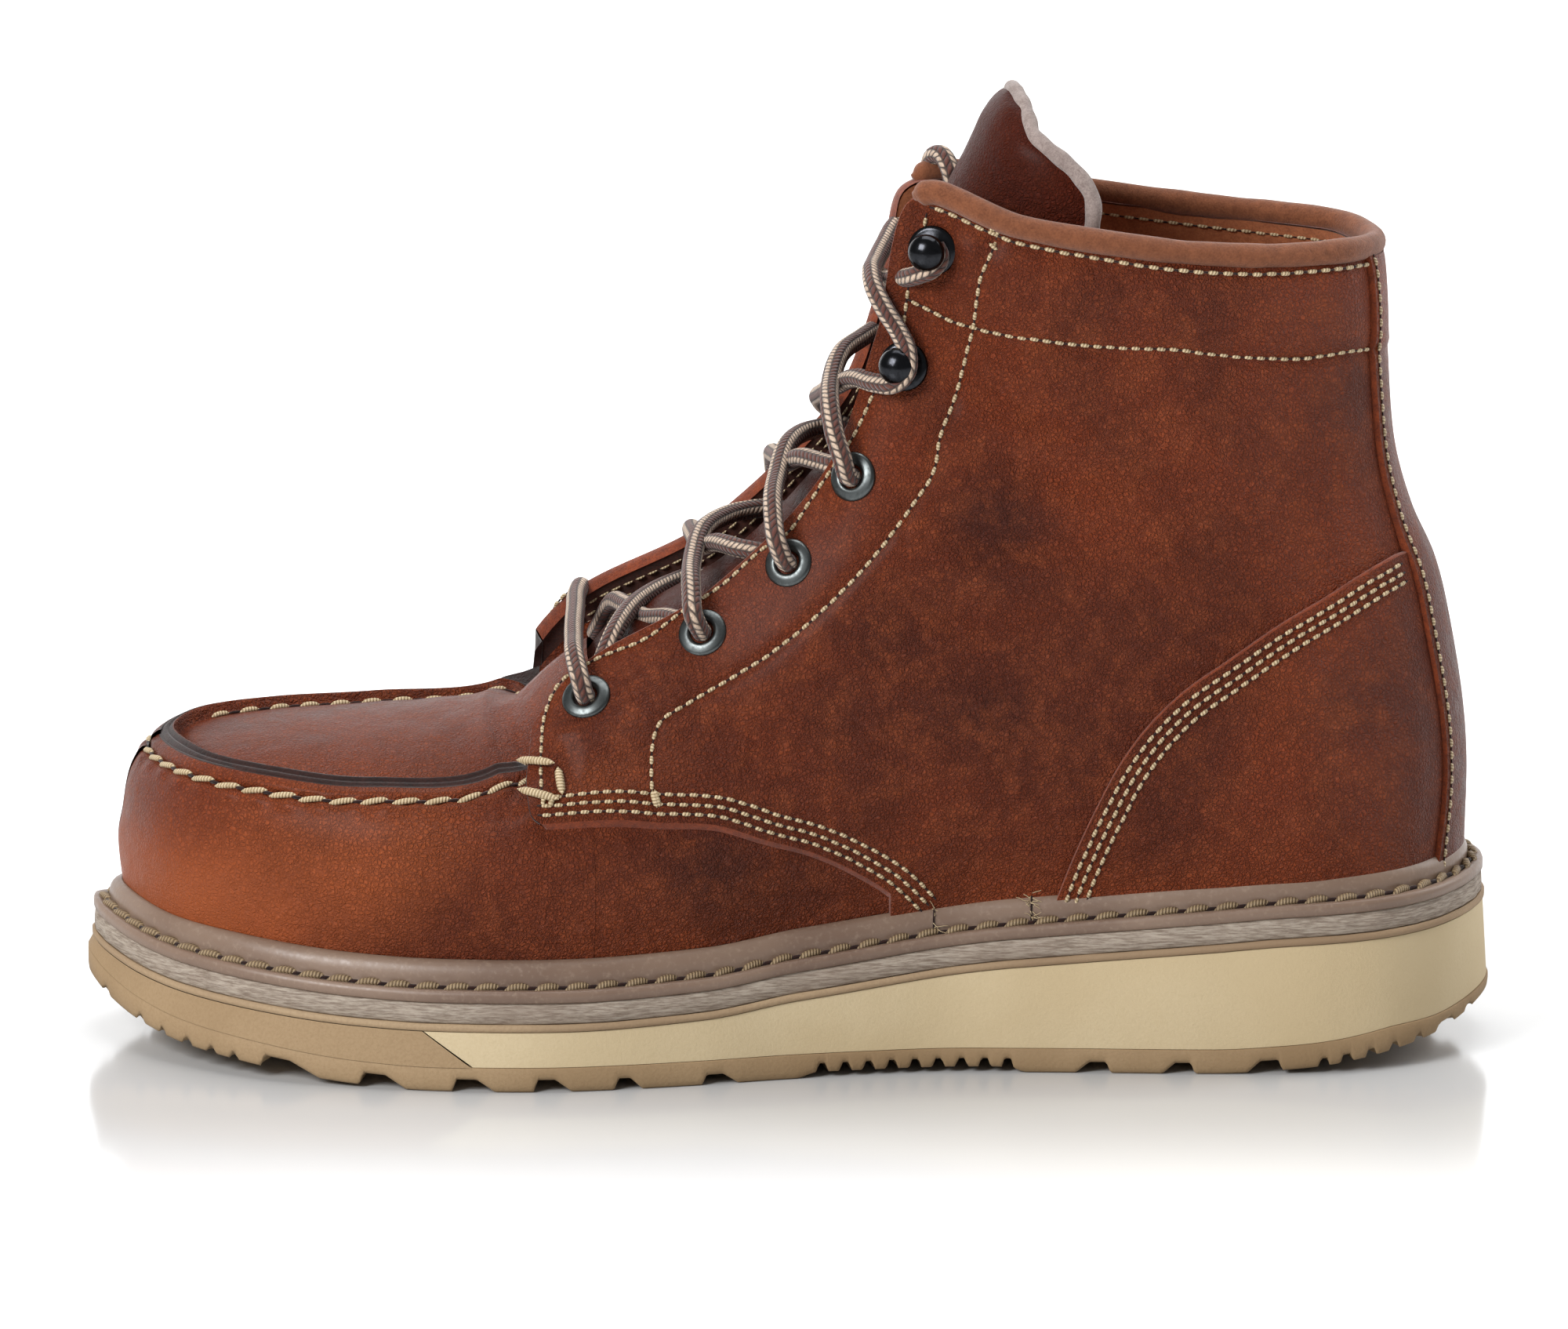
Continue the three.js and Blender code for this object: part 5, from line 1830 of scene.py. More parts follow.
class SoleStack:
    """Outsole, wedge, lip, midsole and welt, with the welt's joints and thread ends."""

    def __init__(self, sole: SoleForm, upper: UpperForm, finishes: Finishes, shift: float) -> None:
        """Keep the forms and measure the run round the outline.

        Args:
            sole: Form of the sole.
            upper: Form of the upper.
            finishes: The materials of the boot.
            shift: Move of the boot along X, in millimetres.
        """
        self.sole, self.upper, self.finishes, self.shift = sole, upper, finishes, shift
        turns = np.linspace(0, np.pi, 2001)
        steps = np.linalg.norm(np.diff(sole.outline(turns), axis=0), axis=1)
        self.run = np.concatenate([[0], np.cumsum(steps)])
        self.run /= self.run[-1]
        self.turns = turns

    def turn_of(self, share: np.ndarray) -> np.ndarray:
        """Turn at a share of the outer side's run: 0 heel, 1 toe tip, up to 2 back along the inner
        side.

        Args:
            share: Share of the run.

        Returns:
            The turn.
        """
        folded = np.where(share > 1, 2 - share, np.abs(share))
        turn = np.interp(folded, self.run, self.turns)
        return np.where(share > 1, 2 * np.pi - turn, np.where(share < 0, -turn, turn))

    def slant_share(self, height: np.ndarray) -> np.ndarray:
        """Share of the run where the toe block's slanted joint stands at a share of the wedge's
        height.

        Args:
            height: Share of the wedge's height.

        Returns:
            Share of the run.
        """
        top = TOE_BLOCK_LENGTH - SOLE_LENGTH / 2
        x = top + TOE_BLOCK_SLANT * (1 - height)
        return np.interp(turn_at(0.5 - x / SOLE_LENGTH), self.turns, self.run)

    def closed(
        self, name: str, rings: Sequence[np.ndarray], material: bpy.types.Material,
        hollow: bool = False
    ) -> bpy.types.Object:
        """Body through rings, from its underside up.

        Args:
            name: Name of the piece or of its material.
            rings: Closed rings of points, from below up.
            material: Its material.
            hollow: Whether it has a hole.

        Returns:
            The object.
        """
        maker = MeshMaker(name, self.shift)
        grid = np.stack(rings)
        centre = np.stack([grid[..., 0] * 0.6, 0 * grid[..., 0], grid[..., 2]], -1)
        middle = grid.mean(0, keepdims=True)
        outward = grid - (middle if hollow else centre)
        maker.grid(grid, outward=outward, close_columns=True, close_rows=hollow)
        if not hollow:
            half = grid.shape[1] // 2
            for ring, way in ((grid[0], -1.0), (grid[-1], 1.0)):
                strip = np.stack([ring[: half + 1], np.roll(ring[::-1], 1, axis=0)[: half + 1]], 1)
                maker.grid(strip, outward=np.array([0, 0, way]))
        return maker.build([material])

    def outsole(self) -> None:
        """Tread with its lugs, the toe block above it and the ribbed underside."""
        sole = self.sole
        turns = sole.even_turns(1400)
        recess = lambda x: sole.ground(x) + lug_recess(x)
        rings = [
            sole.ring(turns, LUG_REACH, sole.ground),
            sole.ring(turns, LUG_REACH - 0.3, recess),
            sole.ring(turns, 2.0, recess),
            sole.ring(turns, 0.7, lambda x: recess(x) + 0.1),
            sole.ring(turns, 0.15, lambda x: recess(x) + 0.55),
            sole.ring(turns, 0.0, lambda x: np.maximum(recess(x) + 1.1, sole.ground(x) + 1.6)),
            sole.ring(turns, 0.0, lambda x: sole.tread_top(x) - 0.25),
            sole.ring(turns, 0.25, sole.tread_top),
            sole.ring(turns, 3.0, sole.tread_top),
        ]
        maker = MeshMaker("outsole_visual", self.shift)
        grid = np.stack(rings)
        outward = grid - np.stack([grid[..., 0] * 0.6, 0 * grid[..., 0], grid[..., 2] + 2], -1)
        outward[:3] = (0, 0, -1)
        maker.grid(grid, outward=outward, close_columns=True)
        half = len(turns) // 2
        left, right = rings[0][: half + 1], np.roll(rings[0][::-1], 1, axis=0)[: half + 1]
        across = np.linspace(0, 1, 40)[None, :, None]
        floor = left[:, None] * (1 - across) + right[:, None] * across
        chevron = np.abs(
            np.mod(floor[..., 0] / 9.0 + np.abs(across[..., 0] - 0.5) * 2.2, 1.0) - 0.5
        )
        fade = smooth_step(np.minimum(across[..., 0], 1 - across[..., 0]) / 0.08)
        floor[..., 2] = sole.ground(floor[..., 0]) + 1.6 * smooth_step(
            (chevron - 0.26) / 0.1
        ) * fade
        maker.grid(floor, outward=np.array([0, 0, -1.0]))
        heights = np.linspace(0, 1, 9)
        shares = np.linspace(0, 1, 420)
        start = self.slant_share(heights)[:, None] + 0.0004
        block_turns = self.turn_of(start + (2 - 2 * start) * shares)
        block = self.wall(block_turns, heights, 0.0, 1.2, sole.tread_top)
        maker.grid(
            block, outward=np.stack([block[..., 0] + 90, block[..., 1], 0 * block[..., 0]], -1)
        )
        thing = maker.build([self.finishes.tread])
        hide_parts("outsole")

    def wall(
        self, turns: np.ndarray, heights: np.ndarray, low: float, high: float, foot: Callable
    ) -> np.ndarray:
        """Side wall between the tread and the lip, its inset going from low to high.

        Args:
            turns: Turns round the outline.
            heights: Shares up the wall.
            low: Inset at the foot.
            high: Inset at the top.
            foot: Millimetres that the wall starts above the tread.

        Returns:
            Grid of points.
        """
        inset = low + (high - low) * heights[:, None] + 0 * turns
        spot = self.sole.inset(turns, inset)
        bottom, top = foot(spot[..., 0]), self.sole.wedge_top(spot[..., 0])
        z = bottom + np.maximum(top - bottom, 0.3) * heights[:, None]
        return np.stack([spot[..., 0], spot[..., 1], z], -1)

    def wedge(self) -> None:
        """Cream wedge, behind the slanted joint."""
        heights = np.array([0, 0.03, 0.1, 0.25, 0.4, 0.55, 0.7, 0.85, 0.95, 1.0])
        shares = np.linspace(-1, 1, 900)
        edge = self.slant_share(heights)[:, None] - 0.0004
        turns = self.turn_of(edge * shares)
        grid = self.wall(turns, heights, 0.35, 1.3, lambda x: self.sole.tread_top(x) + 0.12)
        maker = MeshMaker("wedge_visual", self.shift)
        maker.grid(grid, outward=np.stack([grid[..., 0] * 0.3, grid[..., 1], 0 * grid[..., 0]], -1))
        half = grid.shape[1] // 2
        for row in (0, -1):
            ring = grid[row]
            strip = np.stack([ring[: half + 1], ring[::-1][: half + 1]], 1)
            maker.grid(strip, outward=np.array([0, 0, 1.0 if row else -1.0]))
        thing = maker.build([self.finishes.wedge])
        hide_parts("wedge")

    def lip_and_midsole(self) -> None:
        """Thin tan lip and the ground grey midsole over it."""
        sole = self.sole
        turns = sole.even_turns(900)
        rings = [
            sole.ring(turns, 1.6, sole.wedge_top),
            sole.ring(turns, 0.95, lambda x: sole.wedge_top(x) + 0.3),
            sole.ring(turns, 0.9, lambda x: sole.seat(x) - 0.4),
            sole.ring(turns, 1.5, lambda x: sole.seat(x) - 0.05),
        ]
        thing = self.closed("wedge_lip_visual", rings, self.finishes.lip)
        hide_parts("wedge_lip")
        wave = 0.12 * np.sin(turns * 23) * np.sin(turns * 7.3) + 0.1 * np.sin(turns * 61 + 1)
        rings = [
            sole.ring(turns, 2.0, sole.seat),
            sole.ring(turns, 1.5 + wave, lambda x: sole.seat(x) + 0.35),
            sole.ring(turns, 1.55 + wave, lambda x: sole.seat(x) + 0.5 * MIDSOLE),
            sole.ring(turns, 1.7 + wave, lambda x: sole.midsole_top(x) - 0.3),
            sole.ring(turns, 2.1, sole.midsole_top),
        ]
        thing = self.closed("midsole_visual", rings, self.finishes.midsole)
        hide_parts("midsole")

    def leather_ring(self, turns: np.ndarray, drop: float, out: float) -> np.ndarray:
        """Ring on the leather below the ridge's top, moved out from it.

        Args:
            turns: Turns round the outline.
            drop: Millimetres downwards.
            out: Distance outwards.

        Returns:
            Ring of points.
        """
        loop = np.mod(turns, 2 * np.pi)
        side = np.where(loop <= np.pi, -1.0, 1.0)
        target = np.where(loop <= np.pi, loop, 2 * np.pi - loop)
        numbers = np.linspace(0, TOE_TIP, 1501)
        number = np.interp(target, self.upper.foot_turn(numbers), numbers)
        highs = np.linspace(0, 0.4, 60)
        points = self.upper.point((side * number)[:, None], highs[None, :])
        over = points[..., 2] - (self.sole.ridge_top(points[..., 0]) - drop)
        crossing = np.array([np.interp(0, row, highs) for row in over])
        return self.upper.surface(side * number, crossing, out)

    def welt(self) -> None:
        """Flange with a stitch channel, and a rounded ridge against the leather."""
        sole = self.sole
        turns = sole.even_turns(900)
        above = lambda rise: (lambda x: sole.midsole_top(x) + rise)
        leather = self.leather_ring(turns, 0.25, 0.05)
        foot = sole.ring(turns, FLANGE_INSET + WELT_FLANGE + 0.1, sole.welt_top)
        rings = [
            sole.ring(turns, 6.5, above(0.05)),
            sole.ring(turns, 1.7, above(0.05)),
            sole.ring(turns, 1.3, above(0.4)),
            sole.ring(turns, 1.25, above(0.6 * WELT)),
            sole.ring(turns, 1.5, above(0.88 * WELT)),
            sole.ring(turns, 2.0, above(WELT)),
            sole.ring(turns, 3.0, above(WELT + 0.05)),
            sole.ring(turns, 3.7, above(WELT - 0.45)),
            sole.ring(turns, 4.3, above(WELT - 0.45)),
        ]
        for angle in np.radians([0, 12, 25, 38, 50, 62, 74, 84, 90]):
            in_share = 1 - math.cos(angle)
            flat = foot[:, :2] * (1 - in_share) + leather[:, :2] * in_share
            bulge = 0.5 * math.sin(2 * angle)
            flat = flat + (foot[:, :2] - leather[:, :2]) * 0.25 * bulge
            z = foot[:, 2] + 0.1 + (leather[:, 2] + 0.35 - foot[:, 2]) * math.sin(angle)
            rings.append(np.concatenate([flat, z[:, None]], 1))
        rings.append(self.leather_ring(turns, 0.8, -0.25))
        rings.append(self.leather_ring(turns, RIDGE, -0.4))
        self.joints(np.stack(rings)[8:-1])
        thing = self.closed("welt_visual", rings, self.finishes.welt, hollow=True)
        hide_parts("welt")


    def joints(self, rings: np.ndarray) -> None:
        """Joints of the welt's strip at the waist, with the ends of their threads.

        Args:
            rings: Rings of the welt.
        """
        seam, fluff = MeshMaker("welt_joint", self.shift), MeshMaker("thread_ends", self.shift)
        dice = np.random.default_rng(5)
        for x, count in ((32.5, 9), (53.4, 34)):
            near = np.where(rings[0, :, 1] < 0, np.abs(rings[0, :, 0] - x), np.inf).argmin()
            path = rings[:, near] + [0, -0.12, 0.05]
            grid, outward = tube_grid(smooth_path(path, 30), np.full(30, 0.22), 6)
            seam.grid(grid, outward=outward, close_columns=True)
            for _ in range(count):
                foot = path[
                    dice.integers(0, len(path) - 1)
                ] + dice.normal(0, 0.35, 3) * [1, 0.4, 0.4]
                aim = unit(dice.normal(0, 1, 3) * [1.3, 0.3, 0.6] + [0.4, -0.3, -0.1])
                bend = dice.normal(0, 0.6, (4, 3)) * [1, 0.4, 1]
                length = dice.uniform(1.2, 3.6)
                steps = foot + aim * length * np.linspace(0, 1, 5)[:, None]
                steps[1:] += 0.4 * np.cumsum(bend, 0) * length / 5
                grid, outward = tube_grid(smooth_path(steps, 12), np.linspace(0.13, 0.06, 12), 4)
                fluff.grid(grid, outward=outward, close_columns=True)
        seam.build([self.finishes.dark_edge_and_shade])
        fluff.build([self.finishes.thread])


# Stitches


class Stitcher:
    """Rows of stitches, joined into one mesh for each kind of thread."""

    def __init__(self, shift: float) -> None:
        """Keep what the class works with.

        Args:
            shift: Move of the boot along X, in millimetres.
        """
        self.threads = MeshMaker("stitching", shift)
        self.heavy = MeshMaker("heavy_stitching", shift)
        # Dark capsules between stitches: painted shade in the thread's punctures.
        self.hole_shade = MeshMaker("stitch_hole_shade", shift)

    def row(
        self,
        path: np.ndarray,
        normals: np.ndarray,
        pitch: float = 2.75,
        fill: float = 0.78,
        radius: float = 0.45,
        tilt: float = 0.0,
        heavy: bool = False,
        hole_shade: bool = True,
    ) -> None:
        """Lay stitches along a path with outward normals.

        Args:
            path: Points that the stitches follow.
            normals: Outward directions along the path.
            pitch: Length of a stitch with its gap.
            fill: Share of the pitch that the thread covers.
            radius: Half the thickness.
            tilt: Lean of each stitch.
            heavy: Whether the thread is thick.
            hole_shade: Whether the painted shade at the punctures between stitches shows.
        """
        run = np.concatenate([[0], np.cumsum(np.linalg.norm(np.diff(path, axis=0), axis=1))])
        count = max(1, int(round(run[-1] / pitch)))
        centres = (np.arange(count) + 0.5) * run[-1] / count
        pick = lambda rows, at: np.stack(
            [np.interp(at, run, rows[:, axis]) for axis in range(3)], -1
        )
        step = run[-1] / count
        along = unit(pick(path, centres + 0.25 * step) - pick(path, centres - 0.25 * step))
        out = unit(pick(normals, centres))
        beside = unit(np.cross(out, along))
        jitter = 0.12 * radius * np.sin(centres * 12.9 + 3 * np.sin(centres * 4.1))
        spots = pick(path, centres) + beside * jitter[:, None]
        maker = self.heavy if heavy else self.threads
        self.capsules(maker, spots, along, out, beside, 0.5 * fill * step, radius, tilt, 7, 6)
        # Painted shade: a dark capsule at each gap between stitches.
        if hole_shade:
            gaps = np.arange(count + 1) * run[-1] / count
            spots = pick(path, gaps)
            out = unit(pick(normals, gaps))
            along = unit(pick(path, gaps + 0.2) - pick(path, gaps - 0.2) + 1e-6)
            self.capsules(
                self.hole_shade, spots, along, out, unit(np.cross(out, along)), 0.28 * step,
                0.5 * radius, 0.0, 4, 5
            )

    @staticmethod
    def capsules(
        maker: MeshMaker,
        spots: np.ndarray,
        along: np.ndarray,
        out: np.ndarray,
        beside: np.ndarray,
        half: float,
        radius: float,
        tilt: float,
        rings: int,
        sides: int,
    ) -> None:
        """Add one rounded body at each spot.

        Args:
            maker: Mesh that they join.
            spots: Places of the bodies or points.
            along: Direction of each body.
            out: Outward direction of each body.
            beside: Cross direction of each body.
            half: Half the length of each body.
            radius: Half the thickness.
            tilt: Lean of each stitch.
            rings: How many rings each body has.
            sides: How many faces round.
        """
        share = np.linspace(-1, 1, rings)
        swell = np.sqrt(np.clip(1 - share**4, 0.02, 1))
        angles = np.linspace(0, 2 * np.pi, sides, endpoint=False)
        height = radius * (0.35 - 0.55 * share**2)
        core = (
            spots[:, None]
            + along[:, None] * (half * share)[None, :, None]
            + out[:, None] * height[None, :, None]
            + beside[:, None] * (tilt * radius * share)[None, :, None]
        )
        ring = (
            out[:, None, None] * np.sin(angles)[None, None, :, None]
            + beside[:, None, None] * np.cos(angles)[None, None, :, None]
        )
        grid = core[:, :, None] + ring * (radius * swell)[None, :, None, None]
        count = len(spots)
        base = grid_faces(rings, sides, close_columns=True)
        size = rings * sides
        faces = (base[None] + (np.arange(count) * size)[:, None, None]).reshape(-1, 4)
        caps = np.array([[0, 1, 2, sides - 1]]) if sides < 5 else np.array(
            [[0, 1, 2, 3], [0, 3, 4, sides - 1]]
        )
        caps = np.concatenate([caps[:, ::-1], caps + size - sides])
        faces = np.concatenate(
            [faces, (caps[None] + (np.arange(count) * size)[:, None, None]).reshape(-1, 4)]
        )
        v = np.repeat(share[:, None] * half, sides, 1)
        u = np.repeat((angles / (2 * np.pi))[None], rings, 0)
        uv = np.broadcast_to(np.stack([u, v], -1), (count, rings, sides, 2)).reshape(-1, 2)
        maker.add(grid.reshape(-1, 3), faces, uv=uv)

    def build(self, finishes: Finishes) -> None:
        """Write the joined meshes.

        Args:
            finishes: The materials of the boot.
        """
        for maker, material, slot in (
            (self.threads, finishes.thread, "lace_cord"),
            (self.heavy, finishes.thick_thread, "lace_cord"),
            (self.hole_shade, finishes.dark_edge_and_shade, "oiled_leather"),
        ):
            thing = maker.build([material])


# The upper's pieces

# Edges and seams of the outer side, as pixels of the photograph.
SEAMS = {
    "quarter_low": (
        (690, 1051), (798, 1046), (838, 1049), (917, 1053), (976, 1071), (1035, 1087),
        (1095, 1114), (1134, 1138), (1166, 1168),
    ),
    "quarter_front": (
        (690, 1051), (680, 1043), (674, 1020), (672, 1000), (677, 950), (679, 917), (681, 890)
    ),
    "counter_edge": (
        (1348, 1147), (1366, 1102), (1399, 1031), (1428, 977), (1466, 926), (1507, 886),
        (1565, 845), (1632, 799),
        (1694, 762), (1739, 733), (1778, 710),
    ),
    "eyestay": (
        (1274, 290), (1266, 321), (1255, 348), (1244, 406), (1232, 453), (1214, 518), (1198, 560),
        (1193, 595), (1160, 650),
        (1125, 697), (1075, 753), (1019, 805), (971, 841), (924, 869), (872, 900), (842, 921),
        (832, 952), (831, 985), (832, 1030),
    ),
    "throat": (
        (1182, 275), (1179, 295), (1158, 374), (1154, 409), (1112, 508), (1089, 556), (1061, 598),
        (1033, 640), (1007, 678),
        (971, 702), (924, 744), (868, 782), (825, 815), (759, 843), (716, 871), (697, 909),
        (691, 952), (691, 1022),
    ),
    "cuff": (
        (1161, 383), (1188, 397), (1214, 410), (1244, 419), (1285, 428), (1332, 435), (1373, 440),
        (1440, 444), (1499, 446),
        (1540, 451), (1615, 457), (1665, 457), (1715, 449), (1746, 445),
    ),
    "collar": (
        (1182, 268), (1208, 264), (1238, 277), (1282, 290), (1300, 295), (1362, 310), (1445, 321),
        (1528, 330), (1623, 334),
        (1694, 328), (1740, 321),
    ),
}
# Single thick stitches, as pixels of the photograph: both ends, radius and lift in millimetres.
BARS = (
    ((663, 972), (709, 974), 0.95, 1.9),
    ((711, 978), (717, 1014), 0.95, 1.9),
    ((662, 1008), (713, 1020), 0.95, 1.9),
    ((706, 1014), (702, 1030), 0.6, 1.7),
    ((694, 1014), (692, 1028), 0.5, 1.6),
    ((832, 1008), (838, 1030), 0.7, 1.7),
    ((835, 1007), (841, 1029), 0.6, 1.6),
    ((1262, 292), (1275, 292), 0.5, 1.6),
    ((1262, 310), (1273, 318), 0.45, 1.6),
)
# Soft folds of the leather, as pixels of the photograph: a line's three places, half width and
# depth in millimetres; a negative depth is a ridge.
FOLDS = (
    ((1215, 470), (1290, 520), (1400, 560), 5.0, 0.9),
    ((1225, 560), (1330, 600), (1470, 600), 5.5, 0.8),
    ((1210, 520), (1310, 560), (1430, 580), 4.0, -0.5),
    ((1180, 660), (1270, 700), (1400, 690), 6.0, 1.0),
    ((1120, 760), (1230, 780), (1370, 740), 7.0, 1.1),
    ((1150, 715), (1250, 740), (1380, 715), 5.0, -0.7),
    ((1090, 820), (1200, 850), (1330, 830), 8.0, 1.0),
    ((1040, 900), (1130, 930), (1260, 940), 8.0, 0.7),
    ((900, 930), (960, 960), (1030, 960), 6.0, 0.5),
    ((716, 935), (722, 965), (718, 1000), 3.0, 0.6),
    ((760, 950), (790, 965), (816, 960), 4.0, 0.4),
    ((1300, 410), (1420, 420), (1560, 425), 3.0, 0.35),
    ((1560, 560), (1650, 600), (1720, 590), 8.0, 0.5),
    ((1500, 700), (1600, 690), (1700, 650), 8.0, 0.5),
)
# Lighter and darker places of the leather, as pixels of the photograph: reach in millimetres and
# strength. They are partly the leather's own colour and partly painted light and painted shade,
# where folds and the fall of the light make it lighter or darker.
TONE_AND_SHADE_SPOTS = (
    (330, 1060, 15, 0.35), (470, 1110, 18, 0.6), (560, 1060, 12, 0.3), (700, 1120, 14, 0.15),
    (240, 1140, 12, 0.25),
    (180, 1040, 9, -0.2), (640, 1190, 12, -0.2), (900, 1120, 14, -0.75), (1040, 1130, 12, -0.5),
    (760, 985, 9, 0.5),
    (860, 985, 9, 0.3), (745, 930, 7, -0.3), (1215, 400, 8, 0.2), (1190, 520, 8, -0.35),
    (1270, 660, 15, -0.85),
    (1130, 800, 13, -0.55), (1050, 880, 12, -0.15), (1260, 900, 17, -0.6), (1110, 980, 12, -0.2),
    (1400, 600, 15, 0.15),
    (1330, 500, 11, -0.2), (1560, 530, 13, -0.2), (1690, 480, 9, 0.15), (1690, 620, 10, -0.35),
    (1560, 700, 13, 0.1),
    (1600, 350, 13, 0.15), (1420, 390, 11, -0.35), (1290, 370, 9, -0.3), (1700, 400, 8, -0.2),
    (1650, 900, 15, 0.25),
    (1500, 1080, 13, -0.4), (1790, 980, 9, -0.2), (1400, 960, 9, -0.3), (1330, 1090, 9, -0.3),
    (1450, 800, 12, -0.15),
)
STITCH_PITCH = 2.75
MOC_PITCH = 6.9
ROW_STEP = 2.05


class Upper:
    """Vamp with its plug, quarters, counters, backstay, lining, binding and tongue."""

    def __init__(
        self, form: UpperForm, sight: Sight, finishes: Finishes, stitcher: Stitcher, shift: float
    ) -> None:
        """Keep the forms and the finishes.

        Args:
            form: Form of the upper.
            sight: The view of the photograph.
            finishes: The materials of the boot.
            stitcher: What lays the stitches.
            shift: Move of the boot along X, in millimetres.
        """
        self.form, self.sight, self.shift = form, sight, shift
        self.finishes, self.stitcher = finishes, stitcher
        self.lines = {name: sight.on_upper(form, pixels, 90) for name, pixels in SEAMS.items()}
        self.side_view = {
            name: form.point(line[:, 0], line[:, 1])[:, [0, 2]] for name, line in self.lines.items()
        }
        self.folds = []
        for *pixels, width, depth in FOLDS:
            line = sight.on_upper(form, pixels, 12)
            self.folds.append((form.point(line[:, 0], line[:, 1])[:, [0, 2]], width, depth))
        form.relief = self.relief
        # Spots of painted light and painted shade, mixed with the leather's own colour.
        self.tone_and_shade_spots = []
        for across, down, reach, strength in TONE_AND_SHADE_SPOTS:
            spot = sight.on_upper(form, ((across, down), (across + 1, down + 1)), 2)[0]
            self.tone_and_shade_spots.append((form.point(spot[0], spot[1])[[0, 2]], reach, strength))

    def store_tone_and_shade(self, thing: bpy.types.Object) -> None:
        """Store the lighter and darker places on a piece: partly the leather's own colour, partly
        painted light and painted shade.

        Args:
            thing: The piece.
        """
        mesh = thing.data
        places = np.empty(3 * len(mesh.vertices))
        mesh.vertices.foreach_get("co", places)
        spots = places.reshape(-1, 3)[:, [0, 2]] / MM
        shade = np.zeros(len(spots))
        for centre, reach, strength in self.tone_and_shade_spots:
            shade += strength * np.exp(-((spots - centre) ** 2).sum(1) / reach**2)
        layer = mesh.attributes.new("tone_and_shade", "FLOAT", "POINT")
        layer.data.foreach_set("value", np.clip(0.5 + 0.5 * shade, 0, 1))

    def relief(self, point: np.ndarray, t: np.ndarray, high: np.ndarray) -> np.ndarray:
        """Swells, seams and folds of the leather, in millimetres outwards.

        Args:
            point: Points on the smooth form.
            t: Turn round the upper, 0 at the back seam.
            high: Share up the section, 0 at the sole and 1 at the edge.

        Returns:
            Millimetres outwards.
        """
        spots = point[..., [0, 2]].reshape(-1, 2)
        height = np.zeros(len(spots))
        flat_t = np.broadcast_to(t, point.shape[:-1]).ravel()
        stay, _ = line_distance(spots, self.side_view["eyestay"])
        cuff, share = line_distance(spots, self.side_view["cuff"])
        band = np.clip(cuff / 19.5, 0, 1)
        behind = smooth_step((spots[:, 0] - 33) / 9)
        swell = 1.9 - 1.3 * np.exp(-(flat_t**2))
        height += swell * np.sqrt(np.sin(np.pi * band)) * behind * (cuff > 0)
        height -= 0.45 * bump(cuff, 1.0) * (np.abs(flat_t) > 0.5)
        height -= 0.35 * bump(stay, 1.1)
        height += 0.3 * smooth_step(np.abs(stay) / 4) * 0.5
        for line, width, depth in self.folds:
            distance, along = line_distance(spots, line)
            height -= 1.7 * depth * bump(distance, width) * np.sin(
                np.pi * np.clip(along, 0.02, 0.98)
            ) ** 0.6
        sway = 0.25 * np.sin(
            spots[:, 0] / 11 + 1.2 * np.sin(spots[:, 1] / 17)
        ) * np.sin(spots[:, 1] / 13 + 0.8)
        return (height + sway).reshape(point.shape[:-1])

    # Vamp, plug and shell

    def vamp(self) -> None:
        """Vamp side walls and plug, with the raised seam between them, and the shell behind them.
        """
        form = self.form
        start = THROAT_END - 0.5
        rows = TOE_TIP - (TOE_TIP - start) * np.linspace(1, 0, 330) ** 1.5
        highs = np.concatenate([np.linspace(0, 0.72, 30), np.linspace(0.72, 1, 56)[1:]])
        edge_out, edge_in = form.point(-rows, 1.0), form.point(rows, 1.0)
        run_out = np.concatenate(
            [[0], np.cumsum(np.linalg.norm(np.diff(edge_out, axis=0), axis=1))]
        )
        run_in = np.concatenate([[0], np.cumsum(np.linalg.norm(np.diff(edge_in, axis=0), axis=1))])
        sides = {}
        for side, edge, run in ((-1, edge_out, run_out), (1, edge_in, run_in)):
            t = (side * rows)[:, None] + 0 * highs[None]
            high = highs[None] + 0 * rows[:, None]
            base = form.point(t, high)
            below = np.linalg.norm(edge[:, None] - base, axis=-1)
            seam = smooth_step((rows - THROAT_END - 0.12) / 0.3)[:, None]
            pucker = np.cos(2 * np.pi * run / MOC_PITCH)[:, None]
            lift = -(0.85 + 0.3 * pucker) * bump(below - 4.3, 0.95) + 0.3 * bump(below - 2.2, 1.2)
            lift = lift + (0.3 - 0.2 * pucker) * bump(below - 6.6, 1.4) - 0.35 * bump(below, 0.45)
            sides[side] = form.surface(t, high, lift * seam)
            sides[side][..., 2] -= form.sink(rows)[:, None] * smooth_step((high - 0.6) / 0.4)
        plug, slots = self.plug(rows, edge_out, edge_in)
        grid = np.concatenate([sides[-1], plug[:, 1:-1], sides[1][:, ::-1]], 1)
        maker = MeshMaker("upper_visual", self.shift)
        columns = grid.shape[1]
        faces = grid_faces(len(rows), columns)
        flat = grid.reshape(-1, 3)
        corners = flat[faces]
        facing = np.cross(corners[:, 2] - corners[:, 0], corners[:, 3] - corners[:, 1])
        middle = corners.mean(1) - [-90, 0, 25]
        if (facing * middle).sum() < 0:
            faces = faces[:, ::-1]
        dark = np.zeros((len(rows) - 1, columns - 1), int)
        side_count = len(highs)
        dark[:, side_count - 3 : side_count - 1] = 1
        dark[:, side_count - 1 : side_count - 1 + slots.shape[1]] = slots
        dark[:, columns - side_count : columns - side_count + 2] = 1
        dark[rows[1:] < THROAT_END + 0.2] = 0
        maker.add(flat, faces)
        maker.slots[-1] = dark.ravel()
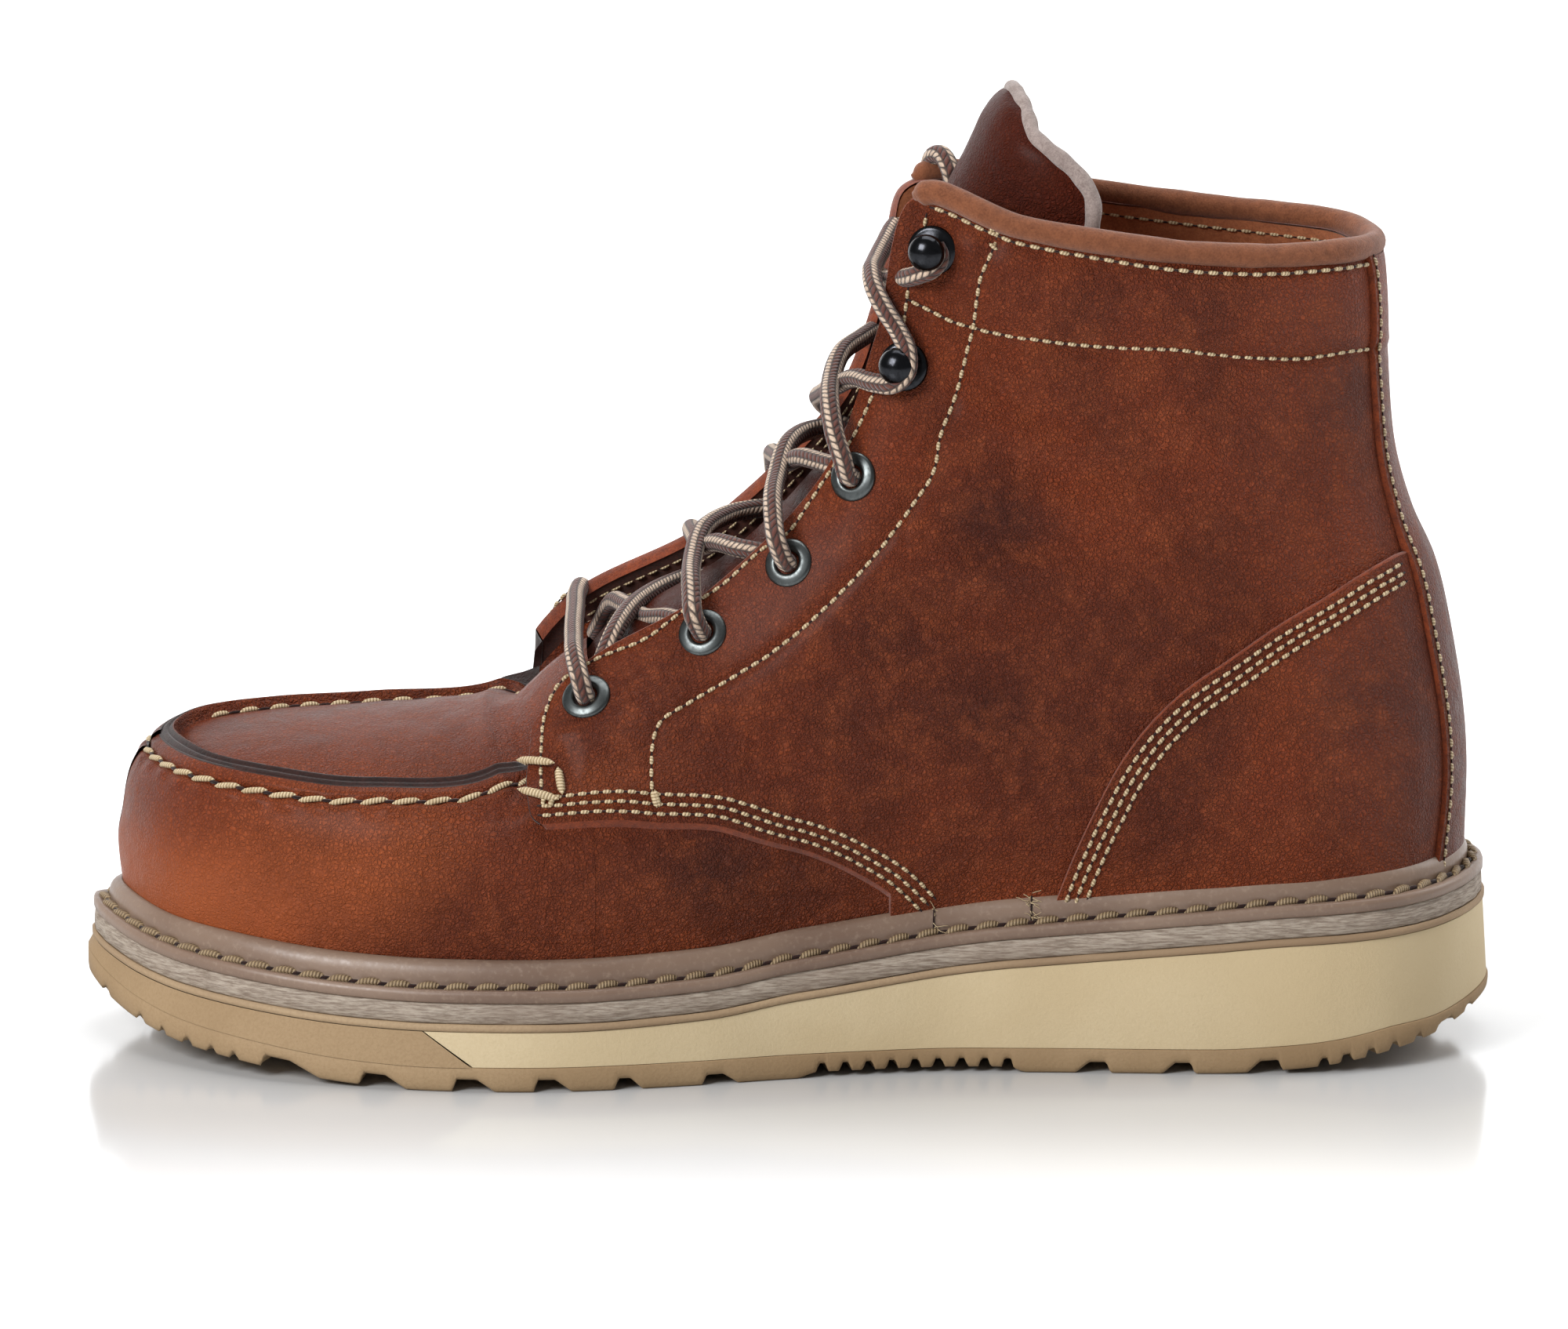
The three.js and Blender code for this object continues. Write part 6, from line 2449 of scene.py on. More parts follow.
        shell_t = np.linspace(-start - 0.02, start + 0.02, 240)
        shell_high = np.linspace(0, 1, 40)
        shell = form.surface(shell_t[:, None], shell_high[None], -0.12)
        maker.grid(shell, outward=form.normal(shell_t[:, None], shell_high[None]))
        inner_t = np.linspace(-THROAT_END - 0.3, THROAT_END + 0.3, 200)
        inner_high = np.linspace(0.05, 1, 40)
        inner = form.surface(inner_t[:, None], inner_high[None], -WALL + 0.2)
        number = np.abs(inner_t[1:, None] + 0 * inner_high[None, 1:])
        maker.grid(inner, outward=-form.normal(inner_t[:, None], inner_high[None]))
        # Inside the throat the darker lining paints in the deep shade there; elsewhere the plain
        # lining.
        maker.slots[-1] = np.where(number > 7.0, 3, 2).ravel()
        under_number = np.linspace(THROAT_END, TOE_TIP - 0.25, 60)
        under_across = np.linspace(0, 1, 24)
        under = form.crown(under_number[:, None], under_across[None], -RIM_HEIGHT - WALL)
        under[..., 2] -= 1.6 * form.sink(under_number)[:, None]
        maker.grid(under, slot=2, outward=np.array([0, 0, -1.0]))
        thing = maker.build(
            [
                self.finishes.leather, self.finishes.dark_edge_and_shade, self.finishes.lining,
                self.finishes.throat_shade_lining
            ],
            merge=0.004
        )
        self.store_tone_and_shade(thing)
        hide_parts("upper")
        self.moc_stitches(rows, edge_out, edge_in)

    def plug(
        self, rows: np.ndarray, edge_out: np.ndarray, edge_in: np.ndarray
    ) -> tuple[np.ndarray, np.ndarray]:
        """Plug with the seam's rim, and which of its faces are the burnished edge.

        Args:
            rows: How many rows.
            edge_out: Outer edge of the plug.
            edge_in: Inner edge of the plug.

        Returns:
            Grid of points, and a mask of the burnished faces.
        """
        form = self.form
        width = np.linalg.norm(edge_in - edge_out, axis=1)
        half = np.maximum(width / 2, 1e-4)
        fine = np.linspace(0, 1, 25) * np.minimum(7.0, 0.62 * half)[:, None]
        rest = fine[:, -1:] + (half[:, None] - fine[:, -1:]) * np.linspace(0, 1, 16)[None, 1:]
        left = np.concatenate([fine, rest], 1) / (2 * half[:, None])
        across = np.concatenate([left, 1 - left[:, -2::-1]], 1)
        base = form.crown(rows[:, None] + 0 * across, across)
        line = np.concatenate([edge_out, edge_in[::-1]])[:, :2]
        distance, _ = line_distance(base[..., :2].reshape(-1, 2), line)
        distance = np.abs(distance).reshape(across.shape)
        seam = smooth_step((rows - THROAT_END - 0.12) / 0.3)[:, None]
        drop = RIM_HEIGHT * smooth_step((distance - 2.7) / 1.3)
        drop = drop + 0.55 * bump(
            distance - 1.75, 0.4
        ) + 0.35 * bump(distance, 0.45) + 0.35 * bump(distance - 4.9, 0.9)
        wrinkle = 0.22 * np.sin(
            base[..., 0] / 2.6 + 0.5 * np.sin(base[..., 1] / 4)
        ) * bump(base[..., 0] + 72, 14)
        base[..., 2] += -drop * seam - RIM_HEIGHT * (1 - seam) * smooth_step(
            distance / 3
        ) + wrinkle * smooth_step((distance - 4) / 4)
        base[..., 2] -= form.sink(rows[:, None], across)
        dark = (distance[:-1, :-1] < 2.6).astype(int)
        return base, dark

    def moc_stitches(self, rows: np.ndarray, edge_out: np.ndarray, edge_in: np.ndarray) -> None:
        """Thick stitches under the rim outside and at its foot inside.

        Args:
            rows: How many rows.
            edge_out: Outer edge of the plug.
            edge_in: Inner edge of the plug.
        """
        form = self.form
        keep = rows > THROAT_END + 0.1
        number = rows[keep]
        for side, edge in ((-1, edge_out[keep]), (1, edge_in[keep])):
            highs = np.linspace(0.8, 1, 80)
            base = form.point((side * number)[:, None], highs[None])
            below = np.linalg.norm(edge[:, None] - base, axis=-1)
            high = np.array([np.interp(-4.3, -row, highs) for row in below])
            path = form.surface(side * number, high, -0.45)
            path[:, 2] -= form.sink(number) * smooth_step((high - 0.6) / 0.4)
            normals = form.normal(side * number, high)
            self.stitcher.row(path, normals, pitch=MOC_PITCH, fill=0.92, radius=0.75, tilt=0.9)
            width = np.linalg.norm(edge_in[keep] - edge_out[keep], axis=1)
            inset = np.minimum(4.2, 0.45 * width) / np.maximum(width, 0.1)
            across = inset if side < 0 else 1 - inset
            path = form.crown(number, across)
            path[:, 2] -= RIM_HEIGHT - 0.2 + form.sink(number, across)
            wide = width > 12
            up = np.tile([0.0, 0.0, 1.0], (wide.sum(), 1))
            self.stitcher.row(path[wide], up, pitch=MOC_PITCH, fill=0.7, radius=0.65, tilt=0.4)

    # Panels over the shell

    def panel(
        self, name: str, t: np.ndarray, high: np.ndarray, top: float, foot: float,
        edges: Sequence[str], node: str
    ) -> None:
        """Leather panel over a grid of places, with raw cut edges where they show.

        Args:
            name: Name of the piece or of its material.
            t: Turn round the upper, 0 at the back seam.
            high: Share up the section, 0 at the sole and 1 at the edge.
            top: Face of the panel.
            foot: Place of the lower end.
            edges: Sides whose cut edge shows.
            node: CAD node that it stands for.
        """
        form = self.form
        face = form.surface(t, high, top)
        normals = form.normal(t, high)
        maker = MeshMaker(name, self.shift)
        maker.grid(face, outward=normals)
        under = form.surface(t, high, foot)
        for edge in edges:
            take = {
                "low": (slice(None), 0, slice(None), 1),
                "high": (slice(None), -1, slice(None), -2),
                "front": (-1, slice(None), -2, slice(None)),
                "back": (0, slice(None), 1, slice(None)),
            }[edge.split(":")[0]]
            rim, inside = face[take[0], take[1]], face[take[2], take[3]]
            out = unit(rim - inside)
            normal = normals[take[0], take[1]]
            foot_line = under[take[0], take[1]]
            spread = 3.0 if edge == "low:raw" else 0.5 if edge.endswith("raw") else 0.15
            rows = [
                rim,
                rim + out * 0.22 - normal * 0.12,
                rim + out * (0.22 + 0.5 * spread) - normal * 0.5 * (top - foot),
                foot_line + out * spread,
            ]
            maker.grid(
                np.stack(rows, 1), slot=1 if edge.endswith("raw") else 2, outward=out[:, None]
            )
        thing = maker.build(
            [self.finishes.leather, self.finishes.raw_edge, self.finishes.dark_edge_and_shade]
        )
        self.store_tone_and_shade(thing)
        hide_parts(node)

    def quarter(self, side: int, name: str) -> None:
        """Quarter with the eyestay and the padded cuff.

        Args:
            side: -1 for the outer side, 1 for the inner.
            name: CAD node that it stands for.
        """
        low, front = self.lines["quarter_low"], self.lines["quarter_front"]
        order = np.argsort(-low[:, 0])
        foot_turns = np.concatenate([[0.0, 7.0], -low[order, 0]])
        foot_highs = np.concatenate([[0.03, 0.03], low[order, 1]])
        front_order = np.argsort(front[:, 1])
        front_share = (
            front[front_order, 1] - front[front_order[0], 1]
        ) / (1 - front[front_order[0], 1])
        front_turn = -front[front_order, 0]
        v = np.linspace(0, 1, 110)
        front_at = np.interp(
            v, np.concatenate([front_share, [1.0]]),
            np.concatenate([front_turn, [front_turn[-1] - 0.12]])
        )
        back = 0.0
        split = 9.9
        numbers = np.concatenate(
            [
                np.tile(np.linspace(back, split, 190)[:, None], (1, len(v))),
                split + (front_at[None] - split) * np.linspace(0, 1, 26)[1:, None]
            ]
        )
        foot = np.interp(numbers, foot_turns, foot_highs)
        high = foot + (1 - foot) * v[None]
        self.panel(
            name, side * numbers, high, QUARTER_TOP, -WALL, ("low:raw", "front", "high:raw"),
            name.replace("_visual", "")
        )

    def counter(self, side: int, name: str) -> None:
        """Heel counter over the quarter.

        Args:
            side: -1 for the outer side, 1 for the inner.
            name: CAD node that it stands for.
        """
        edge = self.lines["counter_edge"]
        order = np.argsort(-edge[:, 0])
        turns, highs = -edge[order, 0], edge[order, 1]
        last = turns[-1]
        numbers = np.linspace(0, 1, 120) ** 0.85 * last
        top = np.interp(numbers, turns, highs)
        high = 0.03 + (top[:, None] - 0.03) * np.linspace(0, 1, 50)[None]
        t = side * numbers[:, None] + 0 * high
        self.panel(
            name, t, high, COUNTER_TOP, QUARTER_TOP - 0.1, ("high:raw",),
            name.replace("_visual", "")
        )

    def stay_half(self, high: np.ndarray, half: np.ndarray, side: int) -> np.ndarray:
        """Turn where the form is half wide on one side of the back seam.

        Args:
            high: Share up the section, 0 at the sole and 1 at the edge.
            half: Half width in millimetres.
            side: -1 for the outer side, 1 for the inner.

        Returns:
            The turn.
        """
        numbers = np.linspace(0, 3, 240)
        across = np.abs(self.form.point((side * numbers)[:, None], high[None])[..., 1])
        return side * np.array(
            [np.interp(half[i], across[:, i], numbers) for i in range(len(high))]
        )

    def backstay(self) -> None:
        """Strip down the back seam, with a stitch row inside each edge."""
        high = np.linspace(0.03, 1, 120)
        half = np.interp(high, [0, 0.5, 1], [18.5, 15.0, 12.5])
        left, right = self.stay_half(high, half, -1), self.stay_half(high, half, 1)
        u = np.linspace(0, 1, 44)[:, None]
        t = left[None] * (1 - u) + right[None] * u
        over = smooth_step((0.66 - high) / 0.1)
        top = STAY_TOP + 0.9 * over
        form = self.form
        grid_high = high[None] + 0 * t
        face = form.surface(t, grid_high, np.broadcast_to(top[None], t.shape))
        normals = form.normal(t, grid_high)
        maker = MeshMaker("backstay_visual", self.shift)
        maker.grid(face, outward=normals)
        for row, beside in ((0, 1), (-1, -2)):
            out = unit(face[row] - face[beside])
            foot = form.surface(t[row], high, QUARTER_TOP - 0.1)
            wall = np.stack(
                [face[row], face[row] + out * 0.2 - normals[row] * 0.15, foot + out * 0.5], 1
            )
            maker.grid(wall, slot=1, outward=out[:, None])
        thing = maker.build([self.finishes.leather, self.finishes.raw_edge])
        self.store_tone_and_shade(thing)
        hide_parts("backstay")
        for side in (-1, 1):
            inside = np.abs(half) - 1.6
            t_row = self.stay_half(high, inside, side)
            path = form.surface(t_row, high, top + 0.05)
            self.stitcher.row(path, form.normal(t_row, high), STITCH_PITCH, radius=0.42)

    def seam_rows(self) -> None:
        """Stitch rows of both quarters and counters."""
        form = self.form
        rows = [
            ("eyestay", 0.0, QUARTER_TOP), ("throat", 0.0, QUARTER_TOP),
            ("cuff", 0.0, QUARTER_TOP + 0.4)
        ]
        rows += [("quarter_low", ROW_STEP * k + 1.9, QUARTER_TOP) for k in range(3)]
        rows += [("counter_edge", -ROW_STEP * k - 1.9, COUNTER_TOP) for k in range(3)]
        for name, inset, lift in rows:
            line = self.lines[name]
            place = self.shifted(line, inset)
            for side in (-1, 1):
                t = side * np.abs(place[:, 0])
                path = form.surface(t, place[:, 1], lift + 0.02)
                if name == "eyestay":
                    path = path[:-2]
                self.stitcher.row(
                    path, form.normal(t, place[:, 1])[: len(path)], STITCH_PITCH, radius=0.45
                )

        t = np.linspace(0.35, 5.75, 200)
        for side in (-1, 1):
            high = self.below_edge(side * t, 1.7)
            path = form.surface(side * t, high, QUARTER_TOP + 0.2)
            self.stitcher.row(path, form.normal(side * t, high), 3.3, radius=0.48)
            high = self.below_edge(side * t, 2.6)
            path = form.surface(side * t, high, -WALL - 0.1)
            self.stitcher.row(path, -form.normal(side * t, high), 3.3, radius=0.4)
        t = np.linspace(7.6, 10.2, 120)
        for drop in (2.4, 5.4):
            high = self.below_edge(t, drop)
            path = form.surface(t, high, -WALL - 0.15)
            self.stitcher.row(path, -form.normal(t, high), 3.0, radius=0.26, hole_shade=False)
        for start, end, radius, lift in BARS:
            line = self.sight.on_upper(form, (start, end), 6)
            for side in (-1, 1):
                t = side * np.abs(line[:, 0])
                path = form.surface(t, line[:, 1], lift)
                if side > 0:
                    path[:, 2] -= form.sink(np.abs(t)) * smooth_step((line[:, 1] - 0.6) / 0.4)
                self.stitcher.row(path, form.normal(t, line[:, 1]), 99, 1.0, radius, hole_shade=False)

    def below_edge(self, t: np.ndarray, drop: float) -> np.ndarray:
        """Share up each section where the form lies below the collar's edge.

        Args:
            t: Turn round the upper, 0 at the back seam.
            drop: Millimetres downwards.

        Returns:
            Share up the section.
        """
        highs = np.linspace(0.7, 1, 120)
        gaps = self.form.point(t, 1.0)[:, None] - self.form.point(t[:, None], highs[None])
        return np.array([np.interp(-drop, -row, highs) for row in np.linalg.norm(gaps, axis=-1)])

    def shifted(self, line: np.ndarray, inset: float) -> np.ndarray:
        """Line moved over the surface by millimetres, to the side of larger heights if positive.

        Args:
            line: Points of a line.
            inset: Millimetres to the side of larger heights.

        Returns:
            The moved line.
        """
        if inset == 0:
            return line
        form = self.form
        t, high = line[:, 0], line[:, 1]
        step = 0.01
        here = form.point(t, high)
        by_turn = (form.point(t + step, high) - here) / step
        by_high = (form.point(t, high + step) - here) / step
        along = unit(np.gradient(here, axis=0))
        up = np.cross(form.normal(t, high), along)
        up = up * np.sign(up[:, 2:3] + 1e-9) * np.sign(inset)
        a, b, c = (by_turn**2).sum(-1), (by_turn * by_high).sum(-1), (by_high**2).sum(-1)
        p, q = (by_turn * up).sum(-1), (by_high * up).sum(-1)
        whole = a * c - b * b
        move = np.stack([(p * c - q * b) / whole, (q * a - p * b) / whole], -1) * abs(inset)
        return line + move

    # Collar and tongue

    def binding(self) -> None:
        """Nubuck roll round the collar."""
        form = self.form
        reach = 5.94
        t = np.linspace(-reach, reach, 420)
        point = form.point(t, 1.0)
        out = form.normal(t, 0.99)
        out[:, 2] = 0
        out = unit(out)
        path = point + out * 0.5
        path[:, 2] += BINDING / 2 - 0.9 - 1.5 * smooth_step((np.abs(t) - 5.65) / 0.35)
        wave = 0.07 * np.sin(t * 4.1) + 0.04 * np.sin(t * 9.3)
        ends = np.clip((reach - np.abs(t)) / 0.1, 0.2, 1) ** 0.5
        radius = (BINDING / 2 + wave) * ends
        grid, outward = tube_grid(path, radius, 20, flat=0.92)
        maker = MeshMaker("collar_binding_visual", self.shift)
        maker.grid(grid, outward=outward, close_columns=True)
        thing = maker.build([self.finishes.binding])
        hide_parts("collar_binding")

    def tongue(self) -> None:
        """Padded tongue with its grey suede binding."""
        numbers = np.arange(len(TONGUE_ROWS["at"]))
        curve = {name: Curve(numbers, TONGUE_ROWS[name]) for name in TONGUE_ROWS}
        rows = np.linspace(0, numbers[-1], 150)
        across = np.linspace(-1, 1, 61)

        def face(row: np.ndarray, w: np.ndarray, depth: float) -> np.ndarray:
            """One face of the tongue.

            Args:
                row: Share along the tongue.
                w: Share across the tongue.
                depth: Millimetres inwards.

            Returns:
                Grid of points.
            """
            spot = lambda r: np.stack(
                [SOLE_LENGTH * (0.5 - curve["at"](r)), 0 * r, TONGUE_TIP * curve["up"](r)], -1
            )
            centre = spot(row)
            along = unit(spot(row + 0.05) - spot(row - 0.05))
            flat = np.clip(curve["flat"](row), 0, 1)[..., None]
            back = np.stack([-along[..., 2], 0 * row, along[..., 0]], -1)
            back = unit(back * (1 - flat) + np.array([1.0, 0, 0]) * flat)
            thickness = depth * TONGUE_THICKNESS * np.minimum(1, 0.45 + row)
            edge = 1 - 0.4 * np.abs(w) ** 6
            angle = np.pi / 2 * w
            tucked = 1 - 0.5 * smooth_step(w / 0.5) * smooth_step((8.5 - row) / 2.5)
            slim = 3.4 * smooth_step(row / 2.5) * smooth_step((9 - row) / 3)
            reach = (BALL_WIDTH * curve["deep"](row) - slim) * tucked
            point = centre + back * (reach - (reach - thickness * edge) * np.cos(angle))[..., None]
            point[..., 1] = (BALL_WIDTH * curve["wide"](row) - thickness * edge) * np.sin(angle)
            return point

        row, w = rows[:, None] + 0 * across[None], across[None] + 0 * rows[:, None]
        front, rear = face(row, w, 0.0), face(row, w, 1.0)
        for sheet in (front, rear):
            sheet[..., 2] -= 6.0 * smooth_step(
                (-38 - sheet[..., 0]) / 12
            ) + 1.6 * smooth_step((2 - row) / 2)
        front, rear = self.held_in(front, 0.3), self.held_in(rear, 0.8)
        maker = MeshMaker("tongue_visual", self.shift)
        out = unit(front - rear)
        maker.grid(front, outward=out)
        maker.grid(rear, slot=1, outward=-out)
        maker.grid(np.stack([front[:, 0], rear[:, 0]], 1), slot=1, outward=np.array([0, -1.0, 0]))
        maker.grid(np.stack([front[:, -1], rear[:, -1]], 1), slot=1, outward=np.array([0, 1.0, 0]))
        thing = maker.build([self.finishes.tongue_leather, self.finishes.lining])
        self.store_tone_and_shade(thing)
        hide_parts("tongue")
        reach = np.linspace(8.2, 0.0, 120)
        edge_rows = np.concatenate([reach, reach[::-1]])
        edge_side = np.concatenate([-np.ones(120), np.ones(120)])
        path = face(edge_rows, edge_side, 0.3)
        path = path + np.stack([0.7 + 0 * edge_side, 1.1 * edge_side, 0.3 + 0 * edge_side], -1)
        path = smooth_path(self.held_in(path, 0.6)[::10], 300)
        path[:, 2] -= 2.6 * bump(path[:, 2] - TONGUE_TIP, 10)
        wave = 0.1 * np.sin(np.arange(300) * 0.5)
        grid, outward = tube_grid(path, 1.8 + wave, 16)
        trim = MeshMaker("tongue_binding", self.shift)
        trim.grid(grid, outward=outward, close_columns=True)
        thing = trim.build([self.finishes.suede])

    def held_in(self, points: np.ndarray, clear: float) -> np.ndarray:
        """Points kept inside the shaft where they lie below its edge.

        Args:
            points: Points, three numbers each.
            clear: Distance from the wall.

        Returns:
            The points.
        """
        form = self.form
        flat = points.reshape(-1, 3).copy()
        for side in (-1, 1):
            t, high = np.meshgrid(side * np.linspace(4.5, 11.2, 90), np.linspace(0.5, 1, 50))
            wall = form.surface(t, high, -WALL - 0.3).reshape(-1, 3)
            mine = np.nonzero(np.sign(flat[:, 1]) == side)[0]
            for part in np.array_split(mine, max(1, len(mine) // 800)):
                gaps = ((flat[part][:, None, [0, 2]] - wall[None][:, :, [0, 2]]) ** 2).sum(-1)
                near = gaps.argmin(1)
                close = gaps[np.arange(len(part)), near] < 9
                limit = np.abs(wall[near, 1]) - clear
                held = np.minimum(np.abs(flat[part, 1]), np.where(close, limit, np.inf))
                flat[part, 1] = side * held
        return flat.reshape(points.shape)


# Eyelets, hooks and laces


class Fittings:
    """Eyelets and speed hooks on both quarters."""

    def __init__(self, form: UpperForm, finishes: Finishes, shift: float) -> None:
        """Keep what the class works with."""
        self.form, self.finishes, self.shift = form, finishes, shift

    def stand(self, place: tuple[float, float], side: int) -> tuple[np.ndarray, np.ndarray]:
        """Foot and outward axis at a place on a quarter."""
        t, high = np.array([side * place[0]]), np.array([place[1]])
        return self.form.surface(t, high, QUARTER_TOP - 0.15)[0], self.form.normal(t, high)[0]

    def turned(
        self, name: str, node: str, parts: Sequence[tuple], place: tuple[float, float], side: int
    ) -> None:
        """Turned piece of one or more profiles, each with its material.

        Args:
            name: Name of the piece or of its material.
            node: CAD node that it stands for.
            parts: Profiles and their materials.
            place: Share along the eyelet line.
            side: -1 for the outer side, 1 for the inner.
        """
        foot, axis = self.stand(place, side)
        maker = MeshMaker(name, self.shift)
        for slot, (profile, _) in enumerate(parts):
            grid = lathe_grid(profile, 40, foot, axis)
            rows = np.asarray(profile, float)
            slope = np.gradient(rows, axis=0)
            radial = unit(grid - (foot + axis * rows[:, 1][:, None])[:, None])
            outward = radial * slope[:, 1][:, None, None] - axis * slope[:, 0][:, None, None]
            maker.grid(grid, slot=slot, outward=outward, close_columns=True)
        thing = maker.build([material for _, material in parts])
        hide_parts(node)

    def build(self) -> None:
        """Make all eyelets and hooks."""
        flange = (
            (5.5, -0.4), (5.5, 0.15), (5.3, 0.5), (4.8, 0.72), (4.1, 0.95), (3.5, 1.1),
            (3.0, 1.05), (2.7, 0.75), (2.6, 0.3),
            (2.55, -0.3),
        )
        # Dark disc across the eyelet's opening: painted shade inside the eyelet.
        dark = ((2.6, 0.12), (1.3, 0.05), (0.01, 0.0))
        base = (
            (5.5, -0.3), (5.5, 0.75), (5.3, 1.05), (4.6, 1.25), (2.6, 1.35), (2.15, 1.6),
            (2.0, 2.2), (2.0, 4.2)
        )
        angles = np.radians(np.linspace(-62, 90, 16))
        dome = [(1.9, 4.1)] + [
            (4.1 * math.cos(angle), 5.2 + 2.9 * math.sin(angle)) for angle in angles
        ]
        metal, black = self.finishes.gunmetal, self.finishes.black_metal
        # Dark material for that disc, as painted shade.
        hole = self.finishes.dark_edge_and_shade
        for side, label in ((-1, "outer"), (1, "inner")):
            for i, place in enumerate(EYELETS, 1):
                node = f"eyelet_{label}_{i}"
                self.turned(f"{node}_visual", node, ((flange, metal), (dark, hole)), place, side)
            for i, place in enumerate(HOOKS, 1):
                node = f"hook_{label}_{i}"
                self.turned(f"{node}_visual", node, ((base, black), (dome, black)), place, side)


# Strands of the lace as rows of photograph pixels and the place across the boot in millimetres.
LACE_RUNS = {
    "bar": (
        (741, 870, -37.0), (735, 846, -33.5), (732, 816, -18.0), (734, 777, 8.0), (736, 757, 24.0),
        (741, 748, 31.5),
        (745, 757, 37.0), (748, 778, 39.5),
    ),
    "under": (
        (762, 862, -25.0), (779, 816, -19.0), (798, 783, -8.0), (824, 760, 6.0), (858, 743, 18.0),
        (880, 736, 24.0)
    ),
    "second": (
        (884, 783, -35.0), (882, 757, -31.0), (883, 716, -15.0), (896, 683, 0.0), (918, 662, 11.0),
        (944, 652, 19.0),
        (975, 648, 23.5),
    ),
    "third": (
        (990, 688, -33.0), (986, 655, -28.5), (991, 608, -12.0), (1004, 574, 1.0),
        (1026, 552, 12.0), (1050, 545, 18.5),
        (1068, 541, 22.5),
    ),
    "fourth": (
        (1074, 584, -31.5), (1065, 556, -30.0), (1059, 521, -25.0), (1060, 487, -13.0),
        (1073, 457, 0.0), (1096, 434, 12.0),
        (1118, 420, 22.5), (1136, 415, 28.5), (1153, 409, 30.5), (1159, 396, 30.5),
        (1152, 383, 29.5),
    ),
    "fifth": (
        (1072, 532, 31.0), (1056, 520, 28.5), (1045, 508, 21.0), (1050, 495, 8.0),
        (1068, 485, -8.0), (1094, 482, -19.0),
        (1119, 489, -26.5), (1142, 489, -30.5), (1156, 475, -31.5), (1158, 452, -30.5),
        (1147, 424, -28.0), (1130, 397, -26.0),
        (1117, 372, -23.0), (1112, 349, -16.0), (1116, 326, -5.0), (1128, 306, 8.0),
        (1142, 288, 19.0), (1158, 277, 26.0),
        (1176, 277, 29.0), (1194, 268, 29.0), (1194, 247, 27.0), (1186, 215, 25.5),
        (1191, 199, 22.5), (1203, 199, 18.5),
        (1212, 216, 15.5), (1218, 250, 15.0),
    ),
    "sixth": (
        (1138, 366, 26.0), (1122, 352, 19.0), (1112, 350, 4.0), (1128, 357, -10.0),
        (1149, 355, -20.5), (1172, 350, -27.0),
        (1190, 342, -28.5), (1199, 328, -27.5), (1193, 314, -26.5),
    ),
}
CROSSING_GAP = 2.3


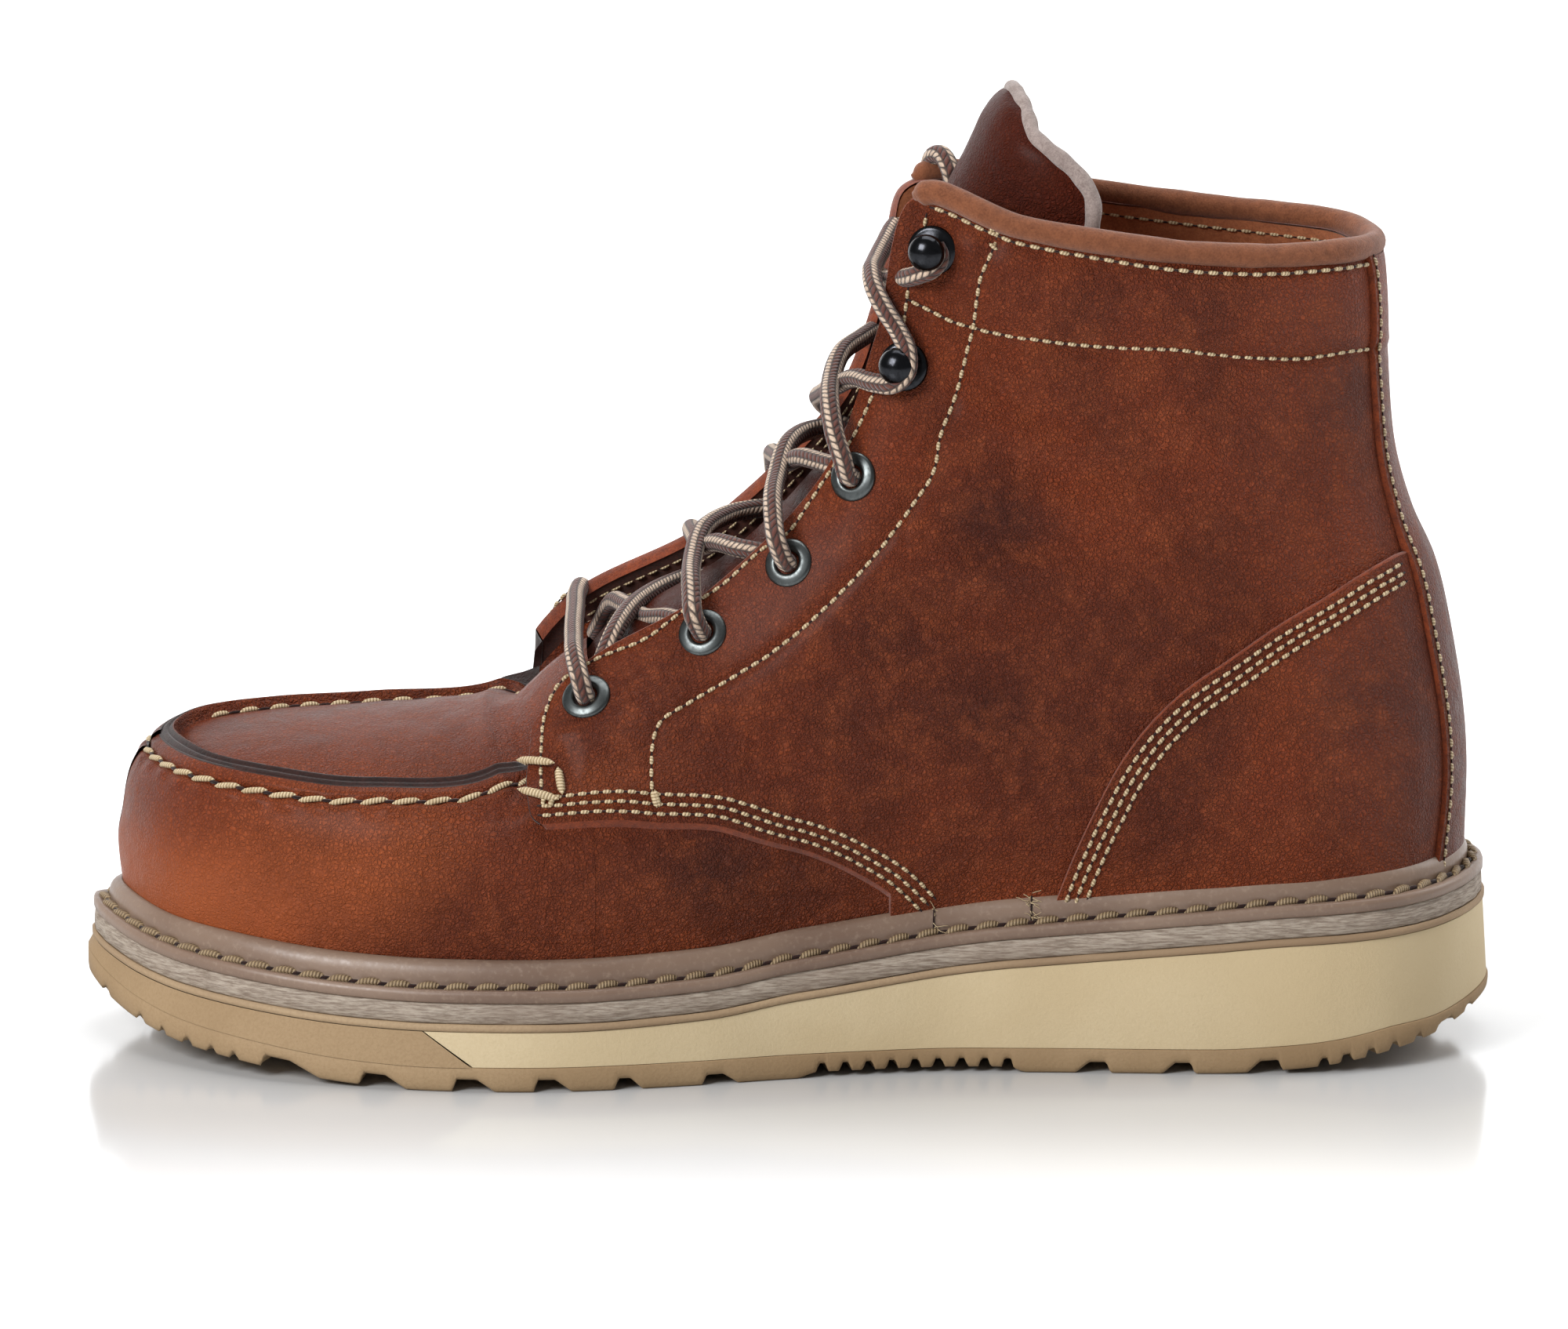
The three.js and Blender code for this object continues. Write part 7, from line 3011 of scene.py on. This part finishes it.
class Lace:
    """One lace, run crosswise through the eyelets and round the hooks."""

    def __init__(self, form: UpperForm, sight: Sight, fittings: Fittings) -> None:
        """Keep what the class works with."""
        self.form, self.sight, self.fittings = form, sight, fittings

    def run(self, name: str, mirrored: bool = False, rise: float = 0.0) -> np.ndarray:
        """Points of a strand, or of its mirror image, lifted or lowered where two strands cross.

        Args:
            name: Name of the strand.
            mirrored: Whether it is the other strand.
            rise: Lift at the crossing.

        Returns:
            Points in millimetres.
        """
        rows = np.array(LACE_RUNS[name], float)
        points = self.sight.at_depth(rows[:, :2], rows[:, 2])
        points[:, 2] += rise * bump(points[:, 1], 9.0)
        if mirrored:
            points[:, 1] *= -1
        return points

    def through(self, number: int, side: int, out: bool) -> np.ndarray:
        """Points through an eyelet, from the inside out or back.

        Args:
            number: Number of the eyelet, from the toe up.
            side: -1 for the outer side, 1 for the inner.
            out: Whether it runs from the inside out.

        Returns:
            Points in millimetres.
        """
        foot, axis = self.fittings.stand(EYELETS[number - 1], side)
        points = np.stack([foot - 4.2 * axis, foot - 1.0 * axis, foot + 2.4 * axis])
        return points if out else points[::-1]

    def route(self) -> np.ndarray:
        """The lace from its end at the near top hook to its end inside the far side.

        Returns:
            Points in millimetres.
        """
        up, down = CROSSING_GAP / 2, -CROSSING_GAP
        parts = [
            self.run("sixth")[::-1],
            self.run("fourth", rise=up)[::-1],
            self.through(4, -1, False),
            self.run("third", mirrored=True, rise=down)[::-1],
            self.through(3, 1, False),
            self.run("second", rise=up)[::-1],
            self.through(2, -1, False),
            self.run("under", mirrored=True, rise=1.5 * down)[::-1],
            self.through(1, 1, True),
            self.run("bar")[::-1],
            self.through(1, -1, False),
            self.run("under"),
            self.through(2, 1, True),
            self.run("second", mirrored=True, rise=down),
            self.through(3, -1, True),
            self.run("third", rise=up),
            self.through(4, 1, True),
            self.run("fifth", rise=down),
        ]
        return np.concatenate(parts)

    def build(self, finishes: Finishes, shift: float) -> None:
        """Write the braided lace.

        Args:
            finishes: The materials of the boot.
            shift: Move of the boot along X, in millimetres.
        """
        knots = self.route()
        rough = path_length(knots)
        path = smooth_path(knots, int(rough / 0.5))
        length = path_length(path)
        sides = 16
        grid, outward = tube_grid(path, LACE_RADIUS, sides, hint=(0.0, 1.0, 0.0))
        run = np.concatenate([[0], np.cumsum(np.linalg.norm(np.diff(path, axis=0), axis=1))])
        run = np.concatenate([run[:1], run, run[-1:]]) / (2 * LACE_RADIUS)
        turn = np.linspace(0, 1, sides + 1)
        seam = np.concatenate([grid, grid[:, :1]], 1)
        maker = MeshMaker("lace", shift)
        uv = np.stack(np.broadcast_arrays(turn[None], run[:, None]), -1)
        maker.grid(seam, outward=np.concatenate([outward, outward[:, :1]], 1), uv=uv)
        thing = maker.build([finishes.lace])
        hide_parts("lace_bar", *(f"lace_cross_{i}" for i in range(1, 6)))
        LOG.info("lace length between its ends: %.0f mm", length)


# The welt's seam: distance from its edge, height over it, and a stitch with its gap.
WELT_SEAM_INSET, WELT_SEAM_LIFT, WELT_PITCH = 3.9, 0.1, 6.6


# Camera, light and floor


# Name, place and aim in metres, size in metres, power in watts.
LIGHTS = (
    ("key", (-1.1, -1.2, 1.1), (0.0, 0.0, 0.08), (0.8, 0.8), 36.0),
    ("top", (0.1, 0.25, 1.5), (0.0, 0.0, 0.08), (1.3, 0.8), 15.0),
    ("rim", (1.3, 0.4, 0.9), (0.0, 0.0, 0.1), (0.5, 1.0), 9.0),
)
AMBIENT = 0.27


def flat_material(name: str, base: tuple[float, float, float], gloss: float) -> bpy.types.Material:
    """Even material of the stage, with white glow.

    Args:
        name: Name of the material.
        base: Base colour.
        gloss: Roughness of the finish.

    Returns:
        The material.
    """
    material = bpy.data.materials.new(name)
    material.use_nodes = True
    principled = material.node_tree.nodes["Principled BSDF"]
    principled.inputs["Base Color"].default_value = (*base, 1.0)
    principled.inputs["Roughness"].default_value = gloss
    principled.inputs["Emission Color"].default_value = (1.0, 1.0, 1.0, 1.0)
    return material


def floor_material() -> bpy.types.Material:
    """Glossy white floor, glowing away from the boot.

    Returns:
        The material.
    """
    material, shader, principled, place = Finishes.start("floor")
    parts = shader.node("ShaderNodeSeparateXYZ")
    shader.feed(parts.inputs[0], place)
    beside = []
    for axis, reach in (("X", 0.15), ("Y", 0.045)):
        outside = shader.math("SUBTRACT", shader.math("ABSOLUTE", parts.outputs[axis], 0.0), reach)
        beside.append(shader.math("POWER", shader.math("MAXIMUM", outside, 0.0), 2.0))
    distance = shader.math("SQRT", shader.math("ADD", beside[0], beside[1]), 0.0)
    principled.inputs["Base Color"].default_value = (0.57, 0.575, 0.58, 1.0)
    principled.inputs["Roughness"].default_value = 0.13
    principled.inputs["Emission Color"].default_value = (1.0, 1.0, 1.0, 1.0)
    shader.feed(principled.inputs["Emission Strength"], shader.ramp(distance, 0.02, 0.15, 0.0, 0.6))
    return material


def stage_sheet(
    name: str, corners: Sequence[tuple], material: bpy.types.Material, seen: bool = True
) -> None:
    """Four-sided sheet of the stage; one that isn't seen shows in reflections only.

    Args:
        name: Name of the sheet.
        corners: Its four corners, in metres.
        material: Its material.
        seen: Whether the camera sees it.
    """
    mesh = bpy.data.meshes.new(name)
    mesh.from_pydata(list(corners), [], [(0, 1, 2, 3)])
    mesh.materials.append(material)
    sheet = bpy.data.objects.new(name, mesh)
    sheet.visible_camera = seen
    bpy.context.scene.collection.objects.link(sheet)


def studio(sight: Sight, shift: float) -> None:
    """White floor and backdrop, soft lights and the photograph's camera.

    Args:
        sight: The view of the photograph.
        shift: Move of the boot along X, in millimetres.
    """
    bpy.context.scene.view_settings.view_transform = "Standard"
    world = bpy.data.worlds.new("studio")
    bpy.context.scene.world = world
    world.use_nodes = True
    background = world.node_tree.nodes["Background"]
    background.inputs["Color"].default_value = (1.0, 1.0, 1.0, 1.0)
    paths = world.node_tree.nodes.new("ShaderNodeLightPath")
    brightness = world.node_tree.nodes.new("ShaderNodeMath")
    brightness.operation = "MAXIMUM"
    brightness.inputs[1].default_value = AMBIENT
    world.node_tree.links.new(paths.outputs["Is Camera Ray"], brightness.inputs[0])
    world.node_tree.links.new(brightness.outputs[0], background.inputs["Strength"])
    floor = floor_material()
    stage_sheet("floor", ((-3, -3, 0), (3, -3, 0), (3, 1.7, 0), (-3, 1.7, 0)), floor)
    wall = flat_material("backdrop", (0.9, 0.9, 0.9), 0.9)
    wall.node_tree.nodes["Principled BSDF"].inputs["Emission Strength"].default_value = 0.85
    stage_sheet("backdrop", ((-3, 1.7, 0), (3, 1.7, 0), (3, 1.9, 1.5), (-3, 1.9, 1.5)), wall, False)
    for name, place, aim, size, power in LIGHTS:
        light = bpy.data.lights.new(name, "AREA")
        light.shape = "RECTANGLE"
        light.size, light.size_y = size
        light.energy = power
        lamp = bpy.data.objects.new(name, light)
        lamp.location = place
        from_to = np.array(aim) - np.array(place)
        lamp.rotation_mode = "QUATERNION"
        lamp.rotation_quaternion = mathutils.Vector(from_to).to_track_quat("-Z", "Y")
        bpy.context.scene.collection.objects.link(lamp)
    place, right, up, forward = sight.axes()
    camera = bpy.data.cameras.new("camera")
    camera.sensor_width = 36.0
    camera.lens = 36.0 * sight.distance * sight.scale / sight.frame[0]
    camera.clip_start, camera.clip_end = 0.1, 50.0
    view = bpy.data.objects.new("camera", camera)
    view.location = (place + [0, shift, 0]) * MM
    turn = mathutils.Matrix((right, up, -forward)).transposed()
    view.rotation_mode = "QUATERNION"
    view.rotation_quaternion = turn.to_quaternion()
    bpy.context.scene.collection.objects.link(view)
    bpy.context.scene.camera = view


def dress_insole(finishes: Finishes) -> None:
    """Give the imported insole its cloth.

    Args:
        finishes: The materials of the boot.
    """
    slots = bpy.data.objects["insole"].material_slots
    for slot in slots:
        slot.material = finishes.insole


def main() -> None:
    """Build the boot and the scene."""
    logging.basicConfig(level=logging.INFO, format="%(message)s")
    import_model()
    low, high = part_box("outsole")
    sole = SoleForm()
    around = sole.outline(np.linspace(0, 2 * np.pi, 2000))[:, 1]
    shift = 1000 * (low[1] + high[1]) / 2 - (around.min() + around.max()) / 2
    form = UpperForm(sole)
    sight = Sight()
    finishes = Finishes()
    stitcher = Stitcher(shift)
    upper = Upper(form, sight, finishes, stitcher, shift)
    stack = SoleStack(sole, form, finishes, shift)
    stack.outsole()
    stack.wedge()
    stack.lip_and_midsole()
    stack.welt()
    turns = sole.even_turns(900)
    round_turns = np.concatenate([turns, turns[:1] + 2 * np.pi])
    path = sole.ring(round_turns, WELT_SEAM_INSET, lambda x: sole.welt_top(x) + WELT_SEAM_LIFT)
    up = np.tile([0.0, 0.0, 1.0], (len(path), 1))
    stitcher.row(path, up, pitch=WELT_PITCH, fill=0.92, radius=1.0, tilt=0.9, heavy=True)
    upper.vamp()
    for side, label in ((-1, "outer"), (1, "inner")):
        upper.quarter(side, f"quarter_{label}_visual")
        upper.counter(side, f"counter_{label}_visual")
    upper.backstay()
    upper.seam_rows()
    upper.binding()
    upper.tongue()
    fittings = Fittings(form, finishes, shift)
    fittings.build()
    Lace(form, sight, fittings).build(finishes, shift)
    stitcher.build(finishes)
    dress_insole(finishes)
    studio(sight, shift)


if __name__ == "__main__":
    main()
